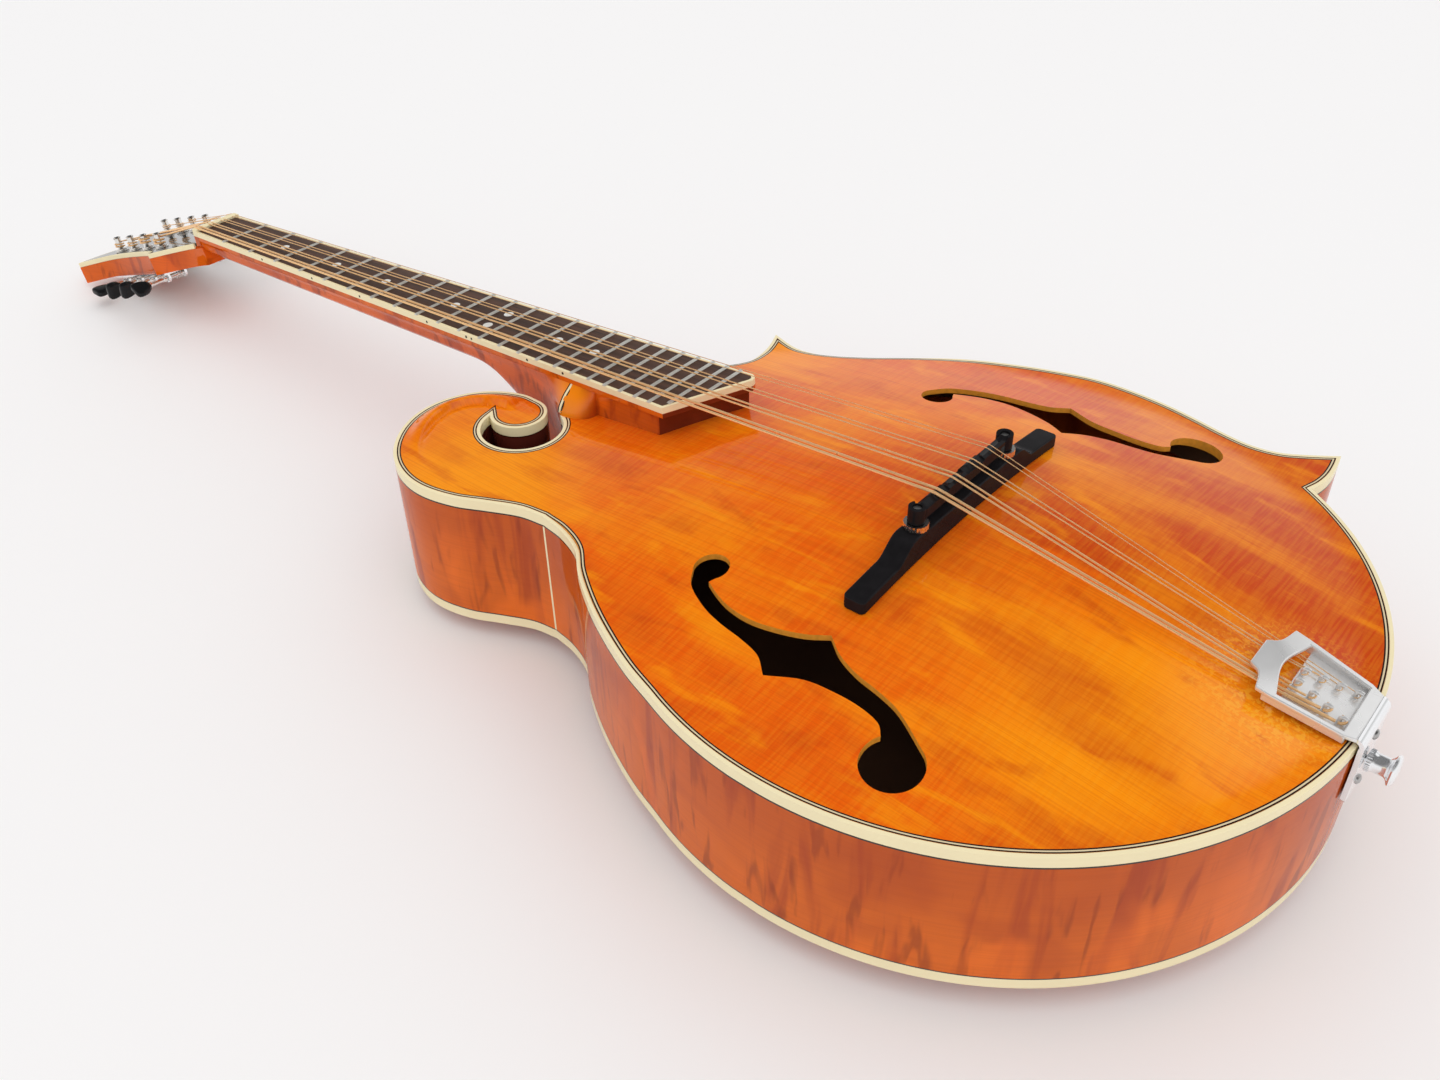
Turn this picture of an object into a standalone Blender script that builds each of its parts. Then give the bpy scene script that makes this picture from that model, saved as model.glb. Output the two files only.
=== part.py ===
"""Mandocello: scroll body with carved plates, f-holes, floating bridge, cast tailpiece and geared tuners.

The instrument lies on its back as it does when it is put down: the carved back and the headstock's
tip touch the floor. Its own frame has the origin at the middle of the saddle line, in the plane
of the rim's top edge, with X to the treble side, Y to the headstock and Z out of the soundboard.
"""

import math

import bmesh
import bpy
import numpy as np
from mathutils import Matrix, Vector
from mathutils.geometry import delaunay_2d_cdt

MM = 0.001
GAP = 0.3 * MM

# Strings and neck
SCALE_LENGTH = 628.65 * MM
NECK_ANGLE = math.radians(4.06)
BOARD_HEIGHT = 38.3 * MM
BOARD_THICKNESS = 6.8 * MM
BOARD_WIDTH_AT_NUT = 35.8 * MM
BOARD_WIDTH_AT_LAST_FRET = 55.0 * MM
BOARD_END_BASS_Y = 166.0 * MM
BOARD_END_TREBLE_Y = 143.5 * MM
BOARD_CORNER_RADIUS = 5.0 * MM
BOARD_BINDING = 2.0 * MM
FRET_COUNT = 24
FRET_WIDTH = 2.2 * MM
FRET_CROWN = 1.0 * MM
FRET_SEAT = 0.15 * MM
STRING_DIAMETERS = (1.88 * MM, 1.32 * MM, 0.86 * MM, 0.56 * MM)
STRING_NAMES = ("c", "g", "d", "a")
STRING_SPREAD_AT_NUT = 14.25 * MM
STRING_SPREAD_AT_SADDLE = 23.1 * MM
PAIR_GAP_AT_NUT = 2.8 * MM
PAIR_GAP_AT_SADDLE = 3.2 * MM
STRING_HEIGHT_AT_NUT = 1.3 * MM
STRING_HEIGHT_AT_SADDLE = 43.4 * MM
NUT_LENGTH = 6.0 * MM
NUT_PROUD = 2.6 * MM
NUT_SLOT_CLEARANCE = 0.3 * MM
NUT_SLOT_DEPTH = 1.0 * MM
NECK_DEPTH_AT_NUT = 14.4 * MM
NECK_DEPTH_AT_HEEL = 19.0 * MM
HEEL_START_Y = 332.0 * MM
HEEL_FOOT_Y = 268.0 * MM
HEEL_WAIST = 22.5 * MM
HEEL_CAP_HALF_WIDTH = 9.0 * MM
SHOULDER_DEPTH = 15.0 * MM
ROD_RADIUS = 2.5 * MM
ROD_CLEARANCE = 0.4 * MM
ROD_LENGTH = 340.0 * MM
ROD_END = 8.0 * MM

# Body
LOWER_BOUT_RADIUS = 181.0 * MM
LOWER_BOUT_Y = -14.0 * MM
JOINT_Y = 235.0 * MM
RIM_DEPTH = 82.0 * MM
RIB_THICKNESS = 3.0 * MM
BINDING_WIDTH = 2.0 * MM
BINDING_HEIGHT = 6.0 * MM
TOP_ARCH = 19.0 * MM
BACK_ARCH = 14.0 * MM
ARCH_HALF_WIDTH = 171.0 * MM
ARCH_UPPER_LENGTH = 240.0 * MM
ARCH_POWER = 1.2
PLATE_THICKNESS = 4.5 * MM
LINING_WIDTH = 6.5 * MM
LINING_HEIGHT = 14.0 * MM
RIDGE_HEIGHT = 4.5 * MM
RIDGE_WIDTH = 15.0 * MM
RIDGE_START_Y = 250.0 * MM
RIDGE_FADE = 38.0 * MM
SLOT_CENTRE = (-58.2 * MM, 243.2 * MM)
SLOT_RADIUS = 22.8 * MM
BUTTON_CENTRE = (-49.4 * MM, 255.2 * MM)
BUTTON_RADIUS = 16.0 * MM
TAIL_BLOCK_HALF_WIDTH = 40.0 * MM
TAIL_BLOCK_LENGTH = 28.0 * MM
TONE_BAR_WIDTH = 7.0 * MM
TONE_BAR_HEIGHT = 12.0 * MM
RISER_END_BASS_Y = 171.0 * MM
RISER_END_TREBLE_Y = 149.0 * MM
RISER_HALF_WIDTH = 24.5 * MM
LEAST_TRIANGLE = 0.0002 * MM * MM
REST_FLAT_DEPTH = 0.1 * MM
REST_FLAT_RADIUS = 11.0 * MM

# F-holes, drawn for the treble side and mirrored
F_LARGE_EYE = (142.0 * MM, -57.0 * MM)
F_LARGE_EYE_RADIUS = 12.5 * MM
F_SMALL_EYE = (96.5 * MM, 74.0 * MM)
F_SMALL_EYE_RADIUS = 7.5 * MM

# Bridge
BRIDGE_Y = 2.0 * MM
BRIDGE_HALF_LENGTH = 86.4 * MM
BRIDGE_WIDTH = 11.5 * MM
BRIDGE_SEAT_HEIGHT = 31.6 * MM
BRIDGE_SEAT_HALF_LENGTH = 46.0 * MM
BRIDGE_WING_START = 60.0 * MM
BRIDGE_WING_THICKNESS = 6.6 * MM
BRIDGE_POST_X = 38.3 * MM
BRIDGE_POST_RADIUS = 2.0 * MM
THUMBWHEEL_RADIUS = 5.95 * MM
THUMBWHEEL_HEIGHT = 3.0 * MM
THUMBWHEEL_KNURLS = 20
SADDLE_WIDTH = 5.4 * MM
SADDLE_EAR_RADIUS = 4.2 * MM
SADDLE_EAR_TOP = 43.2 * MM
RUNNING_CLEARANCE = 0.3 * MM

# Tailpiece
SHIELD_TIP_Y = -145.0 * MM
SHIELD_TIP_HALF_WIDTH = 8.5 * MM
SHIELD_CORNER_Y = -152.6 * MM
SHIELD_CORNER_HALF_WIDTH = 22.2 * MM
TAILPIECE_REAR_HALF_WIDTH = 15.6 * MM
TAILPIECE_FRONT_HEIGHT = 13.4 * MM
TAILPIECE_REAR_HEIGHT = 4.7 * MM
TAILPIECE_DECK = 2.0 * MM
TAILPIECE_RAIL = 2.8 * MM
TAILPIECE_SIDE_DEPTH = 5.5 * MM
TAILPIECE_FLOOR = 1.3 * MM
TAILPIECE_PLATE = 2.2 * MM
TAILPIECE_LIFT = 0.6 * MM
TAILPIECE_DROP = 34.0 * MM
WINDOW_FRONT_Y = -160.5 * MM
WINDOW_REAR_Y = -191.0 * MM
WINDOW_BOW = 4.5 * MM
HOOK_FRONT = (4.0 * MM, -164.0 * MM)
HOOK_REAR = (9.4 * MM, -187.0 * MM)
HOOK_HEIGHT = 4.0 * MM
HOOK_RADIUS = 1.1 * MM
STRAP_BUTTON_Z = -17.0 * MM
STRAP_BUTTON_RADIUS = 7.2 * MM
STRAP_BUTTON_LENGTH = 13.0 * MM
TAIL_SCREW_HEIGHTS = (-3.0 * MM, -29.5 * MM)
TAIL_SCREW_RADIUS = 2.4 * MM

# Headstock and tuners
HEAD_ANGLE = math.radians(14.14)
HEAD_DROP = 8.3 * MM
HEAD_THICKNESS = 16.5 * MM
HEAD_BINDING_HEIGHT = 5.0 * MM
HEAD_BINDING = 2.0 * MM
OVERLAY_THICKNESS = 2.0 * MM
HEAD_START = 7.0 * MM
POST_X = 20.86 * MM
FIRST_POST = 56.6 * MM
POST_SPACING = 23.8 * MM
POST_RADIUS = 3.0 * MM
CAPSTAN_RADIUS = 2.4 * MM
POST_HEIGHT = 11.5 * MM
BUSHING_RADIUS = 5.0 * MM
BUSHING_HEIGHT = 2.0 * MM
BUSHING_SEAT = 1.0 * MM
PLATE_SHEET = 1.2 * MM
PLATE_HALF_WIDTH = 9.5 * MM
PLATE_MARGIN = 13.0 * MM
GEAR_TEETH = 14
GEAR_MODULE = 0.6 * MM
GEAR_THICKNESS = 2.6 * MM
TOOTH_BACKLASH = 0.3 * MM
WORM_RADIUS = 2.2 * MM
WORM_TURNS = 2.5
THREAD_POINTS = 8
WORM_SHAFT_RADIUS = 1.4 * MM
OUTER_BEARING = 7.2 * MM
INNER_BEARING = -6.3 * MM
BEARING_SHEET = 1.8 * MM
BUTTON_MIDDLE = 30.0 * MM
PEG_LENGTH = 13.0 * MM
PEG_WIDTH = 13.0 * MM
PEG_THICKNESS = 5.2 * MM
PEG_TURNS = (0.7, -1.1, 1.9)
STRING_WRAPS = 2
WRAP_POINTS = 10
WRAP_CLEARANCE = 0.45 * MM
WRAP_HEIGHTS = (7.9 * MM, 9.45 * MM, 7.2 * MM, 7.2 * MM)
HOOKED_HEIGHT = 1.7 * MM

NUT_Y = SCALE_LENGTH * math.cos(NECK_ANGLE)
NUT_Z = BOARD_HEIGHT - SCALE_LENGTH * math.sin(NECK_ANGLE)
TAIL_Y = LOWER_BOUT_Y - LOWER_BOUT_RADIUS
HEEL_HALF_WIDTH = -SLOT_CENTRE[0] - math.sqrt(SLOT_RADIUS**2 - (JOINT_Y - SLOT_CENTRE[1]) ** 2)
PITCH = math.pi * GEAR_MODULE
GEAR_RADIUS = GEAR_TEETH * GEAR_MODULE / 2
WORM_OFFSET = GEAR_RADIUS + WORM_RADIUS
WOOD_BACK = -HEAD_THICKNESS
PLATE_BACK = WOOD_BACK - GAP - PLATE_SHEET
WORM_Z = PLATE_BACK - GAP - WORM_RADIUS - GEAR_MODULE


def clear_scene():
    """Remove whatever is in the scene."""
    for item in list(bpy.data.objects):
        bpy.data.objects.remove(item, do_unlink=True)


clear_scene()
PARTS = bpy.data.collections.new("mandocello")
CUTTERS = bpy.data.collections.new("cutters")
bpy.context.scene.collection.children.link(PARTS)
bpy.context.scene.collection.children.link(CUTTERS)


def make_material(name, colour, roughness, metallic=0.0):
    """Principled material of one colour."""
    material = bpy.data.materials.new(name)
    material.use_nodes = True
    shader = material.node_tree.nodes["Principled BSDF"]
    shader.inputs["Base Color"].default_value = (*colour, 1.0)
    shader.inputs["Roughness"].default_value = roughness
    shader.inputs["Metallic"].default_value = metallic
    return material


SPRUCE = make_material("amber_spruce", (0.78, 0.24, 0.03), 0.2)
MAPLE = make_material("flamed_maple", (0.56, 0.13, 0.03), 0.2)
INNER_WOOD = make_material("inner_spruce", (0.62, 0.42, 0.22), 0.6)
CREAM = make_material("cream_binding", (0.87, 0.78, 0.55), 0.3)
ROSEWOOD = make_material("rosewood", (0.09, 0.04, 0.03), 0.5)
EBONY = make_material("ebony", (0.02, 0.02, 0.02), 0.35)
CHROME = make_material("chrome", (0.8, 0.8, 0.82), 0.1, 1.0)
BRONZE = make_material("bronze", (0.75, 0.45, 0.2), 0.3, 1.0)
STEEL = make_material("steel", (0.6, 0.6, 0.6), 0.35, 1.0)
BLACK_PLASTIC = make_material("black_plastic", (0.02, 0.02, 0.02), 0.25)


# Plan curves


def arc(centre, radius, start, end, steps):
    """Points on a circle from one angle to another, in radians, with both ends."""
    turn = (end - start) / steps
    return [
        (centre[0] + radius * math.cos(start + turn * i), centre[1] + radius * math.sin(start + turn * i))
        for i in range(steps + 1)
    ]


def angle_at(centre, point):
    """Direction of a point from a centre."""
    return math.atan2(point[1] - centre[1], point[0] - centre[0])


def curve_through(knots, steps):
    """Smooth curve through the knots, with both ends."""
    ends = [2 * np.array(knots[0]) - knots[1], 2 * np.array(knots[-1]) - knots[-2]]
    guides = [ends[0], *[np.array(knot) for knot in knots], ends[1]]
    points = []
    for a, b, c, d in zip(guides, guides[1:], guides[2:], guides[3:]):
        for i in range(steps):
            t = i / steps
            bend = 2 * b + (c - a) * t + (2 * a - 5 * b + 4 * c - d) * t**2
            points.append(tuple((bend + (3 * b - a - 3 * c + d) * t**3) / 2))
    return points + [tuple(knots[-1])]


def scaled(knots):
    """Knots written in millimetres, in metres."""
    return [(x * MM, y * MM) for x, y in knots]


def join(*paths):
    """One path from several that meet end to end."""
    joined = list(paths[0])
    for path in paths[1:]:
        joined += path[1:]
    return joined


def mirrored(path):
    """The path on the other side of the centre line, run the same way round."""
    return [(-x, y) for x, y in reversed(path)]


def distances(points, path, closed=False):
    """Least distance from each point to a path."""
    points = np.asarray(points, float)
    starts = np.asarray(path, float)
    ends = np.roll(starts, -1, axis=0)
    if not closed:
        starts, ends = starts[:-1], ends[:-1]
    least = np.full(len(points), np.inf)
    for start, end in zip(starts, ends):
        run = end - start
        length = float(run @ run)
        along = np.clip((points - start) @ run / length, 0, 1) if length else np.zeros(len(points))
        least = np.minimum(least, np.hypot(*(points - start - along[:, None] * run).T))
    return least


def offset_path(path, distance, closed=False):
    """The path moved to its left, rounded outside its corners and trimmed where it would cross itself."""
    if not distance:
        return list(path)
    points = np.asarray(path, float)
    count = len(points)
    moved = []
    for i in range(count):
        before = points[i] - points[i - 1] if (closed or i) else points[1] - points[0]
        after = points[(i + 1) % count] - points[i] if (closed or i < count - 1) else before
        before, after = before / np.hypot(*before), after / np.hypot(*after)
        left_before = np.array([-before[1], before[0]])
        left_after = np.array([-after[1], after[0]])
        turn = math.atan2(before[0] * after[1] - before[1] * after[0], float(before @ after))
        if turn * math.copysign(1, distance) < -0.5:
            steps = max(2, int(abs(turn) / 0.5))
            start = math.atan2(left_before[1], left_before[0])
            for k in range(steps + 1):
                angle = start + turn * k / steps
                moved.append(points[i] + distance * np.array([math.cos(angle), math.sin(angle)]))
        else:
            mitre = (left_before + left_after) / (1 + float(left_before @ left_after))
            moved.append(points[i] + distance * mitre)
    moved = np.array(moved)
    keep = distances(moved, path, closed) > abs(distance) * 0.98
    kept = []
    for point in moved[keep]:
        if not kept or math.dist(point, kept[-1]) > 0.4 * MM:
            kept.append(tuple(point))
    return kept


def thinned(path, spacing):
    """The path with its points no closer than the spacing, except at corners, and both ends kept."""
    kept = [path[0]]
    for before, point, after in zip(path, path[1:], path[2:]):
        turn = angle_at(point, after) - angle_at(before, point)
        corner = math.cos(turn) < math.cos(0.3)
        spaced = math.dist(point, kept[-1]) >= spacing and math.dist(point, path[-1]) >= spacing / 2
        if corner or spaced:
            kept.append(point)
    return kept + [path[-1]]


def run_to(path, y):
    """The path with its last stretch lengthened or cut to end at a given Y."""
    (x1, y1), (x2, y2) = path[-2:]
    return path[:-1] + [(x2 + (x2 - x1) * (y - y2) / (y2 - y1), y)]


def band(path, outer, inner):
    """Loop round the strip between two offsets of an open path."""
    return offset_path(path, outer) + offset_path(path, inner)[::-1]


def crossing(centre_a, radius_a, centre_b, radius_b, side):
    """Where two circles cross, on one side of the line between their centres."""
    reach = math.dist(centre_a, centre_b)
    along = (reach**2 + radius_a**2 - radius_b**2) / (2 * reach)
    across = side * math.sqrt(radius_a**2 - along**2)
    ux, uy = (centre_b[0] - centre_a[0]) / reach, (centre_b[1] - centre_a[1]) / reach
    return (centre_a[0] + along * ux - across * uy, centre_a[1] + along * uy + across * ux)


# Body outline, run with the body on its left from the bass side of the neck joint to the treble side

HEEL_CORNER = (-HEEL_HALF_WIDTH, JOINT_Y)
SLOT_END = crossing(BUTTON_CENTRE, BUTTON_RADIUS, SLOT_CENTRE, SLOT_RADIUS, -1)
SLOT_WALL = arc(
    SLOT_CENTRE,
    SLOT_RADIUS,
    angle_at(SLOT_CENTRE, HEEL_CORNER),
    angle_at(SLOT_CENTRE, SLOT_END) - 2 * math.pi,
    16,
)
BUTTON_EDGE = arc(BUTTON_CENTRE, BUTTON_RADIUS, angle_at(BUTTON_CENTRE, SLOT_END), 2 * math.pi, 11)
WAIST = (-109.6 * MM, 174.0 * MM)
SCROLL_EDGE = curve_through(
    [BUTTON_EDGE[-1]]
    + scaled(
        [
            (-34.0, 267.4),
            (-40.8, 282.0),
            (-52.3, 293.1),
            (-67.7, 299.6),
            (-84.0, 300.0),
            (-100.0, 294.5),
            (-114.5, 284.0),
            (-124.5, 271.0),
            (-130.2, 255.6),
            (-131.1, 240.0),
            (-127.0, 222.0),
            (-119.5, 206.0),
            (-112.0, 189.0),
        ]
    )
    + [WAIST],
    2,
)
BOUT_JOIN_ANGLE = math.radians(160.1)
NOTCH_ANGLE = math.radians(326.0)
BOUT_CENTRE = (0.0, LOWER_BOUT_Y)
BASS_JOIN = arc(BOUT_CENTRE, LOWER_BOUT_RADIUS, BOUT_JOIN_ANGLE, BOUT_JOIN_ANGLE, 1)[0]
NOTCH = arc(BOUT_CENTRE, LOWER_BOUT_RADIUS, NOTCH_ANGLE, NOTCH_ANGLE, 1)[0]
BASS_EDGE = join(
    curve_through(
        [WAIST]
        + scaled([(-112.2, 158.5), (-119.0, 142.0), (-131.0, 128.0), (-143.7, 108.7), (-154.2, 88.9)])
        + scaled([(-163.6, 67.5)])
        + [BASS_JOIN],
        2,
    ),
    arc(BOUT_CENTRE, LOWER_BOUT_RADIUS, BOUT_JOIN_ANGLE, 1.5 * math.pi, 20),
)
LOWER_POINT = (189.0 * MM, -116.4 * MM)
UPPER_POINT = (110.5 * MM, 197.3 * MM)
TREBLE_LOWER_EDGE = join(
    arc(BOUT_CENTRE, LOWER_BOUT_RADIUS, 1.5 * math.pi, NOTCH_ANGLE, 9),
    curve_through([NOTCH] + scaled([(158.0, -117.6), (168.0, -118.7), (179.0, -118.0)]) + [LOWER_POINT], 2),
)
TREBLE_MIDDLE_EDGE = curve_through(
    [LOWER_POINT]
    + scaled(
        [
            (179.4, -102.5),
            (172.5, -90.0),
            (170.2, -76.0),
            (172.5, -60.0),
            (177.0, -42.0),
            (181.0, -22.0),
            (182.8, 0.0),
            (182.0, 20.0),
            (177.0, 40.0),
            (168.6, 63.3),
            (156.0, 90.0),
            (138.5, 114.9),
            (121.0, 136.0),
            (109.0, 156.0),
            (104.6, 175.8),
        ]
    )
    + [UPPER_POINT],
    2,
)
TREBLE_UPPER_EDGE = curve_through(
    [UPPER_POINT]
    + scaled([(98.0, 192.2), (86.2, 189.5), (75.6, 189.4), (66.0, 194.0), (55.5, 204.0), (46.5, 216.0)])
    + [(HEEL_HALF_WIDTH, JOINT_Y)],
    2,
)
RIM_PATH = join(
    SLOT_WALL, BUTTON_EDGE, SCROLL_EDGE, BASS_EDGE, TREBLE_LOWER_EDGE, TREBLE_MIDDLE_EDGE, TREBLE_UPPER_EDGE
)


RIB_JOINTS = (WAIST, BASS_EDGE[-1], LOWER_POINT, UPPER_POINT)


def arch_share(x, y):
    """How far up the arch a point is, from 0 at the edge to 1 in the middle."""
    length = ARCH_HALF_WIDTH if y < LOWER_BOUT_Y else ARCH_UPPER_LENGTH
    reach = (x / ARCH_HALF_WIDTH) ** 2 + ((y - LOWER_BOUT_Y) / length) ** 2
    return max(0.0, 1 - reach) ** ARCH_POWER


def ridge_rise(x, y):
    """Height of the carved ridge that follows the scroll's edge into its button."""
    depth = float(distances([(x, y)], SCROLL_EDGE)[0])
    if depth > RIDGE_WIDTH or x > 0:
        return 0.0
    fade_in = min(1.0, max(0.0, (y - RIDGE_START_Y) / RIDGE_FADE))
    return RIDGE_HEIGHT * math.sin(math.pi * depth / RIDGE_WIDTH) ** 2 * fade_in


def top_surface(x, y):
    """Outside of the soundboard."""
    return TOP_ARCH * arch_share(x, y) + ridge_rise(x, y)


def plate_depth(share):
    """Plate thickness, full at the edge and thinner where the arch has risen."""
    return BINDING_HEIGHT - (BINDING_HEIGHT - PLATE_THICKNESS) * min(1.0, 4 * share)


def top_underside(x, y):
    """Inside of the soundboard."""
    share = arch_share(x, y)
    return TOP_ARCH * share - plate_depth(share)


def back_surface(x, y):
    """Outside of the back, before the rest flat is cut."""
    return -RIM_DEPTH - BACK_ARCH * arch_share(x, y)


def back_inside(x, y):
    """Inside of the back."""
    share = arch_share(x, y)
    return -RIM_DEPTH - BACK_ARCH * share + plate_depth(share)


def board_underside(y):
    """Height of the fingerboard's lower face."""
    return BOARD_HEIGHT - y * math.tan(NECK_ANGLE) - BOARD_THICKNESS / math.cos(NECK_ANGLE)


def board_half_width(distance):
    """Half the fingerboard's width at a distance from the nut."""
    last_fret = SCALE_LENGTH * (1 - 2 ** (-FRET_COUNT / 12))
    widening = BOARD_WIDTH_AT_LAST_FRET - BOARD_WIDTH_AT_NUT
    return (BOARD_WIDTH_AT_NUT + widening * distance / last_fret) / 2


# Resting pose: the back and the headstock touch the floor


def head_outline():
    """Outline of the headstock, in its own frame, from the bass side of the nut round the top."""
    half = BOARD_WIDTH_AT_NUT / 2
    bass = curve_through(scaled([(-29.5, 60.0), (-28.0, 78.0), (-28.0, 108.0), (-32.0, 133.0), (-46.0, 158.0)]), 2)
    crest = curve_through(scaled([(-46.0, 158.0), (-30.0, 157.0), (-14.0, 152.0), (0.0, 152.0)]), 2)
    lobe = curve_through(
        scaled([(0.0, 152.0), (8.0, 162.0), (20.0, 170.0), (33.0, 165.0), (38.0, 153.0), (33.0, 143.0)]), 2
    )
    treble = curve_through(scaled([(33.0, 143.0), (28.5, 130.0), (28.0, 108.0), (28.0, 78.0), (29.5, 60.0)]), 2)
    ear = curve_through([(half, 0.0)] + scaled([(20.0, 16.0), (27.0, 34.0), (36.0, 51.0)]), 2)
    left_ear = [(-x, y) for x, y in ear]
    return join(left_ear, [left_ear[-1]] + bass, crest, lobe, treble, [treble[-1]] + ear[::-1])


def head_low_points():
    """Y and Z, in the instrument's frame, of the headstock's back edge and the undersides of the worm shafts' buttons."""
    slope = NECK_ANGLE + HEAD_ANGLE
    face_y = NUT_Y - HEAD_DROP * math.sin(NECK_ANGLE)
    face_z = NUT_Z - HEAD_DROP * math.cos(NECK_ANGLE)
    last_shaft = FIRST_POST + 3 * POST_SPACING - WORM_OFFSET
    places = [(along, WOOD_BACK) for _, along in head_outline()] + [(last_shaft, WORM_Z - PEG_THICKNESS / 2)]
    return [
        (
            face_y + along * math.cos(slope) + depth * math.sin(slope),
            face_z - along * math.sin(slope) + depth * math.cos(slope),
        )
        for along, depth in places
    ]


def floor_under_back(pitch):
    """Lowest height of the back, and where it is, with the head lowered by the pitch."""
    heights = []
    for step in range(-200, 400):
        y = step * 0.25 * MM
        heights.append((-y * math.sin(pitch) + back_surface(0.0, y) * math.cos(pitch), y))
    return min(heights)


def resting_pitch():
    """Angle at which the back and the headstock are equally low."""
    places = head_low_points()
    low, high = math.radians(-6), math.radians(6)
    for _ in range(40):
        pitch = (low + high) / 2
        head = min(z * math.cos(pitch) - y * math.sin(pitch) for y, z in places)
        if head > floor_under_back(pitch)[0] + REST_FLAT_DEPTH:
            low = pitch
        else:
            high = pitch
    return low


REST_PITCH = resting_pitch()
REST_HEIGHT = floor_under_back(REST_PITCH)[0] + REST_FLAT_DEPTH
REST_Y = floor_under_back(REST_PITCH)[1]


def rest_plane(y):
    """Height of the floor in the instrument's frame."""
    return (REST_HEIGHT + y * math.sin(REST_PITCH)) / math.cos(REST_PITCH)


def back_outside(x, y):
    """Outside of the back with the rest flat cut."""
    return max(back_surface(x, y), rest_plane(y))


# Frames that the pieces hang on


def make_frame(name, parent, location, rotation_x):
    """Empty that carries pieces."""
    frame = bpy.data.objects.new(name, None)
    PARTS.objects.link(frame)
    frame.parent = parent
    frame.location = location
    frame.rotation_euler = (rotation_x, 0.0, 0.0)
    return frame


REST_TURN = Matrix.Rotation(-REST_PITCH, 4, "X")
REST_POINT = Vector((0.0, REST_Y, rest_plane(REST_Y)))
INSTRUMENT = make_frame("instrument", None, -(REST_TURN @ REST_POINT), -REST_PITCH)
BOARD_FRAME = make_frame("board_frame", INSTRUMENT, (0.0, NUT_Y, NUT_Z), -NECK_ANGLE)
HEAD_FRAME = make_frame("head_frame", BOARD_FRAME, (0.0, 0.0, -HEAD_DROP), -HEAD_ANGLE)
BOARD_TO_BODY = Matrix.Translation((0.0, NUT_Y, NUT_Z)) @ Matrix.Rotation(-NECK_ANGLE, 4, "X")
HEAD_TO_BOARD = Matrix.Translation((0.0, 0.0, -HEAD_DROP)) @ Matrix.Rotation(-HEAD_ANGLE, 4, "X")
HEAD_TO_BODY = BOARD_TO_BODY @ HEAD_TO_BOARD


# Makers of meshes and objects


def add_object(name, mesh, material, parent=INSTRUMENT, collection=PARTS):
    """Object for a mesh, shaded smooth except at its edges."""
    mesh.name = name
    if material and not mesh.materials:
        mesh.materials.append(material)
    mesh.shade_smooth()
    mesh.set_sharp_from_angle(angle=math.radians(35))
    item = bpy.data.objects.new(name, mesh)
    collection.objects.link(item)
    item.parent = parent
    return item


def mesh_from(build):
    """Mesh of a bmesh, with its faces turned outwards."""
    bmesh.ops.recalc_face_normals(build, faces=build.faces)
    mesh = bpy.data.meshes.new("form")
    build.to_mesh(mesh)
    build.free()
    return mesh


def inside(points, loops):
    """Which points lie in a region bounded by loops."""
    points = np.asarray(points, float)
    result = np.zeros(len(points), bool)
    for loop in loops:
        for (x1, y1), (x2, y2) in zip(loop, loop[1:] + loop[:1]):
            if y1 == y2:
                continue
            spans = (y1 > points[:, 1]) != (y2 > points[:, 1])
            result ^= spans & (points[:, 0] < x1 + (points[:, 1] - y1) * (x2 - x1) / (y2 - y1))
    return result


def area(a, b, c):
    """Area of a triangle in plan."""
    return abs((b.x - a.x) * (c.y - a.y) - (c.x - a.x) * (b.y - a.y)) / 2


def between(loops, low, high, inner=()):
    """Closed solid over a plan region, between two heights or height functions."""
    points = []
    edges = []
    for loop in loops:
        first = len(points)
        points += [Vector(point) for point in loop]
        edges += [(first + i, first + (i + 1) % len(loop)) for i in range(len(loop))]
    points += [Vector(point) for point in inner]
    found, _, triangles, *_ = delaunay_2d_cdt(points, edges, [], 0, 1e-6)
    triangles = [t for t in triangles if area(*(found[i] for i in t)) > LEAST_TRIANGLE]
    centres = [sum((found[i] for i in triangle), Vector((0, 0))) / 3 for triangle in triangles]
    kept = [t for t, keep in zip(triangles, inside(centres, loops)) if keep]
    used = sorted({i for triangle in kept for i in triangle})
    build = bmesh.new()
    lower = {}
    upper = {}
    for i in used:
        x, y = found[i]
        lower[i] = build.verts.new((x, y, low(x, y) if callable(low) else low))
        upper[i] = build.verts.new((x, y, high(x, y) if callable(high) else high))
    sides = {}
    for a, b, c in kept:
        build.faces.new((upper[a], upper[b], upper[c]))
        build.faces.new((lower[c], lower[b], lower[a]))
        for start, end in ((a, b), (b, c), (c, a)):
            sides[(start, end)] = sides.get((start, end), 0) + 1
    for start, end in sides:
        if (end, start) not in sides:
            build.faces.new((lower[start], lower[end], upper[end], upper[start]))
    return mesh_from(build)


def grid_inside(loops, spacing, clearance):
    """Staggered points inside a region, clear of its edges."""
    xs = [x for loop in loops for x, _ in loop]
    ys = [y for loop in loops for _, y in loop]
    rows = int((max(ys) - min(ys)) / (spacing * 0.87)) + 1
    columns = int((max(xs) - min(xs)) / spacing) + 2
    points = [
        (min(xs) + (column + (row % 2) / 2) * spacing, min(ys) + row * spacing * 0.87)
        for row in range(rows)
        for column in range(columns)
    ]
    keep = inside(points, loops)
    for loop in loops:
        keep &= distances(points, loop, True) > clearance
    return [point for point, good in zip(points, keep) if good]


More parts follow.
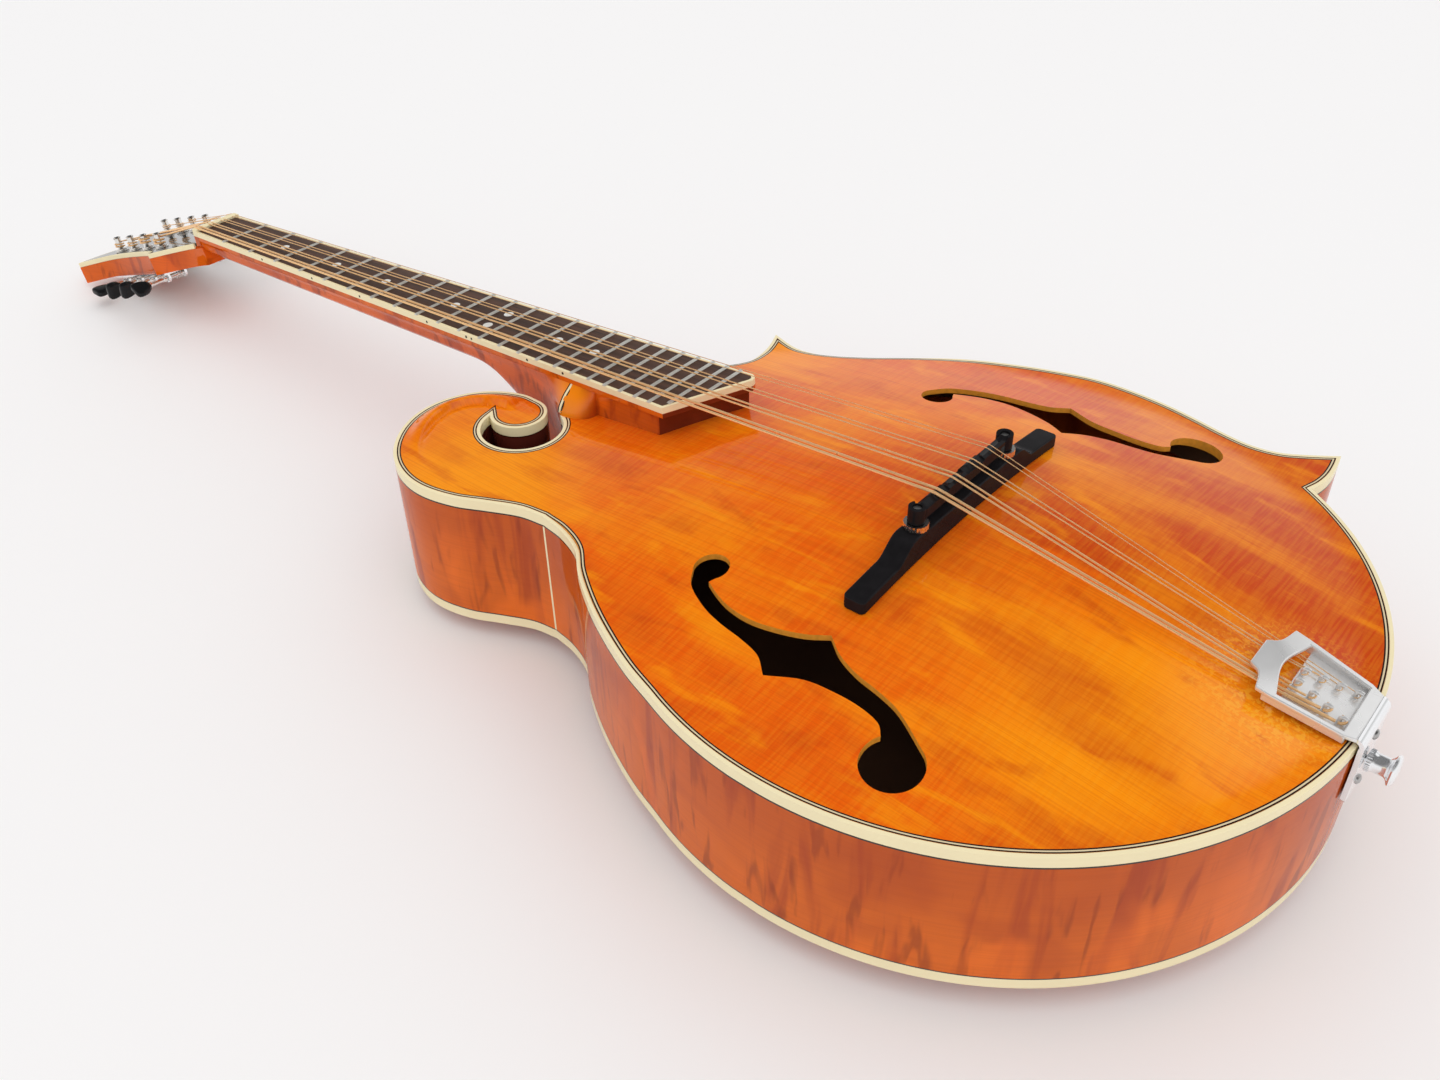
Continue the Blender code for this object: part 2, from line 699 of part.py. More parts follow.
def loft(sections, closed=False):
    """Closed solid through sections of equally many points."""
    build = bmesh.new()
    rings = [[build.verts.new(point) for point in section] for section in sections]
    count = len(rings[0])
    pairs = list(zip(rings, rings[1:]))
    if closed:
        pairs.append((rings[-1], rings[0]))
    for before, after in pairs:
        for i in range(count):
            j = (i + 1) % count
            build.faces.new((before[i], before[j], after[j], after[i]))
    if not closed:
        build.faces.new(rings[0][::-1])
        build.faces.new(rings[-1])
    return mesh_from(build)


def turned(profile, segments):
    """Solid turned about Z from a profile of radius and height that runs down its outer side."""
    sections = []
    for k in range(segments):
        turn = 2 * math.pi * k / segments
        sections.append([(r * math.cos(turn), r * math.sin(turn), z) for r, z in profile])
    if all(profile[i][0] > 0 for i in (0, -1)):
        return loft(sections, closed=True)
    build = bmesh.new()
    top = build.verts.new((0, 0, profile[0][1]))
    bottom = build.verts.new((0, 0, profile[-1][1]))
    rings = [[build.verts.new(point) for point in section[1:-1]] for section in sections]
    for before, after in zip(rings, rings[1:] + rings[:1]):
        build.faces.new((top, before[0], after[0]))
        build.faces.new((bottom, after[-1], before[-1]))
        for i in range(len(before) - 1):
            build.faces.new((before[i], before[i + 1], after[i + 1], after[i]))
    return mesh_from(build)


def combine(base, tool, operation):
    """Boolean of two meshes, as a mesh."""
    first = add_object("base", base, None, None, CUTTERS)
    second = add_object("tool", tool, None, None, CUTTERS)
    change = first.modifiers.new("change", "BOOLEAN")
    change.operation = operation
    change.solver = "EXACT"
    change.object = second
    bpy.context.view_layer.update()
    evaluated = first.evaluated_get(bpy.context.evaluated_depsgraph_get())
    result = bpy.data.meshes.new_from_object(evaluated)
    bpy.data.objects.remove(first)
    bpy.data.objects.remove(second)
    return result


def moved(mesh, matrix):
    """Copy of a mesh, moved."""
    copy = mesh.copy()
    copy.transform(matrix)
    return copy


def merged(meshes):
    """One mesh that holds several separate solids."""
    build = bmesh.new()
    for mesh in meshes:
        build.from_mesh(mesh)
    return mesh_from(build)


def tube(name, points, radius, material, parent=INSTRUMENT):
    """Round wire along points, as a curve with filled ends."""
    curve = bpy.data.curves.new(name, "CURVE")
    curve.dimensions = "3D"
    curve.bevel_depth = radius
    curve.bevel_resolution = 1
    curve.use_fill_caps = True
    spline = curve.splines.new("POLY")
    spline.points.add(len(points) - 1)
    for target, point in zip(spline.points, points):
        target.co = (*point, 1.0)
    curve.materials.append(material)
    item = bpy.data.objects.new(name, curve)
    PARTS.objects.link(item)
    item.parent = parent
    return item


# Body


def f_hole():
    """Outline of the treble f-hole."""
    inner_edge = curve_through(
        scaled([(105.5, 70.0), (110.0, 61.0), (113.5, 51.0), (115.0, 38.0), (113.0, 24.0), (109.0, 11.0)])
        + scaled([(103.8, 1.5)]),
        2,
    )
    lower_inner = curve_through(
        scaled([(103.8, 1.5), (110.5, -8.0), (115.0, -20.0), (117.5, -33.0), (121.0, -45.0)])
        + [
            (
                F_LARGE_EYE[0] + F_LARGE_EYE_RADIUS * math.cos(math.radians(205)),
                F_LARGE_EYE[1] + F_LARGE_EYE_RADIUS * math.sin(math.radians(205)),
            )
        ],
        2,
    )
    large_eye = arc(F_LARGE_EYE, F_LARGE_EYE_RADIUS, math.radians(205), math.radians(490), 12)
    lower_outer = curve_through(
        [large_eye[-1]] + scaled([(128.5, -42.0), (126.0, -31.0), (125.8, -18.0), (127.5, -3.0), (134.5, 12.5)]),
        2,
    )
    upper_outer = curve_through(
        scaled([(134.5, 12.5), (127.5, 21.0), (124.0, 33.0), (121.5, 47.0), (117.5, 60.0), (110.0, 73.5)])
        + [
            (
                F_SMALL_EYE[0] + F_SMALL_EYE_RADIUS * math.cos(math.radians(60)),
                F_SMALL_EYE[1] + F_SMALL_EYE_RADIUS * math.sin(math.radians(60)),
            )
        ],
        2,
    )
    small_eye = arc(F_SMALL_EYE, F_SMALL_EYE_RADIUS, math.radians(60), math.radians(325), 8)
    return join(inner_edge, lower_inner, large_eye, lower_outer, upper_outer, small_eye)


def plate_outline():
    """Edge of the soundboard and back, inside their bindings."""
    edge = offset_path(RIM_PATH, BINDING_WIDTH + GAP)
    edge = run_to(edge, JOINT_Y - GAP)[::-1]
    return run_to(edge, JOINT_Y - GAP)[::-1]


def make_soundboard():
    """Carved spruce top with its f-holes and scroll ridge."""
    edge = plate_outline()
    treble = f_hole()
    loops = [edge, treble, mirrored(treble)]
    inner = grid_inside(loops, 26 * MM, 6 * MM)
    for depth in (RIDGE_WIDTH * 0.25, RIDGE_WIDTH * 0.5, RIDGE_WIDTH * 0.75, RIDGE_WIDTH):
        rail = thinned(offset_path(SCROLL_EDGE[:-6], depth), 7 * MM)
        clear = distances(rail, edge, True) > 1.2 * MM
        inner = [p for p, good in zip(inner, distances(inner, rail) > 4 * MM) if good]
        inner += [p for p, good in zip(rail, clear & inside(rail, loops)) if good]
    mesh = between(loops, top_underside, top_surface, inner)
    add_object("soundboard", mesh, SPRUCE)


def make_back():
    """Carved maple back with the flat that it rests on."""
    edge = plate_outline()
    facet = arc((0.0, REST_Y), REST_FLAT_RADIUS, 0.0, 2 * math.pi * 11 / 12, 11)
    inner = grid_inside([edge], 34 * MM, 8 * MM)
    inner = [p for p in inner if math.dist(p, (0.0, REST_Y)) > 20 * MM]
    mesh = between([edge], back_outside, back_inside, inner + facet + [(0.0, REST_Y)])
    add_object("back", mesh, MAPLE)


def make_ribs():
    """Bent maple sides between the two bindings."""
    low = -RIM_DEPTH + BINDING_HEIGHT + GAP
    high = -BINDING_HEIGHT - GAP
    for name, path in (
        ("rib_scroll", SCROLL_EDGE),
        ("rib_bass", BASS_EDGE),
        ("rib_treble_lower", TREBLE_LOWER_EDGE),
        ("rib_treble_middle", TREBLE_MIDDLE_EDGE),
        ("rib_treble_upper", TREBLE_UPPER_EDGE),
    ):
        inner = offset_path(path, RIB_THICKNESS)
        clear = distances(inner, RIM_PATH) > 0.98 * RIB_THICKNESS
        inner = [point for point, good in zip(inner, clear) if good]
        if path[0] in RIB_JOINTS:
            inner = [mitred(path[0])] + inner[1:]
        if path[-1] in RIB_JOINTS:
            inner = inner[:-1] + [mitred(path[-1])]
        loop = shortened(path, GAP / 2) + shortened(inner, GAP / 2)[::-1]
        add_object(name, between([loop], low, high), MAPLE)


def mitred(joint):
    """Inner corner where two ribs meet at a point of the rim."""
    place = RIM_PATH.index(joint)
    before, here, after = (np.array(RIM_PATH[place + step]) for step in (-1, 0, 1))
    arriving = (here - before) / np.hypot(*(here - before))
    leaving = (after - here) / np.hypot(*(after - here))
    lefts = np.array([-arriving[1], arriving[0]]) + np.array([-leaving[1], leaving[0]])
    return tuple(here + RIB_THICKNESS * lefts / (1 + float(arriving @ leaving)))


def shortened(path, cut):
    """The path with a little cut from both ends."""
    first, second, previous, last = (np.array(p) for p in (path[0], path[1], path[-2], path[-1]))
    start = first + (second - first) / np.hypot(*(second - first)) * cut
    end = last + (previous - last) / np.hypot(*(previous - last)) * cut
    return [tuple(start)] + list(path[1:-1]) + [tuple(end)]


def make_bindings():
    """Cream binding round both plates."""
    loop = band(RIM_PATH, 0.0, BINDING_WIDTH)
    add_object("binding_top", between([loop], -BINDING_HEIGHT, 0.0), CREAM)
    add_object("binding_back", between([loop], -RIM_DEPTH, BINDING_HEIGHT - RIM_DEPTH), CREAM)


def block_curve():
    """Inner face of the neck block, from the bass side to the treble side."""
    return curve_through(
        scaled([(-112.0, 214.0), (-95.0, 200.0), (-62.0, 193.0), (-20.0, 190.0), (15.0, 190.0), (46.0, 200.0)]), 2
    )


def make_neck_block():
    """Block that holds the neck joint and fills the scroll."""
    behind_rib = RIB_THICKNESS + GAP
    scroll_side = [p for p in offset_path(SCROLL_EDGE, behind_rib) if p[1] > 216 * MM]
    scroll_side = [p for p in scroll_side if p[1] > BUTTON_CENTRE[1] or p[0] < BUTTON_CENTRE[0] - 40 * MM]
    shoulder = [p for p in offset_path(TREBLE_UPPER_EDGE, behind_rib) if p[0] < 52 * MM]
    shoulder = run_to(shoulder, JOINT_Y - GAP)
    start = (SLOT_WALL[0][0], JOINT_Y - GAP)
    loop = join([start] + SLOT_WALL[1:], BUTTON_EDGE[:-1]) + [
        (BUTTON_EDGE[-1][0], BUTTON_EDGE[-1][1] - GAP),
        (BUTTON_EDGE[-1][0] - behind_rib, BUTTON_EDGE[-1][1] - GAP),
    ]
    loop += scroll_side + block_curve() + shoulder
    add_object(
        "neck_block",
        between([loop], -RIM_DEPTH + BINDING_HEIGHT + GAP, -BINDING_HEIGHT - GAP),
        INNER_WOOD,
    )


def make_linings():
    """Strips that widen the gluing edge of the ribs."""
    path = join(BASS_EDGE[2:], TREBLE_LOWER_EDGE, TREBLE_MIDDLE_EDGE, TREBLE_UPPER_EDGE[:6])
    depth = RIB_THICKNESS + GAP
    outer = thinned(offset_path(path, depth), 4 * MM)
    inner = thinned(offset_path(path, depth + LINING_WIDTH), 8 * MM)
    loop = outer + inner[::-1]
    top = -BINDING_HEIGHT - GAP
    add_object("lining_top", between([loop], top - LINING_HEIGHT, top), INNER_WOOD)
    bottom = -RIM_DEPTH + BINDING_HEIGHT + GAP
    add_object("lining_back", between([loop], bottom, bottom + LINING_HEIGHT), INNER_WOOD)


def make_tail_block():
    """Block inside the tail that the tailpiece screws bite into."""
    spread = math.asin(TAIL_BLOCK_HALF_WIDTH / LOWER_BOUT_RADIUS)
    radius = LOWER_BOUT_RADIUS - RIB_THICKNESS - 2 * GAP
    outer = arc(BOUT_CENTRE, radius, 1.5 * math.pi - spread, 1.5 * math.pi + spread, 6)
    inner_y = TAIL_Y + RIB_THICKNESS + GAP + TAIL_BLOCK_LENGTH
    loop = outer + [(outer[-1][0], inner_y), (outer[0][0], inner_y)]
    reach = BINDING_HEIGHT + LINING_HEIGHT + 2 * GAP
    add_object("tail_block", between([loop], -RIM_DEPTH + reach, -reach), INNER_WOOD)


def make_tone_bars():
    """Two braces under the soundboard, splayed towards the tail."""
    for name, side in (("tone_bar_bass", -1), ("tone_bar_treble", 1)):
        head, tail = (30 * MM * side, 150 * MM), (46 * MM * side, -130 * MM)
        run = np.array(tail) - np.array(head)
        across = np.array([-run[1], run[0]]) / np.hypot(*run) * TONE_BAR_WIDTH / 2
        stations = [np.array(head) + run * k / 8 for k in range(9)]
        loop = [tuple(s + across) for s in stations] + [tuple(s - across) for s in stations[::-1]]

        def lower(x, y):
            share = min(1.0, 5 * (head[1] - y) / abs(run[1]), 5 * (y - tail[1]) / abs(run[1]))
            return top_underside(x, y) - GAP - TONE_BAR_HEIGHT * max(0.3, share)

        add_object(name, between([loop], lower, lambda x, y: top_underside(x, y) - GAP), INNER_WOOD)


def riser_section(y_bass, y_treble, top_half, foot_half):
    """One cross-section of the riser, square or slanted, from the bass top round the foot to the treble top."""
    sides = [(top_half, 1.0), ((top_half + 2 * foot_half) / 3, 0.62), (foot_half, 0.2), (foot_half, 0.0)]
    outline = [(-w, share) for w, share in sides] + [(-foot_half / 2, 0.0), (0.0, 0.0), (foot_half / 2, 0.0)]
    outline += [(w, share) for w, share in reversed(sides)]
    points = []
    for x, share in outline:
        y = y_bass + (y_treble - y_bass) * (x + RISER_HALF_WIDTH) / (2 * RISER_HALF_WIDTH)
        low = TOP_ARCH * arch_share(x, y) + 2 * GAP
        points.append((x, y, low + share * (board_underside(y) - GAP - low)))
    return points


def make_riser():
    """Support of the fingerboard over the soundboard, with the rounded shoulder of the heel at its start."""
    start = JOINT_Y - GAP
    length = 17 * MM
    flush = board_half_width((NUT_Y - JOINT_Y) / math.cos(NECK_ANGLE))
    sections = []
    for turn in (0.0, 0.35, 0.65, 0.87, 1.0):
        y = start - length * math.sin(turn * math.pi / 2)
        swell = math.cos(turn * math.pi / 2)
        top_half = RISER_HALF_WIDTH + (flush - RISER_HALF_WIDTH) * swell
        sections.append(riser_section(y, y, top_half, RISER_HALF_WIDTH + (HEEL_HALF_WIDTH - RISER_HALF_WIDTH) * swell))
    neck_end = start - length
    for share in (0.35, 0.7, 1.0):
        y_bass = neck_end + (RISER_END_BASS_Y - neck_end) * share
        y_treble = neck_end + (RISER_END_TREBLE_Y - neck_end) * share
        sections.append(riser_section(y_bass, y_treble, RISER_HALF_WIDTH, RISER_HALF_WIDTH))
    add_object("extension_riser", loft(sections), MAPLE)


# Neck and fingerboard


def smooth_step(value):
    """Rise from 0 to 1 without a corner at either end."""
    value = min(1.0, max(0.0, value))
    return value * value * (3 - 2 * value)


def heel_bottom(y):
    """Lowest height of the neck at a station."""
    along = (NUT_Y - y) / (NUT_Y - HEEL_START_Y)
    depth = NECK_DEPTH_AT_NUT + (NECK_DEPTH_AT_HEEL - NECK_DEPTH_AT_NUT) * min(1.0, along)
    plain = board_underside(y) - depth
    if y >= HEEL_START_Y:
        return plain
    drop = min(1.0, (HEEL_START_Y - y) / (HEEL_START_Y - HEEL_FOOT_Y))
    return plain + (-RIM_DEPTH - plain) * drop**2.6


def neck_section(y):
    """Cross-section of the neck at a station, from its bass edge round to its treble edge."""
    top = board_underside(y) - GAP
    bottom = heel_bottom(y)
    width = board_half_width((NUT_Y - y) / math.cos(NECK_ANGLE))
    heel = smooth_step((HEEL_START_Y - y) / (HEEL_START_Y - HEEL_FOOT_Y))
    flare = max(0.0, 1 - (y - JOINT_Y) / (34 * MM)) ** 2
    waist = HEEL_WAIST + (HEEL_HALF_WIDTH - HEEL_WAIST) * flare
    shoulder_depth = min(SHOULDER_DEPTH, 0.45 * (top - bottom))
    shoulder = top - shoulder_depth
    upper = (width + 2 * (0.89 * width + (waist - 0.89 * width) * heel)) / 3
    levels = [(width, top), (upper, top - 0.42 * shoulder_depth)]
    rest = bottom - shoulder
    for share, plain, heel_share in (
        (0.0, 0.89, 1.0),
        (0.22, 0.82, 0.94),
        (0.5, 0.69, 0.8),
        (0.78, 0.48, 0.6),
        (0.95, 0.24, 0.46),
    ):
        foot = HEEL_WAIST + (waist - HEEL_WAIST) * (1 - share)
        heel_width = max(foot * heel_share, HEEL_CAP_HALF_WIDTH)
        levels.append((plain * width + (heel_width - plain * width) * heel, shoulder + share * rest))
    half = [(-x, y, z) for x, z in levels]
    return half + [(0.0, y, bottom)] + [(-x, y, z) for x, y, z in reversed(half)]


def neck_into_head(distance):
    """Cross-section of the neck where it runs under the nut into the headstock, in the instrument's frame."""
    blend = smooth_step(distance / (26 * MM))
    width = BOARD_WIDTH_AT_NUT / 2 - 0.2 * MM
    start = neck_section(NUT_Y)
    points = []
    top = -OVERLAY_THICKNESS - GAP - 0.2 * MM
    for k, (x, _, z) in enumerate(start):
        share = k / (len(start) - 1)
        round_x = x
        square_x = -width * math.cos(math.pi * share) * 1.02
        square_x = max(-width, min(width, square_x * 1.25))
        depth = (start[0][2] - z) / (start[0][2] - start[len(start) // 2][2])
        head_z = top + (WOOD_BACK + 0.3 * MM - top) * min(1.0, depth * 1.1)
        plain_z = top - (start[0][2] - z) * 0.95
        point = Vector((round_x + (square_x - round_x) * blend, distance, plain_z + (head_z - plain_z) * blend))
        points.append(HEAD_TO_BODY @ point)
    return points


def post_places():
    """Post positions in the headstock's frame, bass side first, from the nut upwards."""
    return [(side * POST_X, FIRST_POST + k * POST_SPACING, side) for side in (-1, 1) for k in range(4)]


def post_holes(radius, segments=8):
    """Loops of the holes for the tuner posts."""
    last = 2 * math.pi * (segments - 1) / segments
    return [arc((x, y), radius, 0.0, last, segments - 1) for x, y, _ in post_places()]


def inset_head(amount):
    """Head outline moved inwards and cut off square behind the nut."""
    outline = head_outline()
    path = offset_path(outline, -amount) if amount else outline
    return [p for p in path if p[1] > HEAD_START + 1.5 * MM]


def squared(path):
    """Path closed across the head behind the nut."""
    return [(path[0][0], HEAD_START)] + path + [(path[-1][0], HEAD_START)]


def nut_seat(y):
    """Height of the nut's lower face, let into the wood of the head, in the board's frame."""
    return (HEAD_TO_BOARD @ Vector((0.0, y, -OVERLAY_THICKNESS - NUT_SLOT_DEPTH))).z


def make_neck():
    """Neck, heel and headstock of one piece of maple, with the truss rod's channel."""
    stations = [JOINT_Y + GAP, 241 * MM, 249 * MM, 258 * MM, HEEL_FOOT_Y, 276 * MM, 284 * MM, 293 * MM, 303 * MM]
    stations += [315 * MM, HEEL_START_Y, 400 * MM, 500 * MM, 590 * MM, NUT_Y - 20 * MM, NUT_Y - GAP]
    sections = [neck_section(y) for y in stations]
    sections += [neck_into_head(distance) for distance in (5 * MM, 15 * MM, 27 * MM)]
    neck = loft(sections)
    wood_top = -HEAD_BINDING_HEIGHT - GAP
    lower = between([head_outline(), *post_holes(POST_RADIUS + 2 * RUNNING_CLEARANCE)], WOOD_BACK, wood_top)
    core = squared(inset_head(HEAD_BINDING + GAP))
    upper = between(
        [core, *post_holes(POST_RADIUS + 2 * RUNNING_CLEARANCE)],
        wood_top - 1.5 * MM,
        -OVERLAY_THICKNESS - GAP,
    )
    head = combine(lower, upper, "UNION")
    neck = combine(neck, moved(head, HEAD_TO_BODY), "UNION")
    reach = ROD_RADIUS + ROD_CLEARANCE
    depth = BOARD_THICKNESS + GAP + 2 * reach
    start, end = -ROD_LENGTH - 2 * MM, -ROD_END + 2 * MM
    channel = between([[(-reach, start), (reach, start), (reach, end), (-reach, end)]], -depth, 0.0)
    neck = combine(neck, moved(channel, BOARD_TO_BODY), "DIFFERENCE")
    half = BOARD_WIDTH_AT_NUT
    slot = []
    for y in (-0.1 * MM, NUT_LENGTH + GAP):
        floor = nut_seat(y) - GAP
        slot.append([(x, y, z) for x, z in ((-half, floor), (half, floor), (half, 0.0), (-half, 0.0))])
    neck = combine(neck, moved(loft(slot), BOARD_TO_BODY), "DIFFERENCE")
    add_object("neck", neck, MAPLE)


def board_end_y(x):
    """Position of the slanted end of the fingerboard, in the board's frame."""
    half = board_half_width(NUT_Y - BOARD_END_BASS_Y)
    share = (x + half) / (2 * half)
    y = BOARD_END_BASS_Y + (BOARD_END_TREBLE_Y - BOARD_END_BASS_Y) * share
    return -(NUT_Y - y) / math.cos(NECK_ANGLE)


def board_edge():
    """Edge of the bound fingerboard, in its frame, from the treble side of the nut round to the bass side."""
    half_start = BOARD_WIDTH_AT_NUT / 2
    half_end = board_half_width(NUT_Y - BOARD_END_TREBLE_Y)
    half_bass = board_half_width(NUT_Y - BOARD_END_BASS_Y)
    centre = (half_end - BOARD_CORNER_RADIUS, board_end_y(half_end) + BOARD_CORNER_RADIUS * 1.35)
    slant = math.atan2(board_end_y(half_bass) - board_end_y(-half_bass), 2 * half_bass)
    corner = arc(centre, BOARD_CORNER_RADIUS, 0.0, -math.pi / 2 + slant, 4)
    return [(half_start, 0.0)] + corner + [(-half_bass, board_end_y(-half_bass)), (-half_start, 0.0)]


def fret_places():
    """Distance of each fret from the nut, with its bass and treble ends across the board."""
    half_end = board_half_width(NUT_Y - BOARD_END_BASS_Y)
    for number in range(1, FRET_COUNT + 1):
        distance = SCALE_LENGTH * (1 - 2 ** (-number / 12))
        half = board_half_width(distance)
        bass = -half
        while board_end_y(bass) > -distance - FRET_WIDTH and bass < half_end:
            bass += 0.5 * MM
        yield distance, bass, half


def make_fingerboard():
    """Rosewood board with its frets seated in it, and the cream binding round three sides."""
    edge = board_edge()
    inner = offset_path(edge, -(BOARD_BINDING + GAP))
    inner[0] = (inner[0][0], 0.0)
    inner[-1] = (inner[-1][0], 0.0)
    board = between([inner], -BOARD_THICKNESS, 0.0)
    frets = []
    for distance, bass, treble in fret_places():
        foot, crown = FRET_WIDTH / 2, FRET_WIDTH / 4
        profile = ((-foot, -FRET_SEAT), (foot, -FRET_SEAT), (crown, FRET_CROWN), (-crown, FRET_CROWN))
        sections = [[(x, y - distance, z) for y, z in profile] for x in (bass, treble)]
        frets.append(loft(sections))
    board = combine(board, merged(frets), "UNION")
    add_object("fingerboard", board, ROSEWOOD, BOARD_FRAME)
    strip = offset_path(edge, -BOARD_BINDING)
    strip[0] = (strip[0][0], 0.0)
    strip[-1] = (strip[-1][0], 0.0)
    binding = between([edge + strip[::-1]], -BOARD_THICKNESS, -FRET_SEAT - GAP)
    add_object("fingerboard_binding", binding, CREAM, BOARD_FRAME)


def string_places():
    """Each string's name, radius, places at the nut and saddle, and its tuner's side and number."""
    strings = []
    for course, (name, diameter) in enumerate(zip(STRING_NAMES, STRING_DIAMETERS)):
        share = -1 + 2 * course / 3
        side = -1 if course < 2 else 1
        for k, outward in ((1, side), (2, -side)):
            at_nut = share * STRING_SPREAD_AT_NUT + outward * PAIR_GAP_AT_NUT / 2
            at_saddle = share * STRING_SPREAD_AT_SADDLE + outward * PAIR_GAP_AT_SADDLE / 2
            order = (0 if course in (0, 3) else 2) + k - 1
            strings.append((f"string_{name}{k}", diameter / 2, at_nut, at_saddle, side, order))
    return strings


def make_nut():
    """Ivory-coloured nut, with a slot for each string."""
    half = BOARD_WIDTH_AT_NUT / 2
    notches = []
    for _, radius, x, _, _, _ in sorted(string_places(), key=lambda s: s[2]):
        side = radius + NUT_SLOT_CLEARANCE
        floor = STRING_HEIGHT_AT_NUT - NUT_SLOT_CLEARANCE
        notches += [(x - side, NUT_PROUD), (x - side, floor), (x + side, floor), (x + side, NUT_PROUD)]
    sections = []
    for y in (GAP, NUT_LENGTH):
        seat = nut_seat(y)
        profile = [(-half, seat), (-half, NUT_PROUD)] + notches + [(half, NUT_PROUD), (half, seat)]
        sections.append([(x, y, z) for x, z in profile])
    add_object("nut", loft(sections), CREAM, BOARD_FRAME)


def make_truss_rod():
    """Steel rod in the neck's channel."""
    centre = -BOARD_THICKNESS - 2 * GAP - ROD_RADIUS
    sections = []
    for y in (-ROD_LENGTH, -ROD_END):
        sections.append([(x, y, z) for x, z in circle((0.0, centre), ROD_RADIUS, 8)])
    add_object("truss_rod", loft(sections), STEEL, BOARD_FRAME)


def make_head_facing():
    """Black overlay with the bushings pressed into it, and its cream binding."""
    outer = squared(inset_head(0.0))
    ring_inner = squared(inset_head(HEAD_BINDING))
    core = squared(inset_head(HEAD_BINDING + GAP))
    binding = between([outer[1:-1] + ring_inner[1:-1][::-1]], -HEAD_BINDING_HEIGHT, 0.0)
    add_object("head_binding", binding, CREAM, HEAD_FRAME)
    holes = post_holes(POST_RADIUS + 2 * RUNNING_CLEARANCE)
    overlay = between([core, *holes], -OVERLAY_THICKNESS, 0.0)
    ring = between(
        [circle((0, 0), BUSHING_RADIUS, 8), circle((0, 0), POST_RADIUS + RUNNING_CLEARANCE, 8)],
        -BUSHING_SEAT,
        BUSHING_HEIGHT,
    )
    bushings = merged([moved(ring, Matrix.Translation((x, y, 0.0))) for x, y, _ in post_places()])
    add_object("head_overlay", combine(overlay, bushings, "UNION"), EBONY, HEAD_FRAME)


# Bridge


def rounded_bar(half_length, half_width, radius, steps):
    """Outline of a bar with rounded corners, centred on the saddle line."""
    loop = []
    for sx, sy, start in ((1, 1, 0.0), (-1, 1, 0.5), (-1, -1, 1.0), (1, -1, 1.5)):
        centre = (sx * (half_length - radius), BRIDGE_Y + sy * (half_width - radius))
        loop += arc(centre, radius, start * math.pi, (start + 0.5) * math.pi, steps)
    return loop


def bridge_top(x, y):
    """Upper face of the bridge base."""
    reach = abs(x)
    wing = BRIDGE_WING_THICKNESS + TOP_ARCH * arch_share(x, BRIDGE_Y) + GAP
    blend = smooth_step((reach - BRIDGE_SEAT_HALF_LENGTH) / (BRIDGE_WING_START - BRIDGE_SEAT_HALF_LENGTH))
    return BRIDGE_SEAT_HEIGHT + (wing - BRIDGE_SEAT_HEIGHT) * blend


def circle(centre, radius, segments):
    """Closed loop of a hole or a disc."""
    return arc(centre, radius, 0.0, 2 * math.pi * (segments - 1) / segments, segments - 1)


def make_bridge():
    """Ebony base with its posts, thumbwheels and the saddle that they carry."""
    loop = rounded_bar(BRIDGE_HALF_LENGTH, BRIDGE_WIDTH / 2, 2.5 * MM, 2)
    stations = [s * x * MM for x in (6, 18, 28, 37, 46, 49, 53, 57, 60, 65, 71, 78) for s in (-1, 1)]
    long_sides = [(x, BRIDGE_Y + s * BRIDGE_WIDTH / 2) for x in stations for s in (-1, 1)]
    loop = sorted(loop + long_sides, key=lambda p: math.atan2((p[1] - BRIDGE_Y) * 8, p[0]))
    holes = [circle((s * BRIDGE_POST_X, BRIDGE_Y), BRIDGE_POST_RADIUS + GAP, 10) for s in (-1, 1)]
    base = between([loop, *holes], lambda x, y: TOP_ARCH * arch_share(x, y) + GAP, bridge_top)
    add_object("bridge_base", base, EBONY)
    wheel_low = BRIDGE_SEAT_HEIGHT + GAP
    saddle_low = wheel_low + THUMBWHEEL_HEIGHT + GAP
    for name, side in (("bass", -1), ("treble", 1)):
        place = (side * BRIDGE_POST_X, BRIDGE_Y)
        foot = TOP_ARCH * arch_share(*place) + 2 * GAP
        post = turned([(0, SADDLE_EAR_TOP - 1 * MM), (BRIDGE_POST_RADIUS, SADDLE_EAR_TOP - 1 * MM),
                       (BRIDGE_POST_RADIUS, foot), (0, foot)], 10)
        item = add_object(f"bridge_post_{name}", post, STEEL)
        item.location = (*place, 0.0)
        rim = [
            (
                (THUMBWHEEL_RADIUS - (k % 2) * 0.35 * MM) * math.cos(math.pi * k / THUMBWHEEL_KNURLS),
                (THUMBWHEEL_RADIUS - (k % 2) * 0.35 * MM) * math.sin(math.pi * k / THUMBWHEEL_KNURLS),
            )
            for k in range(2 * THUMBWHEEL_KNURLS)
        ]
        bore = circle((0.0, 0.0), BRIDGE_POST_RADIUS + RUNNING_CLEARANCE, 10)
        wheel = between([rim, bore], 0.0, THUMBWHEEL_HEIGHT)
        item = add_object(f"thumbwheel_{name}", wheel, CHROME)
        item.location = (*place, wheel_low)
    make_saddle(saddle_low)


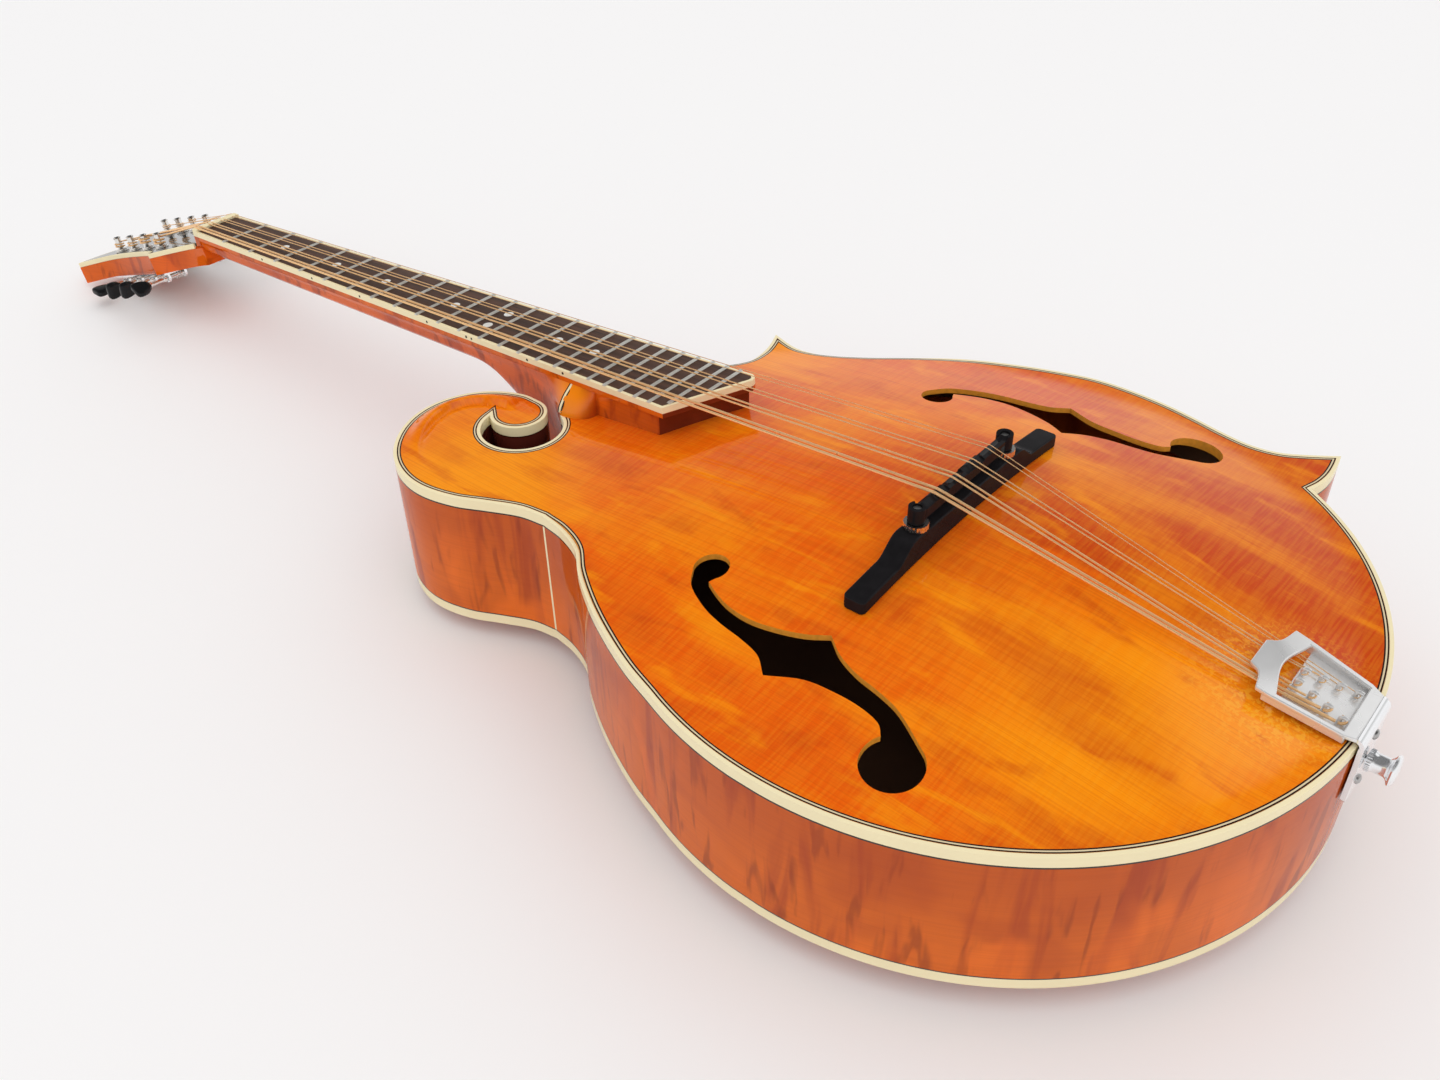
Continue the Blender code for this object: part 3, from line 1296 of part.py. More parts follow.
def make_saddle(low):
    """Saddle with a stepped crest and an ear round each post."""
    half = SADDLE_WIDTH / 2
    ear = math.asin(half / SADDLE_EAR_RADIUS)
    right = arc((BRIDGE_POST_X, BRIDGE_Y), SADDLE_EAR_RADIUS, ear - math.pi, math.pi - ear, 10)
    left = [(-x, y) for x, y in reversed(right)]
    inner_end = right[0][0]
    stations = [inner_end * s for s in (0.86, 0.6, 0.2, -0.2, -0.6, -0.86)]
    loop = right + [(x, BRIDGE_Y + half) for x in stations]
    loop += left[::-1][::-1] + [(x, BRIDGE_Y - half) for x in reversed(stations)]
    holes = [
        circle((s * BRIDGE_POST_X, BRIDGE_Y), BRIDGE_POST_RADIUS + RUNNING_CLEARANCE, 10) for s in (-1, 1)
    ]
    crest = STRING_HEIGHT_AT_SADDLE - max(STRING_DIAMETERS) / 2 - GAP
    ridge = [(x, BRIDGE_Y) for x in stations]

    def top(x, y):
        if abs(x) > abs(inner_end) - 0.5 * MM:
            return SADDLE_EAR_TOP
        edge = abs(y - BRIDGE_Y) / half
        return crest - 1.6 * MM * edge

    add_object("saddle", between([loop, *holes], low, top, ridge), EBONY)


# Tailpiece


def tailpiece_top(x, y):
    """Upper face of the tailpiece, falling towards the tail."""
    slope = (TAILPIECE_FRONT_HEIGHT - TAILPIECE_REAR_HEIGHT) / (SHIELD_CORNER_Y - TAIL_Y - 3.3 * MM)
    return TAILPIECE_FRONT_HEIGHT - slope * max(0.0, SHIELD_CORNER_Y - y)


SHIELD_SCALLOP = curve_through(
    [
        (SHIELD_TIP_HALF_WIDTH, SHIELD_TIP_Y),
        (SHIELD_TIP_HALF_WIDTH + 4.0 * MM, SHIELD_TIP_Y - 5.0 * MM),
        (SHIELD_CORNER_HALF_WIDTH, SHIELD_CORNER_Y),
    ],
    3,
)


def shield_front(x):
    """Position of the shield's front edge at a distance from the centre line."""
    return float(np.interp(x, [p[0] for p in SHIELD_SCALLOP], [p[1] for p in SHIELD_SCALLOP]))


def tray_low(x, y):
    """Underside of the tray between the tailpiece's rails, clear of the soundboard's edge."""
    return max(tailpiece_top(x, y) - TAILPIECE_SIDE_DEPTH, TAILPIECE_LIFT)


def tray_top(x, y):
    """Upper face of the tray, which the hooks stand on."""
    return tray_low(x, y) + TAILPIECE_FLOOR


def make_tailpiece():
    """Cast tailpiece: scalloped shield, open string window with hooks, and the plate down the tail."""
    outer_y = TAIL_Y - GAP - TAILPIECE_PLATE
    rear = TAILPIECE_REAR_HALF_WIDTH
    scallop = SHIELD_SCALLOP
    waist = (SHIELD_CORNER_HALF_WIDTH - 0.4 * MM, WINDOW_FRONT_Y)
    right = scallop + [waist, (rear + 3 * MM, WINDOW_REAR_Y), (rear, outer_y)]
    outline = [(-x, y) for x, y in right] + right[::-1]
    front_half = waist[0] - TAILPIECE_RAIL
    rear_half = rear + 3 * MM - TAILPIECE_RAIL
    bow = curve_through(
        [(front_half, WINDOW_FRONT_Y), (0.0, WINDOW_FRONT_Y + WINDOW_BOW), (-front_half, WINDOW_FRONT_Y)], 4
    )
    window = bow + [(-rear_half, WINDOW_REAR_Y), (rear_half, WINDOW_REAR_Y)]
    deck = between([outline, window], lambda x, y: tailpiece_top(x, y) - TAILPIECE_DECK, tailpiece_top)
    floor_front = WINDOW_FRONT_Y - 1.0 * MM
    floor_loop = [
        (-waist[0], floor_front),
        (-rear - 3 * MM, WINDOW_REAR_Y - 1.5 * MM),
        (rear + 3 * MM, WINDOW_REAR_Y - 1.5 * MM),
        (waist[0], floor_front),
    ]
    casting = between([floor_loop], tray_low, tray_top)
    for side in (-1, 1):
        rail = [
            (side * (waist[0] - 0.2 * MM), floor_front + 0.1 * MM),
            (side * (rear + 2.8 * MM), WINDOW_REAR_Y - 1.4 * MM),
            (side * (rear_half + 0.4 * MM), WINDOW_REAR_Y - 1.4 * MM),
            (side * (front_half + 0.4 * MM), floor_front + 0.1 * MM),
        ]
        wall = between(
            [rail],
            lambda x, y: tray_low(x, y) + 0.5 * MM,
            lambda x, y: tailpiece_top(x, y) - 0.5 * MM,
        )
        casting = combine(casting, wall, "UNION")
    casting = combine(casting, deck, "UNION")
    inner_y = TAIL_Y - GAP
    half = rear - 2.0 * MM
    corner = 3.0 * MM
    profile = [
        (-half, -TAILPIECE_DROP + corner),
        (-half + corner, -TAILPIECE_DROP),
        (half - corner, -TAILPIECE_DROP),
        (half, -TAILPIECE_DROP + corner),
        (rear - 0.2 * MM, -1.0 * MM),
        (rear - 0.2 * MM, TAILPIECE_REAR_HEIGHT - 0.6 * MM),
        (-rear + 0.2 * MM, TAILPIECE_REAR_HEIGHT - 0.6 * MM),
        (-rear + 0.2 * MM, -1.0 * MM),
    ]
    holes = [(STRAP_BUTTON_Z, 2.2 * MM)] + [(z, 1.7 * MM) for z in TAIL_SCREW_HEIGHTS]
    bores = [circle((0.0, z), radius, 8) for z, radius in holes]
    upright = Matrix.Translation((0.0, inner_y, 0.0)) @ Matrix.Rotation(math.pi / 2, 4, "X")
    plate = moved(between([profile, *bores], 0.0, TAILPIECE_PLATE), upright)
    casting = combine(casting, plate, "UNION")
    for x, y in hook_places():
        floor_top = tray_top(x, y)
        hook = between([circle((x, y), HOOK_RADIUS, 6)], floor_top - 0.5 * MM, floor_top + HOOK_HEIGHT)
        casting = combine(casting, hook, "UNION")
    add_object("tailpiece", casting, CHROME)


def hook_places():
    """Hooks in two rows that spread towards the tail, front pair first."""
    places = []
    for k in range(4):
        share = k / 3
        x = HOOK_FRONT[0] + (HOOK_REAR[0] - HOOK_FRONT[0]) * share
        y = HOOK_FRONT[1] + (HOOK_REAR[1] - HOOK_FRONT[1]) * share
        places += [(-x, y), (x, y)]
    return places


def make_strap_button():
    """Turned button on a stem that is screwed through the tail plate into the tail block."""
    outer = TAILPIECE_PLATE + GAP
    stem = 1.8 * MM
    length = STRAP_BUTTON_LENGTH
    profile = [
        (0.0, outer + length),
        (STRAP_BUTTON_RADIUS - 2.2 * MM, outer + length),
        (STRAP_BUTTON_RADIUS, outer + length - 1.2 * MM),
        (STRAP_BUTTON_RADIUS - 0.4 * MM, outer + length - 2.6 * MM),
        (3.2 * MM, outer + length - 5.0 * MM),
        (3.0 * MM, outer + 3.5 * MM),
        (4.6 * MM, outer + 2.6 * MM),
        (4.6 * MM, outer + GAP),
        (stem, outer + GAP),
        (stem, GAP),
        (0.0, GAP),
    ]
    item = add_object("strap_button", turned(profile, 16), CHROME)
    item.rotation_euler = (math.pi / 2, 0.0, 0.0)
    item.location = (0.0, TAIL_Y - GAP, STRAP_BUTTON_Z)


def make_tail_screws():
    """Round-headed screws in the tail plate."""
    head = TAILPIECE_PLATE + GAP
    profile = [
        (0.0, head + 1.3 * MM),
        (TAIL_SCREW_RADIUS * 0.6, head + 1.1 * MM),
        (TAIL_SCREW_RADIUS, head + GAP),
        (1.3 * MM, head + GAP),
        (1.3 * MM, GAP),
        (0.0, GAP),
    ]
    form = turned(profile, 10)
    for name, z in zip(("upper", "lower"), TAIL_SCREW_HEIGHTS):
        screw = add_object(f"tailpiece_screw_{name}", form.copy(), STEEL)
        screw.rotation_euler = (math.pi / 2, 0.0, 0.0)
        screw.location = (0.0, TAIL_Y - GAP, z)


# Tuners


def gear_outline():
    """Outline of the gear wheel, with a tooth gap towards the nut."""
    half_tip = 0.175 * MM
    half_root = (PITCH / 2 - TOOTH_BACKLASH) / 2 + 0.16 * MM
    tip = GEAR_RADIUS + GEAR_MODULE
    root = GEAR_RADIUS - 1.2 * GEAR_MODULE
    loop = []
    for k in range(GEAR_TEETH):
        middle = -math.pi / 2 + (k + 0.5) * 2 * math.pi / GEAR_TEETH
        for radius, half in ((root, -half_root), (tip, -half_tip), (tip, half_tip), (root, half_root)):
            angle = middle + half / radius
            loop.append((radius * math.cos(angle), radius * math.sin(angle)))
    return loop


def post_mesh():
    """Tuner post with its gear wheel, standing on the headstock's face."""
    gear_low = WORM_Z - GEAR_THICKNESS / 2
    gear_high = WORM_Z + GEAR_THICKNESS / 2
    shaft = turned(
        [
            (0.0, POST_HEIGHT),
            (POST_RADIUS - 0.3 * MM, POST_HEIGHT),
            (POST_RADIUS, POST_HEIGHT - 0.7 * MM),
            (CAPSTAN_RADIUS, POST_HEIGHT - 1.1 * MM),
            (CAPSTAN_RADIUS, BUSHING_HEIGHT + GAP),
            (POST_RADIUS, BUSHING_HEIGHT),
            (POST_RADIUS, gear_high),
            (1.6 * MM, gear_low - 1.0 * MM),
            (0.0, gear_low - 1.0 * MM),
        ],
        8,
    )
    gear = between([gear_outline()], gear_low, gear_high)
    return combine(gear, shaft, "UNION")


def worm_mesh():
    """Worm, shaft and button along X, with the post at the origin."""
    root = WORM_RADIUS - 0.7 * MM
    half = WORM_TURNS * PITCH / 2
    shaft = turned(
        [
            (0.0, BUTTON_MIDDLE),
            (WORM_SHAFT_RADIUS, BUTTON_MIDDLE),
            (WORM_SHAFT_RADIUS, half + 0.8 * MM),
            (root, half + 0.5 * MM),
            (root, INNER_BEARING + BEARING_SHEET + GAP),
            (WORM_SHAFT_RADIUS, INNER_BEARING + BEARING_SHEET + GAP),
            (WORM_SHAFT_RADIUS, INNER_BEARING - 0.5 * MM),
            (0.0, INNER_BEARING - 0.5 * MM),
        ],
        6,
    )
    sections = []
    steps = int(WORM_TURNS * THREAD_POINTS)
    for k in range(steps + 1):
        turn = 2 * math.pi * (k / THREAD_POINTS - WORM_TURNS / 2)
        across = (turn - math.pi / 2) / (2 * math.pi) * PITCH
        section = []
        for radius, shift in ((root - 0.4 * MM, -0.5), (WORM_RADIUS + 0.5 * MM, -0.17),
                              (WORM_RADIUS + 0.5 * MM, 0.17), (root - 0.4 * MM, 0.5)):
            section.append((radius * math.cos(turn), radius * math.sin(turn), across + shift * MM))
        sections.append(section)
    screw = combine(shaft, loft(sections), "UNION")
    screw = moved(screw, Matrix.Rotation(math.pi / 2, 4, "Y"))
    rings = []
    for share, grow, thick in ((-1.0, 0.35, 0.8), (-0.72, 0.6, 1.0), (-0.1, 0.95, 1.0), (0.55, 1.0, 1.0),
                               (0.9, 0.85, 0.95), (1.0, 0.6, 0.6)):
        x = BUTTON_MIDDLE + share * PEG_LENGTH / 2
        wide, deep = PEG_WIDTH / 2 * grow, PEG_THICKNESS / 2 * thick
        rings.append(
            [(x, wide * sy, deep * sz) for sy, sz in
             ((-1, -0.5), (-0.8, -1), (0.8, -1), (1, -0.5), (1, 0.5), (0.8, 1), (-0.8, 1), (-1, 0.5))]
        )
    return combine(screw, loft(rings), "UNION")


def tuner_plate(side):
    """Back plate of one side's tuners, with a bearing for each worm shaft."""
    first = FIRST_POST - PLATE_MARGIN
    last = FIRST_POST + 3 * POST_SPACING + PLATE_MARGIN
    centre = side * (POST_X + 1.5 * MM)
    low, high = centre - PLATE_HALF_WIDTH, centre + PLATE_HALF_WIDTH
    clip = 4 * MM
    loop = [(low + clip, first), (high - clip, first), (high, first + clip), (high, last - clip)]
    loop += [(high - clip, last), (low + clip, last), (low, last - clip), (low, first + clip)]
    holes = [
        circle((side * POST_X, FIRST_POST + k * POST_SPACING), POST_RADIUS + RUNNING_CLEARANCE, 8)
        for k in range(4)
    ]
    plate = between([loop, *holes], PLATE_BACK, WOOD_BACK - GAP)
    size = WORM_SHAFT_RADIUS + RUNNING_CLEARANCE + 1.4 * MM
    for k in range(4):
        y = FIRST_POST + k * POST_SPACING - WORM_OFFSET
        outline = [(y - size, WORM_Z - size), (y + size, WORM_Z - size)]
        outline += [(y + size, PLATE_BACK + 0.5 * MM), (y - size, PLATE_BACK + 0.5 * MM)]
        bore = circle((y, WORM_Z), WORM_SHAFT_RADIUS + RUNNING_CLEARANCE, 6)
        for place in (INNER_BEARING, OUTER_BEARING):
            middle = side * (POST_X + place + BEARING_SHEET / 2)
            upright = Matrix(
                ((0, 0, 1, middle - BEARING_SHEET / 2), (1, 0, 0, 0), (0, 1, 0, 0), (0, 0, 0, 1))
            )
            bearing = moved(between([outline, bore], 0.0, BEARING_SHEET), upright)
            plate = combine(plate, bearing, "UNION")
    return plate


def make_tuners():
    """Two plates of four geared tuners."""
    for name, side in (("bass", -1), ("treble", 1)):
        add_object(f"tuner_plate_{name}", tuner_plate(side), CHROME, HEAD_FRAME)
    post = post_mesh()
    worm = worm_mesh()
    level = NECK_ANGLE + HEAD_ANGLE + REST_PITCH
    for k, (x, y, side) in enumerate(post_places()):
        number = k % 4 + 1
        turn = side * (PEG_TURNS + (level,))[k % 4]
        label = "bass" if side < 0 else "treble"
        wheel = add_object(f"tuner_post_{label}_{number}", post, CHROME, HEAD_FRAME)
        half_tooth = 0.0 if side > 0 else math.pi / GEAR_TEETH
        wheel.location = (x, y, 0.0)
        wheel.rotation_euler = (0.0, 0.0, half_tooth - side * turn / GEAR_TEETH)
        peg = add_object(f"tuner_button_{label}_{number}", worm, BLACK_PLASTIC, HEAD_FRAME)
        peg.location = (x, y - WORM_OFFSET, WORM_Z)
        heading = Matrix.Rotation(0.0 if side > 0 else math.pi, 4, "Z")
        peg.rotation_euler = (heading @ Matrix.Rotation(turn, 4, "X")).to_euler()


# Strings


def wrap_height(order):
    """Height of the incoming string on its post; the next post's string passes over the first."""
    return WRAP_HEIGHTS[order]


def make_strings():
    """Each string from its hook under the shield, over saddle and nut, and round its post."""
    hooks = hook_places()
    for index, (name, radius, at_nut, at_saddle, side, order) in enumerate(string_places()):
        hook_x, hook_y = hooks[2 * (3 - order) + (0 if side < 0 else 1)]
        outward = side * (HOOK_RADIUS + radius + GAP)
        floor_top = tray_top(hook_x, hook_y)
        hook_end = Vector((hook_x + outward, hook_y + 1 * MM, floor_top + HOOKED_HEIGHT + radius))
        under_x = hook_end.x * 0.8 + at_saddle * 0.2
        under_y = shield_front(abs(under_x)) - 0.5 * MM
        under_z = TAILPIECE_FRONT_HEIGHT - TAILPIECE_DECK - GAP - radius
        saddle = Vector((at_saddle, BRIDGE_Y, STRING_HEIGHT_AT_SADDLE))
        front = BOARD_TO_BODY @ Vector((at_nut, 0.0, STRING_HEIGHT_AT_NUT + radius))
        behind = BOARD_TO_BODY @ Vector((at_nut, NUT_LENGTH, STRING_HEIGHT_AT_NUT + radius))
        points = [hook_end, Vector((under_x, under_y, under_z)), saddle, front, behind]
        place = [p for p in post_places() if p[2] == side][order]
        reach = CAPSTAN_RADIUS + radius + WRAP_CLEARANCE / 2
        top = wrap_height(order)
        pitch = 2 * radius + WRAP_CLEARANCE
        start = math.pi if side > 0 else 0.0
        for k in range(STRING_WRAPS * WRAP_POINTS + 1):
            turn = start - side * 2 * math.pi * k / WRAP_POINTS
            height = top - pitch * k / WRAP_POINTS
            wrap = Vector((place[0] + reach * math.cos(turn), place[1] + reach * math.sin(turn), height))
            points.append(HEAD_TO_BODY @ wrap)
        tube(name, points, radius, BRONZE)


make_soundboard()
make_back()
make_ribs()
make_bindings()
make_neck_block()
make_linings()
make_tail_block()
make_tone_bars()
make_riser()
make_neck()
make_fingerboard()
make_nut()
make_truss_rod()
make_head_facing()
make_bridge()
make_tailpiece()
make_strap_button()
make_tail_screws()
make_tuners()
make_strings()
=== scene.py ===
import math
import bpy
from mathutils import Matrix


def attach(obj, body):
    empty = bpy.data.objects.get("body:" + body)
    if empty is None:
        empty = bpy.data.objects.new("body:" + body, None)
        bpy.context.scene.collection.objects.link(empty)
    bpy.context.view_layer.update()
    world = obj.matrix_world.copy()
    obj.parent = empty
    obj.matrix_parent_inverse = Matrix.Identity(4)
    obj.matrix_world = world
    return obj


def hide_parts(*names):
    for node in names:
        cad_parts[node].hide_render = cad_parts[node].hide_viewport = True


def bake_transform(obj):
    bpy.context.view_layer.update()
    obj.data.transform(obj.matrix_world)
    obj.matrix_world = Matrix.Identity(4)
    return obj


bl_info = {
    "name": "Mandocello",
    "version": (1, 0, 0),
    "blender": (4, 5, 0),
    "location": "View3D > Sidebar > Mandocello",
    "description": "Lacquered wood, bindings, strings and metalwork of a scroll mandocello",
    "category": "Object",
}

import bmesh
import bpy
import numpy as np
from bpy.props import FloatProperty, FloatVectorProperty, IntProperty, PointerProperty
from mathutils import Matrix, Vector
from mathutils.geometry import delaunay_2d_cdt

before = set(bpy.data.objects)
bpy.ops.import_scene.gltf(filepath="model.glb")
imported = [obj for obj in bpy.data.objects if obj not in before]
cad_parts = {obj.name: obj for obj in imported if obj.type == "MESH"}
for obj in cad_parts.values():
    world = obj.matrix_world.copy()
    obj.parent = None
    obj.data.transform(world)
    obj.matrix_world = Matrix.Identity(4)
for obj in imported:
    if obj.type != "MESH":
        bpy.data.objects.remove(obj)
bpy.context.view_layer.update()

MM = 0.001

# The instrument's own frame: origin where the scale length ends, in the plane of the rim's top,
# Y to the head, Z out of the top
REST_PITCH = math.radians(0.9249)
REST_POINT = Vector((0.0, 13.75 * MM, -95.6757 * MM))
SCALE_LENGTH = 628.65 * MM
NECK_ANGLE = math.radians(4.06)
HEAD_ANGLE = math.radians(14.14)
BOARD_HEIGHT = 38.3 * MM
HEAD_DROP = 8.3 * MM
NUT_Y = SCALE_LENGTH * math.cos(NECK_ANGLE)
NUT_Z = BOARD_HEIGHT - SCALE_LENGTH * math.sin(NECK_ANGLE)

REST_TURN = Matrix.Rotation(-REST_PITCH, 4, "X")
INSTRUMENT = Matrix.Translation(-(REST_TURN @ REST_POINT)) @ REST_TURN
BOARD_TO_BODY = Matrix.Translation((0.0, NUT_Y, NUT_Z)) @ Matrix.Rotation(-NECK_ANGLE, 4, "X")
HEAD_TO_BOARD = Matrix.Translation((0.0, 0.0, -HEAD_DROP)) @ Matrix.Rotation(-HEAD_ANGLE, 4, "X")
HEAD_TO_BODY = BOARD_TO_BODY @ HEAD_TO_BOARD

# Body
RIM_DEPTH = 82.0 * MM
BINDING_WIDTH = 2.0 * MM
BINDING_HEIGHT = 6.0 * MM
RIB_THICKNESS = 3.0 * MM
TOP_ARCH = 19.0 * MM
BACK_ARCH = 14.0 * MM
ARCH_HALF_WIDTH = 171.0 * MM
ARCH_UPPER_LENGTH = 240.0 * MM
ARCH_POWER = 1.2
PLATE_THICKNESS = 4.5 * MM
TOP_THICKNESS = 3.0 * MM
LOWER_BOUT_RADIUS = 181.0 * MM
RIM_REACH = 180.87 * MM
LOWER_BOUT_Y = -14.0 * MM
BOUT_CENTRE = (0.0, LOWER_BOUT_Y)
TAIL_Y = LOWER_BOUT_Y - LOWER_BOUT_RADIUS
JOINT_Y = 235.0 * MM
RIDGE_HEIGHT = 4.5 * MM
SLOT_CENTRE = (-58.2 * MM, 243.2 * MM)
SLOT_RADIUS = 22.8 * MM
BUTTON_CENTRE = (-49.4 * MM, 255.2 * MM)
BUTTON_RADIUS = 16.0 * MM
HEEL_HALF_WIDTH = -SLOT_CENTRE[0] - math.sqrt(SLOT_RADIUS**2 - (JOINT_Y - SLOT_CENTRE[1]) ** 2)
GAP = 0.3 * MM

# Carving of the scroll: shares of the way across its ridge, and where ridge and crease fade out
RIDGE_FOOT = 0.22
RIDGE_RISE = 0.5
RIDGE_WALL = 0.16
RIDGE_SHARE = 0.8
RIDGE_START_X = -118 * MM
RIDGE_FADE = 38 * MM
CREASE_WIDTH = 1.6 * MM
CREASE_START_X = -113 * MM
CREASE_FADE = 22 * MM

# Limits of the mesh makers
MITRE_LIMIT = 0.12
KEPT_SHARE = 0.98
PLAN_TOLERANCE = 1e-6
SLIVER_AREA = 2e-10
ROW_SPACING = 0.87


# Settings that a user would change


def length_setting(name, description, default):
    """A length that a user can change."""
    return FloatProperty(name=name, description=description, default=default, unit="LENGTH")


def colour_setting(name, description, default):
    """A colour that a user can change."""
    return FloatVectorProperty(name=name, description=description, subtype="COLOR", default=default)


class MandocelloSizes(bpy.types.PropertyGroup):
    """Sizes of the small pieces that the frame leaves open."""

    fret_crown: length_setting("Fret Crown", "Height of a fret", 1.0 * MM)
    fret_width: length_setting("Fret Width", "Width of a fret", 2.2 * MM)
    dot_radius: length_setting("Dot Radius", "Radius of a pearl dot", 3.0 * MM)
    purfling_width: length_setting("Purfling Width", "Width of the lines inside the binding", 2.1 * MM)
    crease_depth: length_setting("Crease Depth", "Depth of the carved line inside the scroll", 0.8 * MM)
    top_spacing: length_setting("Top Spacing", "Spacing of the soundboard's points", 4.5 * MM)
    wire_sides: IntProperty(name="Wire Sides", description="Sides of a string", default=8, min=6, max=16)


class MandocelloColours(bpy.types.PropertyGroup):
    """Colours of the finishes."""

    golden_top: colour_setting("Golden Stain", "Lightest stain of the top", (1.0, 0.31, 0.004))
    orange_top: colour_setting("Orange Stain", "Main stain of the top", (0.84, 0.118, 0.003))
    red_top: colour_setting("Red Stain", "Reddest stain of the top", (0.56, 0.055, 0.005))
    maple: colour_setting("Maple", "Stain of the sides", (0.66, 0.125, 0.007))
    maple_flame: colour_setting("Maple Flame", "Dark streaks of the sides", (0.36, 0.042, 0.006))
    cream: colour_setting("Cream", "Bindings", (0.89, 0.78, 0.50))
    rosewood: colour_setting("Rosewood", "Fingerboard", (0.085, 0.036, 0.020))
    ebony: colour_setting("Ebony", "Bridge", (0.012, 0.011, 0.012))
    bronze: colour_setting("Bronze", "Strings", (1.0, 0.62, 0.30))


class StudioSettings(bpy.types.PropertyGroup):
    """Camera and light."""

    lens: FloatProperty(name="Lens", description="Focal length in millimetres", default=33.015)
    sky_strength: FloatProperty(name="Sky", description="Strength of the even light", default=0.83)
    key_strength: FloatProperty(name="Key", description="Strength of the main lamp", default=0.52)
    fill_strength: FloatProperty(name="Fill", description="Strength of the fill lamp", default=0.16)
    floor_colour: colour_setting("Floor", "Floor colour", (0.935, 0.925, 0.925))
    backdrop_colour: colour_setting("Backdrop", "Colour behind the floor", (0.925, 0.91, 0.915))


# Plan curves


def angle_at(centre, point):
    """Direction of a point from a centre."""
    return math.atan2(point[1] - centre[1], point[0] - centre[0])


def arc(centre, radius, start, end, steps):
    """Points on a circle from one angle to another, with both ends."""
    turn = (end - start) / steps
    return [
        (centre[0] + radius * math.cos(start + turn * i), centre[1] + radius * math.sin(start + turn * i))
        for i in range(steps + 1)
    ]


def circle(centre, radius, segments):
    """Closed loop round a centre."""
    return arc(centre, radius, 0.0, 2 * math.pi * (segments - 1) / segments, segments - 1)


def curve_through(knots, steps):
    """Smooth curve through the knots, with both ends."""
    ends = [2 * np.array(knots[0]) - knots[1], 2 * np.array(knots[-1]) - knots[-2]]
    guides = [ends[0], *[np.array(knot) for knot in knots], ends[1]]
    points = []
    for a, b, c, d in zip(guides, guides[1:], guides[2:], guides[3:]):
        for i in range(steps):
            t = i / steps
            bend = 2 * b + (c - a) * t + (2 * a - 5 * b + 4 * c - d) * t**2
            points.append(tuple((bend + (3 * b - a - 3 * c + d) * t**3) / 2))
    return points + [tuple(knots[-1])]


def scaled(knots):
    """Knots written in millimetres, in metres."""
    return [(x * MM, y * MM) for x, y in knots]


def join(*paths):
    """One path from several that meet end to end."""
    joined = list(paths[0])
    for path in paths[1:]:
        joined += path[1:]
    return joined


def mirrored(path):
    """The path on the other side of the centre line, run the same way round."""
    return [(-x, y) for x, y in reversed(path)]


def distances(points, path, closed=False):
    """Least distance from each point to a path."""
    points = np.asarray(points, float)
    starts = np.asarray(path, float)
    ends = np.roll(starts, -1, axis=0)
    if not closed:
        starts, ends = starts[:-1], ends[:-1]
    least = np.full(len(points), np.inf)
    for start, end in zip(starts, ends):
        run = end - start
        length = float(run @ run)
        along = np.clip((points - start) @ run / length, 0, 1) if length else np.zeros(len(points))
        least = np.minimum(least, np.hypot(*(points - start - along[:, None] * run).T))
    return least


def mitred(path, distance, closed=False):
    """The path moved to its left by a distance, point for point."""
    points = np.asarray(path, float)
    before = points - np.roll(points, 1, axis=0)
    after = np.roll(points, -1, axis=0) - points
    if not closed:
        before[0], after[-1] = after[0], before[-1]
    before /= np.hypot(*before.T)[:, None]
    after /= np.hypot(*after.T)[:, None]
    lefts = np.stack([-before[:, 1] - after[:, 1], before[:, 0] + after[:, 0]], 1)
    stretch = 1 + (before * after).sum(1)
    return [tuple(p) for p in points + distance * lefts / np.maximum(stretch, MITRE_LIMIT)[:, None]]


def offset_path(path, distance, closed=False):
    """The path moved to its left and trimmed where it would cross itself."""
    moved = mitred(path, distance, closed)
    keep = distances(moved, path, closed) > abs(distance) * KEPT_SHARE
    return [point for point, good in zip(moved, keep) if good]


def run_to(path, y):
    """The path with its last stretch lengthened or cut to end at a given Y."""
    (x1, y1), (x2, y2) = path[-2:]
    return path[:-1] + [(x2 + (x2 - x1) * (y - y2) / (y2 - y1), y)]


def thinned(path, spacing):
    """The path with its points no closer than the spacing."""
    kept = [path[0]]
    for point in path[1:]:
        if math.dist(point, kept[-1]) >= spacing:
            kept.append(point)
    return kept


def crossing(centre_a, radius_a, centre_b, radius_b, side):
    """Where two circles cross, on one side of the line between their centres."""
    reach = math.dist(centre_a, centre_b)
    along = (reach**2 + radius_a**2 - radius_b**2) / (2 * reach)
    across = side * math.sqrt(radius_a**2 - along**2)
    ux, uy = (centre_b[0] - centre_a[0]) / reach, (centre_b[1] - centre_a[1]) / reach
    return (centre_a[0] + along * ux - across * uy, centre_a[1] + along * uy + across * ux)


HEEL_CORNER = (-HEEL_HALF_WIDTH, JOINT_Y)
SLOT_END = crossing(BUTTON_CENTRE, BUTTON_RADIUS, SLOT_CENTRE, SLOT_RADIUS, -1)
SLOT_WALL = arc(
    SLOT_CENTRE,
    SLOT_RADIUS,
    angle_at(SLOT_CENTRE, HEEL_CORNER),
    angle_at(SLOT_CENTRE, SLOT_END) - 2 * math.pi,
    48,
)
BUTTON_EDGE = arc(BUTTON_CENTRE, BUTTON_RADIUS, angle_at(BUTTON_CENTRE, SLOT_END), 2 * math.pi, 33)
WAIST = (-109.6 * MM, 174.0 * MM)
SCROLL_EDGE = curve_through(
    [BUTTON_EDGE[-1]]
    + scaled([(-34.0, 267.4), (-40.8, 282.0), (-52.3, 293.1), (-67.7, 299.6), (-84.0, 300.0)])
    + scaled([(-100.0, 294.5), (-114.5, 284.0), (-124.5, 271.0), (-130.2, 255.6), (-131.1, 240.0)])
    + scaled([(-127.0, 222.0), (-119.5, 206.0), (-112.0, 189.0)])
    + [WAIST],
    6,
)
BOUT_JOIN_ANGLE = math.radians(160.1)
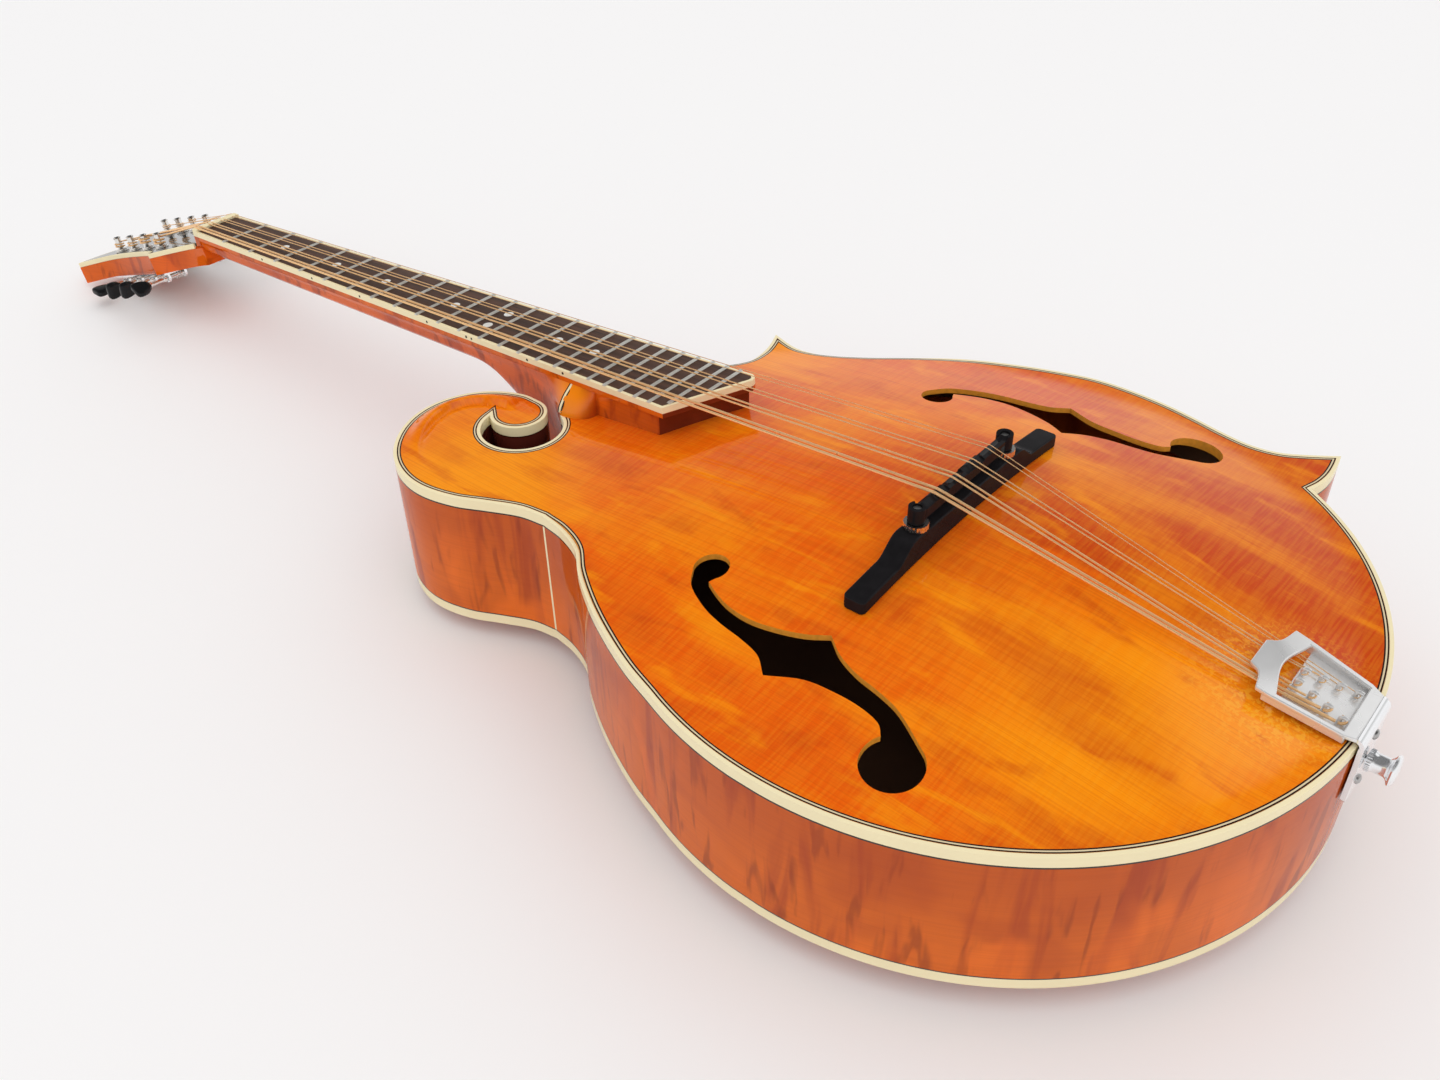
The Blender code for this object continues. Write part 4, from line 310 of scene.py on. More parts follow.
NOTCH_ANGLE = math.radians(326.0)
BASS_JOIN = arc(BOUT_CENTRE, LOWER_BOUT_RADIUS, BOUT_JOIN_ANGLE, BOUT_JOIN_ANGLE, 1)[0]
NOTCH = arc(BOUT_CENTRE, LOWER_BOUT_RADIUS, NOTCH_ANGLE, NOTCH_ANGLE, 1)[0]
BASS_EDGE = join(
    curve_through(
        [WAIST]
        + scaled([(-112.2, 158.5), (-119.0, 142.0), (-131.0, 128.0)])
        + scaled([(-143.7, 108.7), (-154.2, 88.9), (-163.6, 67.5)])
        + [BASS_JOIN],
        6,
    ),
    arc(BOUT_CENTRE, LOWER_BOUT_RADIUS, BOUT_JOIN_ANGLE, 1.5 * math.pi, 70),
)
LOWER_POINT = (189.0 * MM, -116.4 * MM)
UPPER_POINT = (110.5 * MM, 197.3 * MM)
TREBLE_LOWER_EDGE = join(
    arc(BOUT_CENTRE, LOWER_BOUT_RADIUS, 1.5 * math.pi, NOTCH_ANGLE, 36),
    curve_through([NOTCH] + scaled([(158.0, -117.6), (168.0, -118.7), (179.0, -118.0)]) + [LOWER_POINT], 5),
)
TREBLE_MIDDLE_EDGE = curve_through(
    [LOWER_POINT]
    + scaled([(179.4, -102.5), (172.5, -90.0), (170.2, -76.0), (172.5, -60.0), (177.0, -42.0)])
    + scaled([(181.0, -22.0), (182.8, 0.0), (182.0, 20.0), (177.0, 40.0), (168.6, 63.3)])
    + scaled([(156.0, 90.0), (138.5, 114.9), (121.0, 136.0), (109.0, 156.0), (104.6, 175.8)])
    + [UPPER_POINT],
    6,
)
TREBLE_UPPER_EDGE = curve_through(
    [UPPER_POINT]
    + scaled([(98.0, 192.2), (86.2, 189.5), (75.6, 189.4), (66.0, 194.0), (55.5, 204.0), (46.5, 216.0)])
    + [(HEEL_HALF_WIDTH, JOINT_Y)],
    6,
)
RIM_PATH = join(
    SLOT_WALL, BUTTON_EDGE, SCROLL_EDGE, BASS_EDGE, TREBLE_LOWER_EDGE, TREBLE_MIDDLE_EDGE, TREBLE_UPPER_EDGE
)
CREASE = curve_through(
    scaled([(-113.0, 262.0), (-107.0, 270.5), (-100.0, 277.0), (-89.0, 283.0), (-80.0, 286.0)])
    + scaled([(-71.0, 286.8), (-62.0, 284.0), (-55.5, 277.5), (-51.5, 270.5), (-49.6, 264.0)]),
    6,
)
RIDGE_PATH = [point for point in SCROLL_EDGE if point[1] > 262 * MM and point[0] > -126 * MM]


F_HOLE_EASE = 1.1 * MM


def f_hole():
    """Outline of the treble f-hole."""
    large_eye, large_radius = (142.0 * MM, -57.0 * MM), 12.5 * MM
    small_eye, small_radius = (96.5 * MM, 74.0 * MM), 7.5 * MM
    large = arc(large_eye, large_radius, math.radians(205), math.radians(490), 30)
    small = arc(small_eye, small_radius, math.radians(60), math.radians(325), 20)
    inner_edge = curve_through(
        scaled([(105.5, 70.0), (110.0, 61.0), (113.5, 51.0), (115.0, 38.0), (113.0, 24.0), (109.0, 11.0)])
        + scaled([(103.8, 1.5)]),
        5,
    )
    lower_inner = curve_through(
        scaled([(103.8, 1.5), (110.5, -8.0), (115.0, -20.0), (117.5, -33.0), (121.0, -45.0)]) + [large[0]], 5
    )
    lower_outer = curve_through(
        [large[-1]]
        + scaled([(128.5, -42.0), (126.0, -31.0), (125.8, -18.0), (127.5, -3.0), (134.5, 12.5)]),
        5,
    )
    upper_outer = curve_through(
        scaled([(134.5, 12.5), (127.5, 21.0), (124.0, 33.0), (121.5, 47.0), (117.5, 60.0), (110.0, 73.5)])
        + [small[0]],
        5,
    )
    outline = join(inner_edge, lower_inner, large, lower_outer, upper_outer, small)[:-1]
    turn = sum(x1 * y2 - x2 * y1 for (x1, y1), (x2, y2) in zip(outline, outline[1:] + outline[:1]))
    return offset_path(outline, -math.copysign(F_HOLE_EASE, turn), True)


# Carved surfaces, on arrays of points


def arch_share(points):
    """How far up the arch points are, from 0 at the edge to 1 in the middle."""
    points = np.asarray(points, float)
    length = np.where(points[:, 1] < LOWER_BOUT_Y, ARCH_HALF_WIDTH, ARCH_UPPER_LENGTH)
    reach = (points[:, 0] / ARCH_HALF_WIDTH) ** 2 + ((points[:, 1] - LOWER_BOUT_Y) / length) ** 2
    return np.maximum(0.0, 1 - reach) ** ARCH_POWER


def ridge_height(points):
    """Carved roll between the scroll's edge and its crease: a smooth rise that ends in a steep inner wall."""
    region = RIDGE_PATH + CREASE
    outer, inner = distances(points, RIDGE_PATH), distances(points, CREASE)
    share = outer / (outer + inner + 1e-9)
    rise = np.clip((share - RIDGE_FOOT) / RIDGE_RISE, 0, 1)
    fall = np.clip((1 - share) / RIDGE_WALL, 0, 1)
    profile = rise * rise * (3 - 2 * rise) * fall * fall * (3 - 2 * fall)
    start = np.clip((points[:, 0] - RIDGE_START_X) / RIDGE_FADE, 0, 1)
    within = inside(points, [region])
    height = RIDGE_HEIGHT * RIDGE_SHARE * profile
    return np.where(within, height * start * start * (3 - 2 * start), 0.0)


def top_surface(points):
    """Outside of the soundboard, with the scroll's ridge and crease."""
    points = np.asarray(points, float)
    groove = np.exp(-((distances(points, CREASE) / CREASE_WIDTH) ** 2))
    start = np.clip((points[:, 0] - CREASE_START_X) / CREASE_FADE, 0, 1)
    crease = bpy.context.scene.mandocello_sizes.crease_depth * groove * start
    return TOP_ARCH * arch_share(points) + ridge_height(points) - crease


def plate_depth(share):
    """Plate thickness, full at the edge and thinner where the arch has risen."""
    return BINDING_HEIGHT - (BINDING_HEIGHT - PLATE_THICKNESS) * np.minimum(1.0, 4 * share)


def top_underside(points):
    """Inside of the soundboard."""
    share = arch_share(points)
    thinning = (PLATE_THICKNESS - TOP_THICKNESS) * np.minimum(1.0, 4 * share)
    return TOP_ARCH * share - plate_depth(share) + thinning


def back_outside(points):
    """Outside of the back, flattened where it rests."""
    points = np.asarray(points, float)
    floor = REST_POINT.z + (points[:, 1] - REST_POINT.y) * math.tan(REST_PITCH)
    return np.maximum(-RIM_DEPTH - BACK_ARCH * arch_share(points), floor)


def back_inside(points):
    """Inside of the back."""
    share = arch_share(points)
    return -RIM_DEPTH - BACK_ARCH * share + plate_depth(share)


# Makers of meshes


def height_of(level, points):
    """Heights of points from a level or a surface."""
    return level(points) if callable(level) else np.full(len(points), float(level))


def inside(points, loops):
    """Which points lie in a region bounded by loops."""
    points = np.asarray(points, float)
    result = np.zeros(len(points), bool)
    for loop in loops:
        for (x1, y1), (x2, y2) in zip(loop, loop[1:] + loop[:1]):
            if y1 == y2:
                continue
            spans = (y1 > points[:, 1]) != (y2 > points[:, 1])
            result ^= spans & (points[:, 0] < x1 + (points[:, 1] - y1) * (x2 - x1) / (y2 - y1))
    return result


def finished(build):
    """Mesh of a bmesh, with its faces turned outwards."""
    bmesh.ops.recalc_face_normals(build, faces=build.faces)
    mesh = bpy.data.meshes.new("form")
    build.to_mesh(mesh)
    build.free()
    return mesh


def between(loops, low, high, inner=(), marks=(0, 0, 0), lines=()):
    """Closed solid over a plan region, with edges along the lines.

    The marks number the finishes of its top, its walls and its underside.
    """
    points = []
    edges = []
    for loop in loops:
        first = len(points)
        points += [Vector(point) for point in loop]
        edges += [(first + i, first + (i + 1) % len(loop)) for i in range(len(loop))]
    for line in lines:
        first = len(points)
        points += [Vector(point) for point in line]
        edges += [(first + i, first + i + 1) for i in range(len(line) - 1)]
    points += [Vector(point) for point in inner]
    found, _, triangles, *_ = delaunay_2d_cdt(points, edges, [], 0, PLAN_TOLERANCE)
    plan = np.array([tuple(point) for point in found])
    plan[:, 0] = np.maximum(plan[:, 0], -RIM_REACH)
    corners = plan[np.array([tuple(t) for t in triangles])]
    a, b, c = corners[:, 0], corners[:, 1], corners[:, 2]
    size = np.abs((b[:, 0] - a[:, 0]) * (c[:, 1] - a[:, 1]) - (c[:, 0] - a[:, 0]) * (b[:, 1] - a[:, 1])) / 2
    keep = inside(corners.mean(1), loops) & (size > SLIVER_AREA)
    kept = [t for t, good in zip(triangles, keep) if good]
    lows, highs = height_of(low, plan), height_of(high, plan)
    build = bmesh.new()
    lower = {}
    upper = {}
    for i in sorted({i for triangle in kept for i in triangle}):
        lower[i] = build.verts.new((*plan[i], lows[i]))
        upper[i] = build.verts.new((*plan[i], highs[i]))
    sides = set()
    for i, j, k in kept:
        build.faces.new((upper[i], upper[j], upper[k])).material_index = marks[0]
        build.faces.new((lower[k], lower[j], lower[i])).material_index = marks[2]
        sides |= {(i, j), (j, k), (k, i)}
    for start, end in sides:
        if (end, start) not in sides:
            build.faces.new((lower[start], lower[end], upper[end], upper[start])).material_index = marks[1]
    return finished(build)


def grid_inside(loops, spacing, clearance):
    """Staggered points inside a region, clear of its edges."""
    xs = [x for loop in loops for x, _ in loop]
    ys = [y for loop in loops for _, y in loop]
    rows = int((max(ys) - min(ys)) / (spacing * ROW_SPACING)) + 1
    columns = int((max(xs) - min(xs)) / spacing) + 2
    points = [
        (min(xs) + (column + (row % 2) / 2) * spacing, min(ys) + row * spacing * ROW_SPACING)
        for row in range(rows)
        for column in range(columns)
    ]
    keep = inside(points, loops)
    for loop in loops:
        keep &= distances(points, loop, True) > clearance
    return [point for point, good in zip(points, keep) if good]


def loft(sections, closed=False, capped=True):
    """Solid through sections of equally many points."""
    build = bmesh.new()
    rings = [[build.verts.new(point) for point in section] for section in sections]
    count = len(rings[0])
    pairs = list(zip(rings, rings[1:]))
    if closed:
        pairs.append((rings[-1], rings[0]))
    for before, after in pairs:
        for i in range(count):
            j = (i + 1) % count
            build.faces.new((before[i], before[j], after[j], after[i]))
    if capped and not closed:
        build.faces.new(rings[0][::-1])
        build.faces.new(rings[-1])
    return finished(build)


def turned(profile, segments):
    """Solid turned about Z from radius and height pairs that start and end on the axis."""
    build = bmesh.new()
    top = build.verts.new((0, 0, profile[0][1]))
    bottom = build.verts.new((0, 0, profile[-1][1]))
    rings = []
    for k in range(segments):
        turn = 2 * math.pi * k / segments
        rings.append([build.verts.new((r * math.cos(turn), r * math.sin(turn), z)) for r, z in profile[1:-1]])
    for before, after in zip(rings, rings[1:] + rings[:1]):
        build.faces.new((top, before[0], after[0]))
        build.faces.new((bottom, after[-1], before[-1]))
        for i in range(len(before) - 1):
            build.faces.new((before[i], before[i + 1], after[i + 1], after[i]))
    return finished(build)


def round_wire(points, radius, sides=8):
    """Round wire along points, with one radius or one for each point."""
    points = [Vector(point) for point in points]
    radii = radius if hasattr(radius, "__len__") else [radius] * len(points)
    across = Vector((0, 0, 1)).cross(points[1] - points[0])
    if across.length < 1e-9:
        across = Vector((1, 0, 0))
    across.normalize()
    sections = []
    for k, point in enumerate(points):
        ahead = points[min(k + 1, len(points) - 1)] - point if k < len(points) - 1 else point - points[k - 1]
        behind = point - points[k - 1] if k else ahead
        along = (ahead.normalized() + behind.normalized()).normalized()
        across = (across - along * across.dot(along)).normalized()
        other = along.cross(across)
        turns = [2 * math.pi * s / sides for s in range(sides)]
        sections.append([point + (across * math.cos(t) + other * math.sin(t)) * radii[k] for t in turns])
    return loft(sections)


def placed(mesh, matrix):
    """The mesh, moved."""
    mesh.transform(matrix)
    return mesh


def gathered(meshes):
    """One mesh of several, with the finish of each numbered in order."""
    build = bmesh.new()
    for number, mesh in enumerate(meshes):
        first = len(build.faces)
        build.from_mesh(mesh)
        build.faces.ensure_lookup_table()
        for face in build.faces[first:]:
            face.material_index = number
    mesh = bpy.data.meshes.new("form")
    build.to_mesh(mesh)
    build.free()
    return mesh


def bunch(meshes):
    """One mesh of several of the same finish."""
    build = bmesh.new()
    for mesh in meshes:
        build.from_mesh(mesh)
    joined = bpy.data.meshes.new("form")
    build.to_mesh(joined)
    build.free()
    return joined


def softened(piece, width, segments=2, angle=30):
    """Rounds a piece's edges."""
    bevel = piece.modifiers.new("worn edges", "BEVEL")
    bevel.width = width
    bevel.segments = segments
    bevel.limit_method = "ANGLE"
    bevel.angle_limit = math.radians(angle)
    bevel.harden_normals = False
    return piece


def add_piece(name, mesh, finishes, nodes=(), body="body", matrix=INSTRUMENT, sharp=35):
    """Shown piece in the instrument's place, riding on a body and standing for its nodes."""
    mesh.name = name
    for finish in finishes:
        mesh.materials.append(finish)
    mesh.shade_smooth()
    mesh.set_sharp_from_angle(angle=math.radians(sharp))
    piece = bpy.data.objects.new(name, mesh)
    bpy.context.scene.collection.objects.link(piece)
    piece.matrix_world = matrix
    if body:
        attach(piece, body)
    if nodes:
        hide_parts(*nodes)
    return piece


def refinish(node, finish, edge=0.0):
    """Gives a frame node its finish, and rounds its edges."""
    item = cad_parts[node]
    item.data.materials.clear()
    item.data.materials.append(finish)
    if edge:
        softened(item, edge)
    return item


# Finishes

LACQUER_ROUGHNESS = 0.03
LACQUER_IOR = 1.45


def add_node(tree, kind, inputs=None, **settings):
    """A node with its settings and its inputs, each a value or another node's output."""
    node = tree.nodes.new(f"ShaderNode{kind}")
    for key, value in settings.items():
        setattr(node, key, value)
    for key, value in (inputs or {}).items():
        if isinstance(value, bpy.types.NodeSocket):
            tree.links.new(value, node.inputs[key])
        else:
            node.inputs[key].default_value = value
    return node


class Finish:
    """One finish as a material's node tree, built a node at a time."""

    def __init__(self, name, roughness, metallic=0.0, coat=0.0):
        self.material = bpy.data.materials.new(name)
        self.material.use_nodes = True
        self.tree = self.material.node_tree
        self.shader = self.tree.nodes["Principled BSDF"]
        self.shader.inputs["Roughness"].default_value = roughness
        self.shader.inputs["Metallic"].default_value = metallic
        if coat:
            self.shader.inputs["Specular IOR Level"].default_value = 0.0
            self.shader.inputs["Coat Weight"].default_value = coat
            self.shader.inputs["Coat Roughness"].default_value = LACQUER_ROUGHNESS
            self.shader.inputs["Coat IOR"].default_value = LACQUER_IOR
        self.place = self.add("TexCoord").outputs["Object"]

    def add(self, kind, inputs=None, **settings):
        """A node of this finish."""
        return add_node(self.tree, kind, inputs, **settings)

    def feed(self, socket, colour):
        """Gives a socket a colour or another node's output."""
        if isinstance(colour, bpy.types.NodeSocket):
            self.tree.links.new(colour, socket)
        else:
            socket.default_value = (*colour, 1.0)

    def stretched(self, x, y, z):
        """The place, scaled along each axis."""
        return self.add("Mapping", {"Vector": self.place, "Scale": (x, y, z)}).outputs["Vector"]

    def noise(self, vector, scale, detail=3.0, distortion=0.0):
        """Noise from 0 to 1 at a vector."""
        inputs = {"Vector": vector, "Scale": scale, "Detail": detail, "Distortion": distortion}
        return self.add("TexNoise", inputs).outputs["Fac"]

    def spread(self, value, low, high, to_low=0.0, to_high=1.0):
        """A value moved smoothly from one range to another."""
        inputs = {"Value": value, "From Min": low, "From Max": high, "To Min": to_low, "To Max": to_high}
        return self.add("MapRange", inputs, interpolation_type="SMOOTHSTEP").outputs["Result"]

    def near(self, centre, near, far):
        """1 within the near distance of a centre, falling to 0 at the far one."""
        reach = self.add("VectorMath", {0: self.place, 1: centre}, operation="DISTANCE").outputs["Value"]
        return self.spread(reach, near, far, 1.0, 0.0)

    def mixed(self, share, colour_a, colour_b):
        """Colour between two, each a colour or another node's output."""
        node = self.add("Mix", {"Factor": share}, data_type="RGBA")
        self.feed(node.inputs[6], colour_a)
        self.feed(node.inputs[7], colour_b)
        return node.outputs[2]

    def scaled_by(self, value, factor):
        """A value times a factor."""
        return self.add("Math", {0: value, 1: factor}, operation="MULTIPLY").outputs["Value"]

    def coloured(self, colour):
        """Sets the base colour."""
        self.feed(self.shader.inputs["Base Color"], colour)
        return self

    def rough_by(self, value):
        """Sets the roughness from a node."""
        self.tree.links.new(value, self.shader.inputs["Roughness"])
        return self

    def bumped(self, height, strength, distance):
        """Adds relief from a height."""
        bump = self.add("Bump", {"Height": height, "Strength": strength, "Distance": distance})
        self.tree.links.new(bump.outputs["Normal"], self.shader.inputs["Normal"])
        return self


# Golden patches painted on the heel's shoulders, where the curved cheeks catch the light: painted highlights
PAINTED_HIGHLIGHT_GOLD = (0.95, 0.27, 0.006)
SHOULDER_PAINTED_HIGHLIGHTS = (
    ((-0.034, 0.234, 0.010), 0.008, 0.020, 0.8),
    ((-0.034, 0.222, 0.107), 0.008, 0.022, 0.8),
)


def colour_named(name):
    """One of the colours that a user can change."""
    return getattr(bpy.context.scene.mandocello_colours, name)


def lacquered_spruce(name):
    """Carved top: straight grain, ray flecks across it, lighter partly by their own colour and partly as
    painted sheen, and mottled amber stain, redder on the treble half.
    """
    colours = bpy.context.scene.mandocello_colours
    finish = Finish(name, 0.5, coat=1.0)
    axes = finish.add("SeparateXYZ", {"Vector": finish.place}).outputs
    wobble = finish.spread(finish.noise(finish.place, 30.0, 3.0), 0.3, 0.7, -0.006, 0.006)
    across = finish.add("Math", {0: axes["X"], 1: wobble}, operation="ADD").outputs["Value"]
    half = finish.spread(across, -0.004, 0.008)
    tailward = finish.spread(axes["Y"], 0.10, -0.08, 0.30, 1.0)
    reddened = finish.scaled_by(finish.scaled_by(half, tailward), 0.85)
    stain = finish.mixed(reddened, colours.orange_top, colours.red_top)
    for centre, near, far, share in (
        ((-0.050, -0.125, 0.0), 0.015, 0.095, 0.9),
        ((-0.100, -0.115, 0.0), 0.0, 0.075, 0.8),
        ((-0.105, 0.225, 0.0), 0.02, 0.085, 1.0),
        ((-0.014, -0.168, 0.0), 0.01, 0.045, 0.9),
        ((-0.055, -0.040, 0.015), 0.0, 0.075, 0.45),
        ((-0.055, 0.125, 0.01), 0.0, 0.07, 0.2),
        ((0.075, 0.085, 0.01), 0.0, 0.09, 0.4),
        ((0.090, 0.180, 0.0), 0.0, 0.07, 0.85),
        ((-0.070, 0.290, 0.0), 0.0, 0.04, 0.6),
    ):
        glow = finish.scaled_by(finish.near(centre, near, far), share)
        stain = finish.mixed(glow, stain, colours.golden_top)
    clouds = finish.noise(finish.stretched(20.0, 8.0, 20.0), 1.0, 4.0, 0.4)
    stain = finish.mixed(finish.spread(clouds, 0.50, 0.68, 0.0, 0.55), stain, colours.golden_top)
    stain = finish.mixed(finish.spread(clouds, 0.48, 0.28, 0.0, 0.55), stain, colours.red_top)
    patches = finish.noise(finish.stretched(75.0, 22.0, 75.0), 1.0, 3.0, 0.6)
    stain = finish.mixed(finish.spread(patches, 0.54, 0.72, 0.0, 0.45), stain, (0.56, 0.055, 0.004))
    stain = finish.mixed(finish.spread(patches, 0.47, 0.28, 0.0, 0.55), stain, colours.golden_top)
    # Ray flecks across the grain, painted lighter: partly the wood's own flecks, partly painted sheen
    silk_flecks_and_sheen = finish.noise(finish.stretched(45.0, 700.0, 45.0), 1.0, 2.0, 0.2)
    stain = finish.mixed(finish.spread(silk_flecks_and_sheen, 0.35, 0.65, 0.0, 0.16), stain, (0.98, 0.40, 0.02))
    grain = finish.noise(finish.stretched(950.0, 1.2, 20.0), 1.0, 2.0)
    lines = finish.spread(grain, 0.42, 0.64)
    stain = finish.mixed(finish.scaled_by(lines, 0.20), stain, (0.50, 0.06, 0.003))
    worn = finish.noise(finish.place, 420.0, 2.0, 1.0)
    spots = finish.spread(worn, 0.48, 0.60, 0.0, 0.7)
    grains = finish.scaled_by(finish.near((-0.006, -0.160, 0.0), 0.012, 0.055), spots)
    stain = finish.mixed(grains, stain, (1.0, 0.46, 0.03))
    finish.coloured(stain)
    return finish.bumped(lines, 0.05, 0.0001).material


def flamed_maple(name, figure, light, dark, amount=0.75, coat=1.0, painted_highlights=(), upper=0.0):
    """Figured maple under lacquer: flames and dark blotches over a golden ground, with fine grain, and golden
    painted highlights where they are given.
    """
    across, along, up = figure
    finish = Finish(name, 0.5, coat=coat)
    flame = finish.noise(finish.stretched(across, along, up), 1.0, 3.0, 0.9)
    ground = finish.noise(finish.place, 14.0, 3.0, 0.5)
    middle = [(a + b) / 2 for a, b in zip(light, dark)]
    base = finish.mixed(finish.spread(ground, 0.52, 0.36, 0.0, 0.75), light, middle)
    base = finish.mixed(finish.spread(flame, 0.50, 0.66, 0.0, amount), base, dark)
    knots = finish.noise(finish.stretched(across * 2.4, along * 2.4, up * 3.4), 1.0, 2.0, 0.4)
    base = finish.mixed(finish.spread(knots, 0.56, 0.70, 0.0, 0.5), base, [c * 0.5 for c in dark])
    gold = finish.noise(finish.stretched(across * 0.5, along * 0.5, up * 2.0), 1.0, 2.0, 0.6)
    base = finish.mixed(finish.spread(gold, 0.54, 0.70, 0.0, 0.5), base, [min(1.0, c * 1.35) for c in light])
    fine = finish.noise(finish.stretched(18.0, 18.0, 900.0), 1.0, 2.0, 0.1)
    base = finish.mixed(finish.spread(fine, 0.45, 0.65, 0.0, 0.12), base, dark)
    if upper:
        height = finish.add("SeparateXYZ", {"Vector": finish.place}).outputs["Z"]
        base = finish.mixed(finish.spread(height, -0.060, -0.012, 0.0, upper), base, dark)
    # Painted highlights: golden patches where the curved shoulders catch the light
    for centre, near, far, share in painted_highlights:
        base = finish.mixed(finish.scaled_by(finish.near(centre, near, far), share), base, PAINTED_HIGHLIGHT_GOLD)
    finish.coloured(base)
    return finish.material


def plain_finish(name, colour, roughness, metallic=0.0, coat=0.0, mottle=0.0, scale=60.0):
    """One colour, a little uneven."""
    finish = Finish(name, roughness, metallic, coat)
    if mottle:
        patches = finish.noise(finish.place, scale, 3.0)
        darker, lighter = ([c * (1 + sign * mottle) for c in colour] for sign in (-1, 1))
        finish.coloured(finish.mixed(patches, darker, lighter))
    else:
        finish.coloured(colour)
    return finish.material


def rosewood_finish(name):
    """Oiled rosewood with dark pores along the board."""
    colour = colour_named("rosewood")
    finish = Finish(name, 0.5)
    finish.shader.inputs["Specular IOR Level"].default_value = 0.3
    figure = finish.spread(finish.noise(finish.stretched(160.0, 5.0, 160.0), 1.0, 3.0, 0.3), 0.35, 0.7)
    pores = finish.spread(finish.noise(finish.stretched(1300.0, 45.0, 1300.0), 1.0, 2.0), 0.58, 0.66)
    wood = finish.mixed(figure, [c * 0.72 for c in colour], [c * 1.35 for c in colour])
    finish.coloured(finish.mixed(finish.scaled_by(pores, 0.7), wood, (0.02, 0.012, 0.01)))
    return finish.bumped(pores, 0.2, -0.0001).material


def polished_metal(name, colour, roughness, wave=0.0, scale=90.0, share=1.0):
    """Polished metal, a little wavy, or with a share of dull metal."""
    finish = Finish(name, roughness, share)
    finish.coloured(colour)
    smear = finish.spread(finish.noise(finish.place, 45.0, 3.0), 0.3, 0.8, roughness, roughness * 1.6 + 0.02)
    finish.rough_by(smear)
    if wave:
        finish.bumped(finish.noise(finish.place, scale, 1.0), wave, 0.001)
    return finish.material


FINISH_MAKERS = {
    "amber spruce": lacquered_spruce,
    "spruce edge": lambda name: plain_finish(name, (0.80, 0.32, 0.03), 0.5, mottle=0.3, scale=400.0),
    "rib maple": lambda name: flamed_maple(
        name, (60.0, 60.0, 7.0), colour_named("maple"), colour_named("maple_flame"), 0.7, 0.62, upper=0.4
    ),
    "back maple": lambda name: flamed_maple(
        name, (9.0, 85.0, 9.0), colour_named("maple"), colour_named("maple_flame")
    ),
    # The neck and heel maple carry the painted highlights on the shoulders
    "neck maple": lambda name: flamed_maple(
        name, (14.0, 60.0, 14.0), (0.70, 0.115, 0.007), (0.36, 0.035, 0.006), 0.6, 0.7, SHOULDER_PAINTED_HIGHLIGHTS
    ),
    "heel maple": lambda name: flamed_maple(
        name, (34.0, 60.0, 16.0), (0.70, 0.13, 0.007), (0.30, 0.030, 0.006), 0.6, 0.7, SHOULDER_PAINTED_HIGHLIGHTS
    ),
    # Maple painted dark for the end faces under the fingerboard's end: painted shade
    "dark maple": lambda name: plain_finish(
        name, (0.16, 0.022, 0.008), 0.4, coat=0.8, mottle=0.3, scale=120.0
    ),
    # Near black on the walls of the scroll's slot and the neck block, in the hollow under the heel: painted
    # shade
    "slot stain": lambda name: plain_finish(name, (0.10, 0.018, 0.012), 0.3, coat=1.0, mottle=0.3),
    "cream": lambda name: plain_finish(name, colour_named("cream"), 0.3, coat=0.6, mottle=0.04, scale=35.0),
    "ivory": lambda name: plain_finish(name, (0.84, 0.74, 0.48), 0.32, coat=0.3, mottle=0.06, scale=120.0),
    "black line": lambda name: plain_finish(name, (0.03, 0.014, 0.010), 0.3, coat=1.0),
    "white line": lambda name: plain_finish(name, (0.74, 0.62, 0.40), 0.3, coat=1.0),
    "rosewood": rosewood_finish,
    "ebony": lambda name: plain_finish(name, colour_named("ebony"), 0.3, coat=0.25, mottle=0.4, scale=200.0),
    "black lacquer": lambda name: plain_finish(name, (0.008, 0.008, 0.009), 0.15, coat=1.0),
    "chrome": lambda name: polished_metal(name, (0.92, 0.925, 0.94), 0.09, 0.05, 60.0, 0.8),
    "nickel": lambda name: polished_metal(name, (0.80, 0.78, 0.75), 0.17),
    "fret nickel": lambda name: polished_metal(name, (0.66, 0.65, 0.60), 0.38, share=0.45),
    "satin chrome": lambda name: polished_metal(name, (0.84, 0.835, 0.83), 0.22, share=0.55),
    "steel": lambda name: polished_metal(name, (0.48, 0.47, 0.46), 0.28),
    "bronze": lambda name: polished_metal(name, colour_named("bronze"), 0.24, share=0.55),
    "brass": lambda name: polished_metal(name, (0.60, 0.42, 0.18), 0.30),
    "pearl": lambda name: plain_finish(name, (0.80, 0.80, 0.76), 0.2, coat=0.8, mottle=0.12, scale=350.0),
    "black plastic": lambda name: plain_finish(name, (0.010, 0.010, 0.011), 0.18, coat=0.5),
    "shaded wood": lambda name: plain_finish(name, (0.15, 0.070, 0.035), 0.9, mottle=0.3, scale=30.0),
}
FINISHES = {}


def finish_named(name):
    """A finish of this instrument, made on first use."""
    if name not in FINISHES:
        FINISHES[name] = FINISH_MAKERS[name](name)
    return FINISHES[name]


def finishes(*names):
    """Several finishes, in order."""
    return [finish_named(name) for name in names]


# Body pieces


def plate_outline(inset):
    """Edge of a plate inside its binding."""
    edge = offset_path(RIM_PATH, inset)
    edge = run_to(edge, JOINT_Y - GAP)[::-1]
    return run_to(edge, JOINT_Y - GAP)[::-1]


def rails_at(depths, path, loops, spacing):
    """Points along lines at several distances from a path, inside a region."""
    rails = []
    for depth in depths:
        rail = thinned(offset_path(path, depth), spacing)
        clear = distances(rail, loops[0], True) > 0.5 * MM
        rails += [p for p, good in zip(rail, clear & inside(rail, loops)) if good]
    return rails


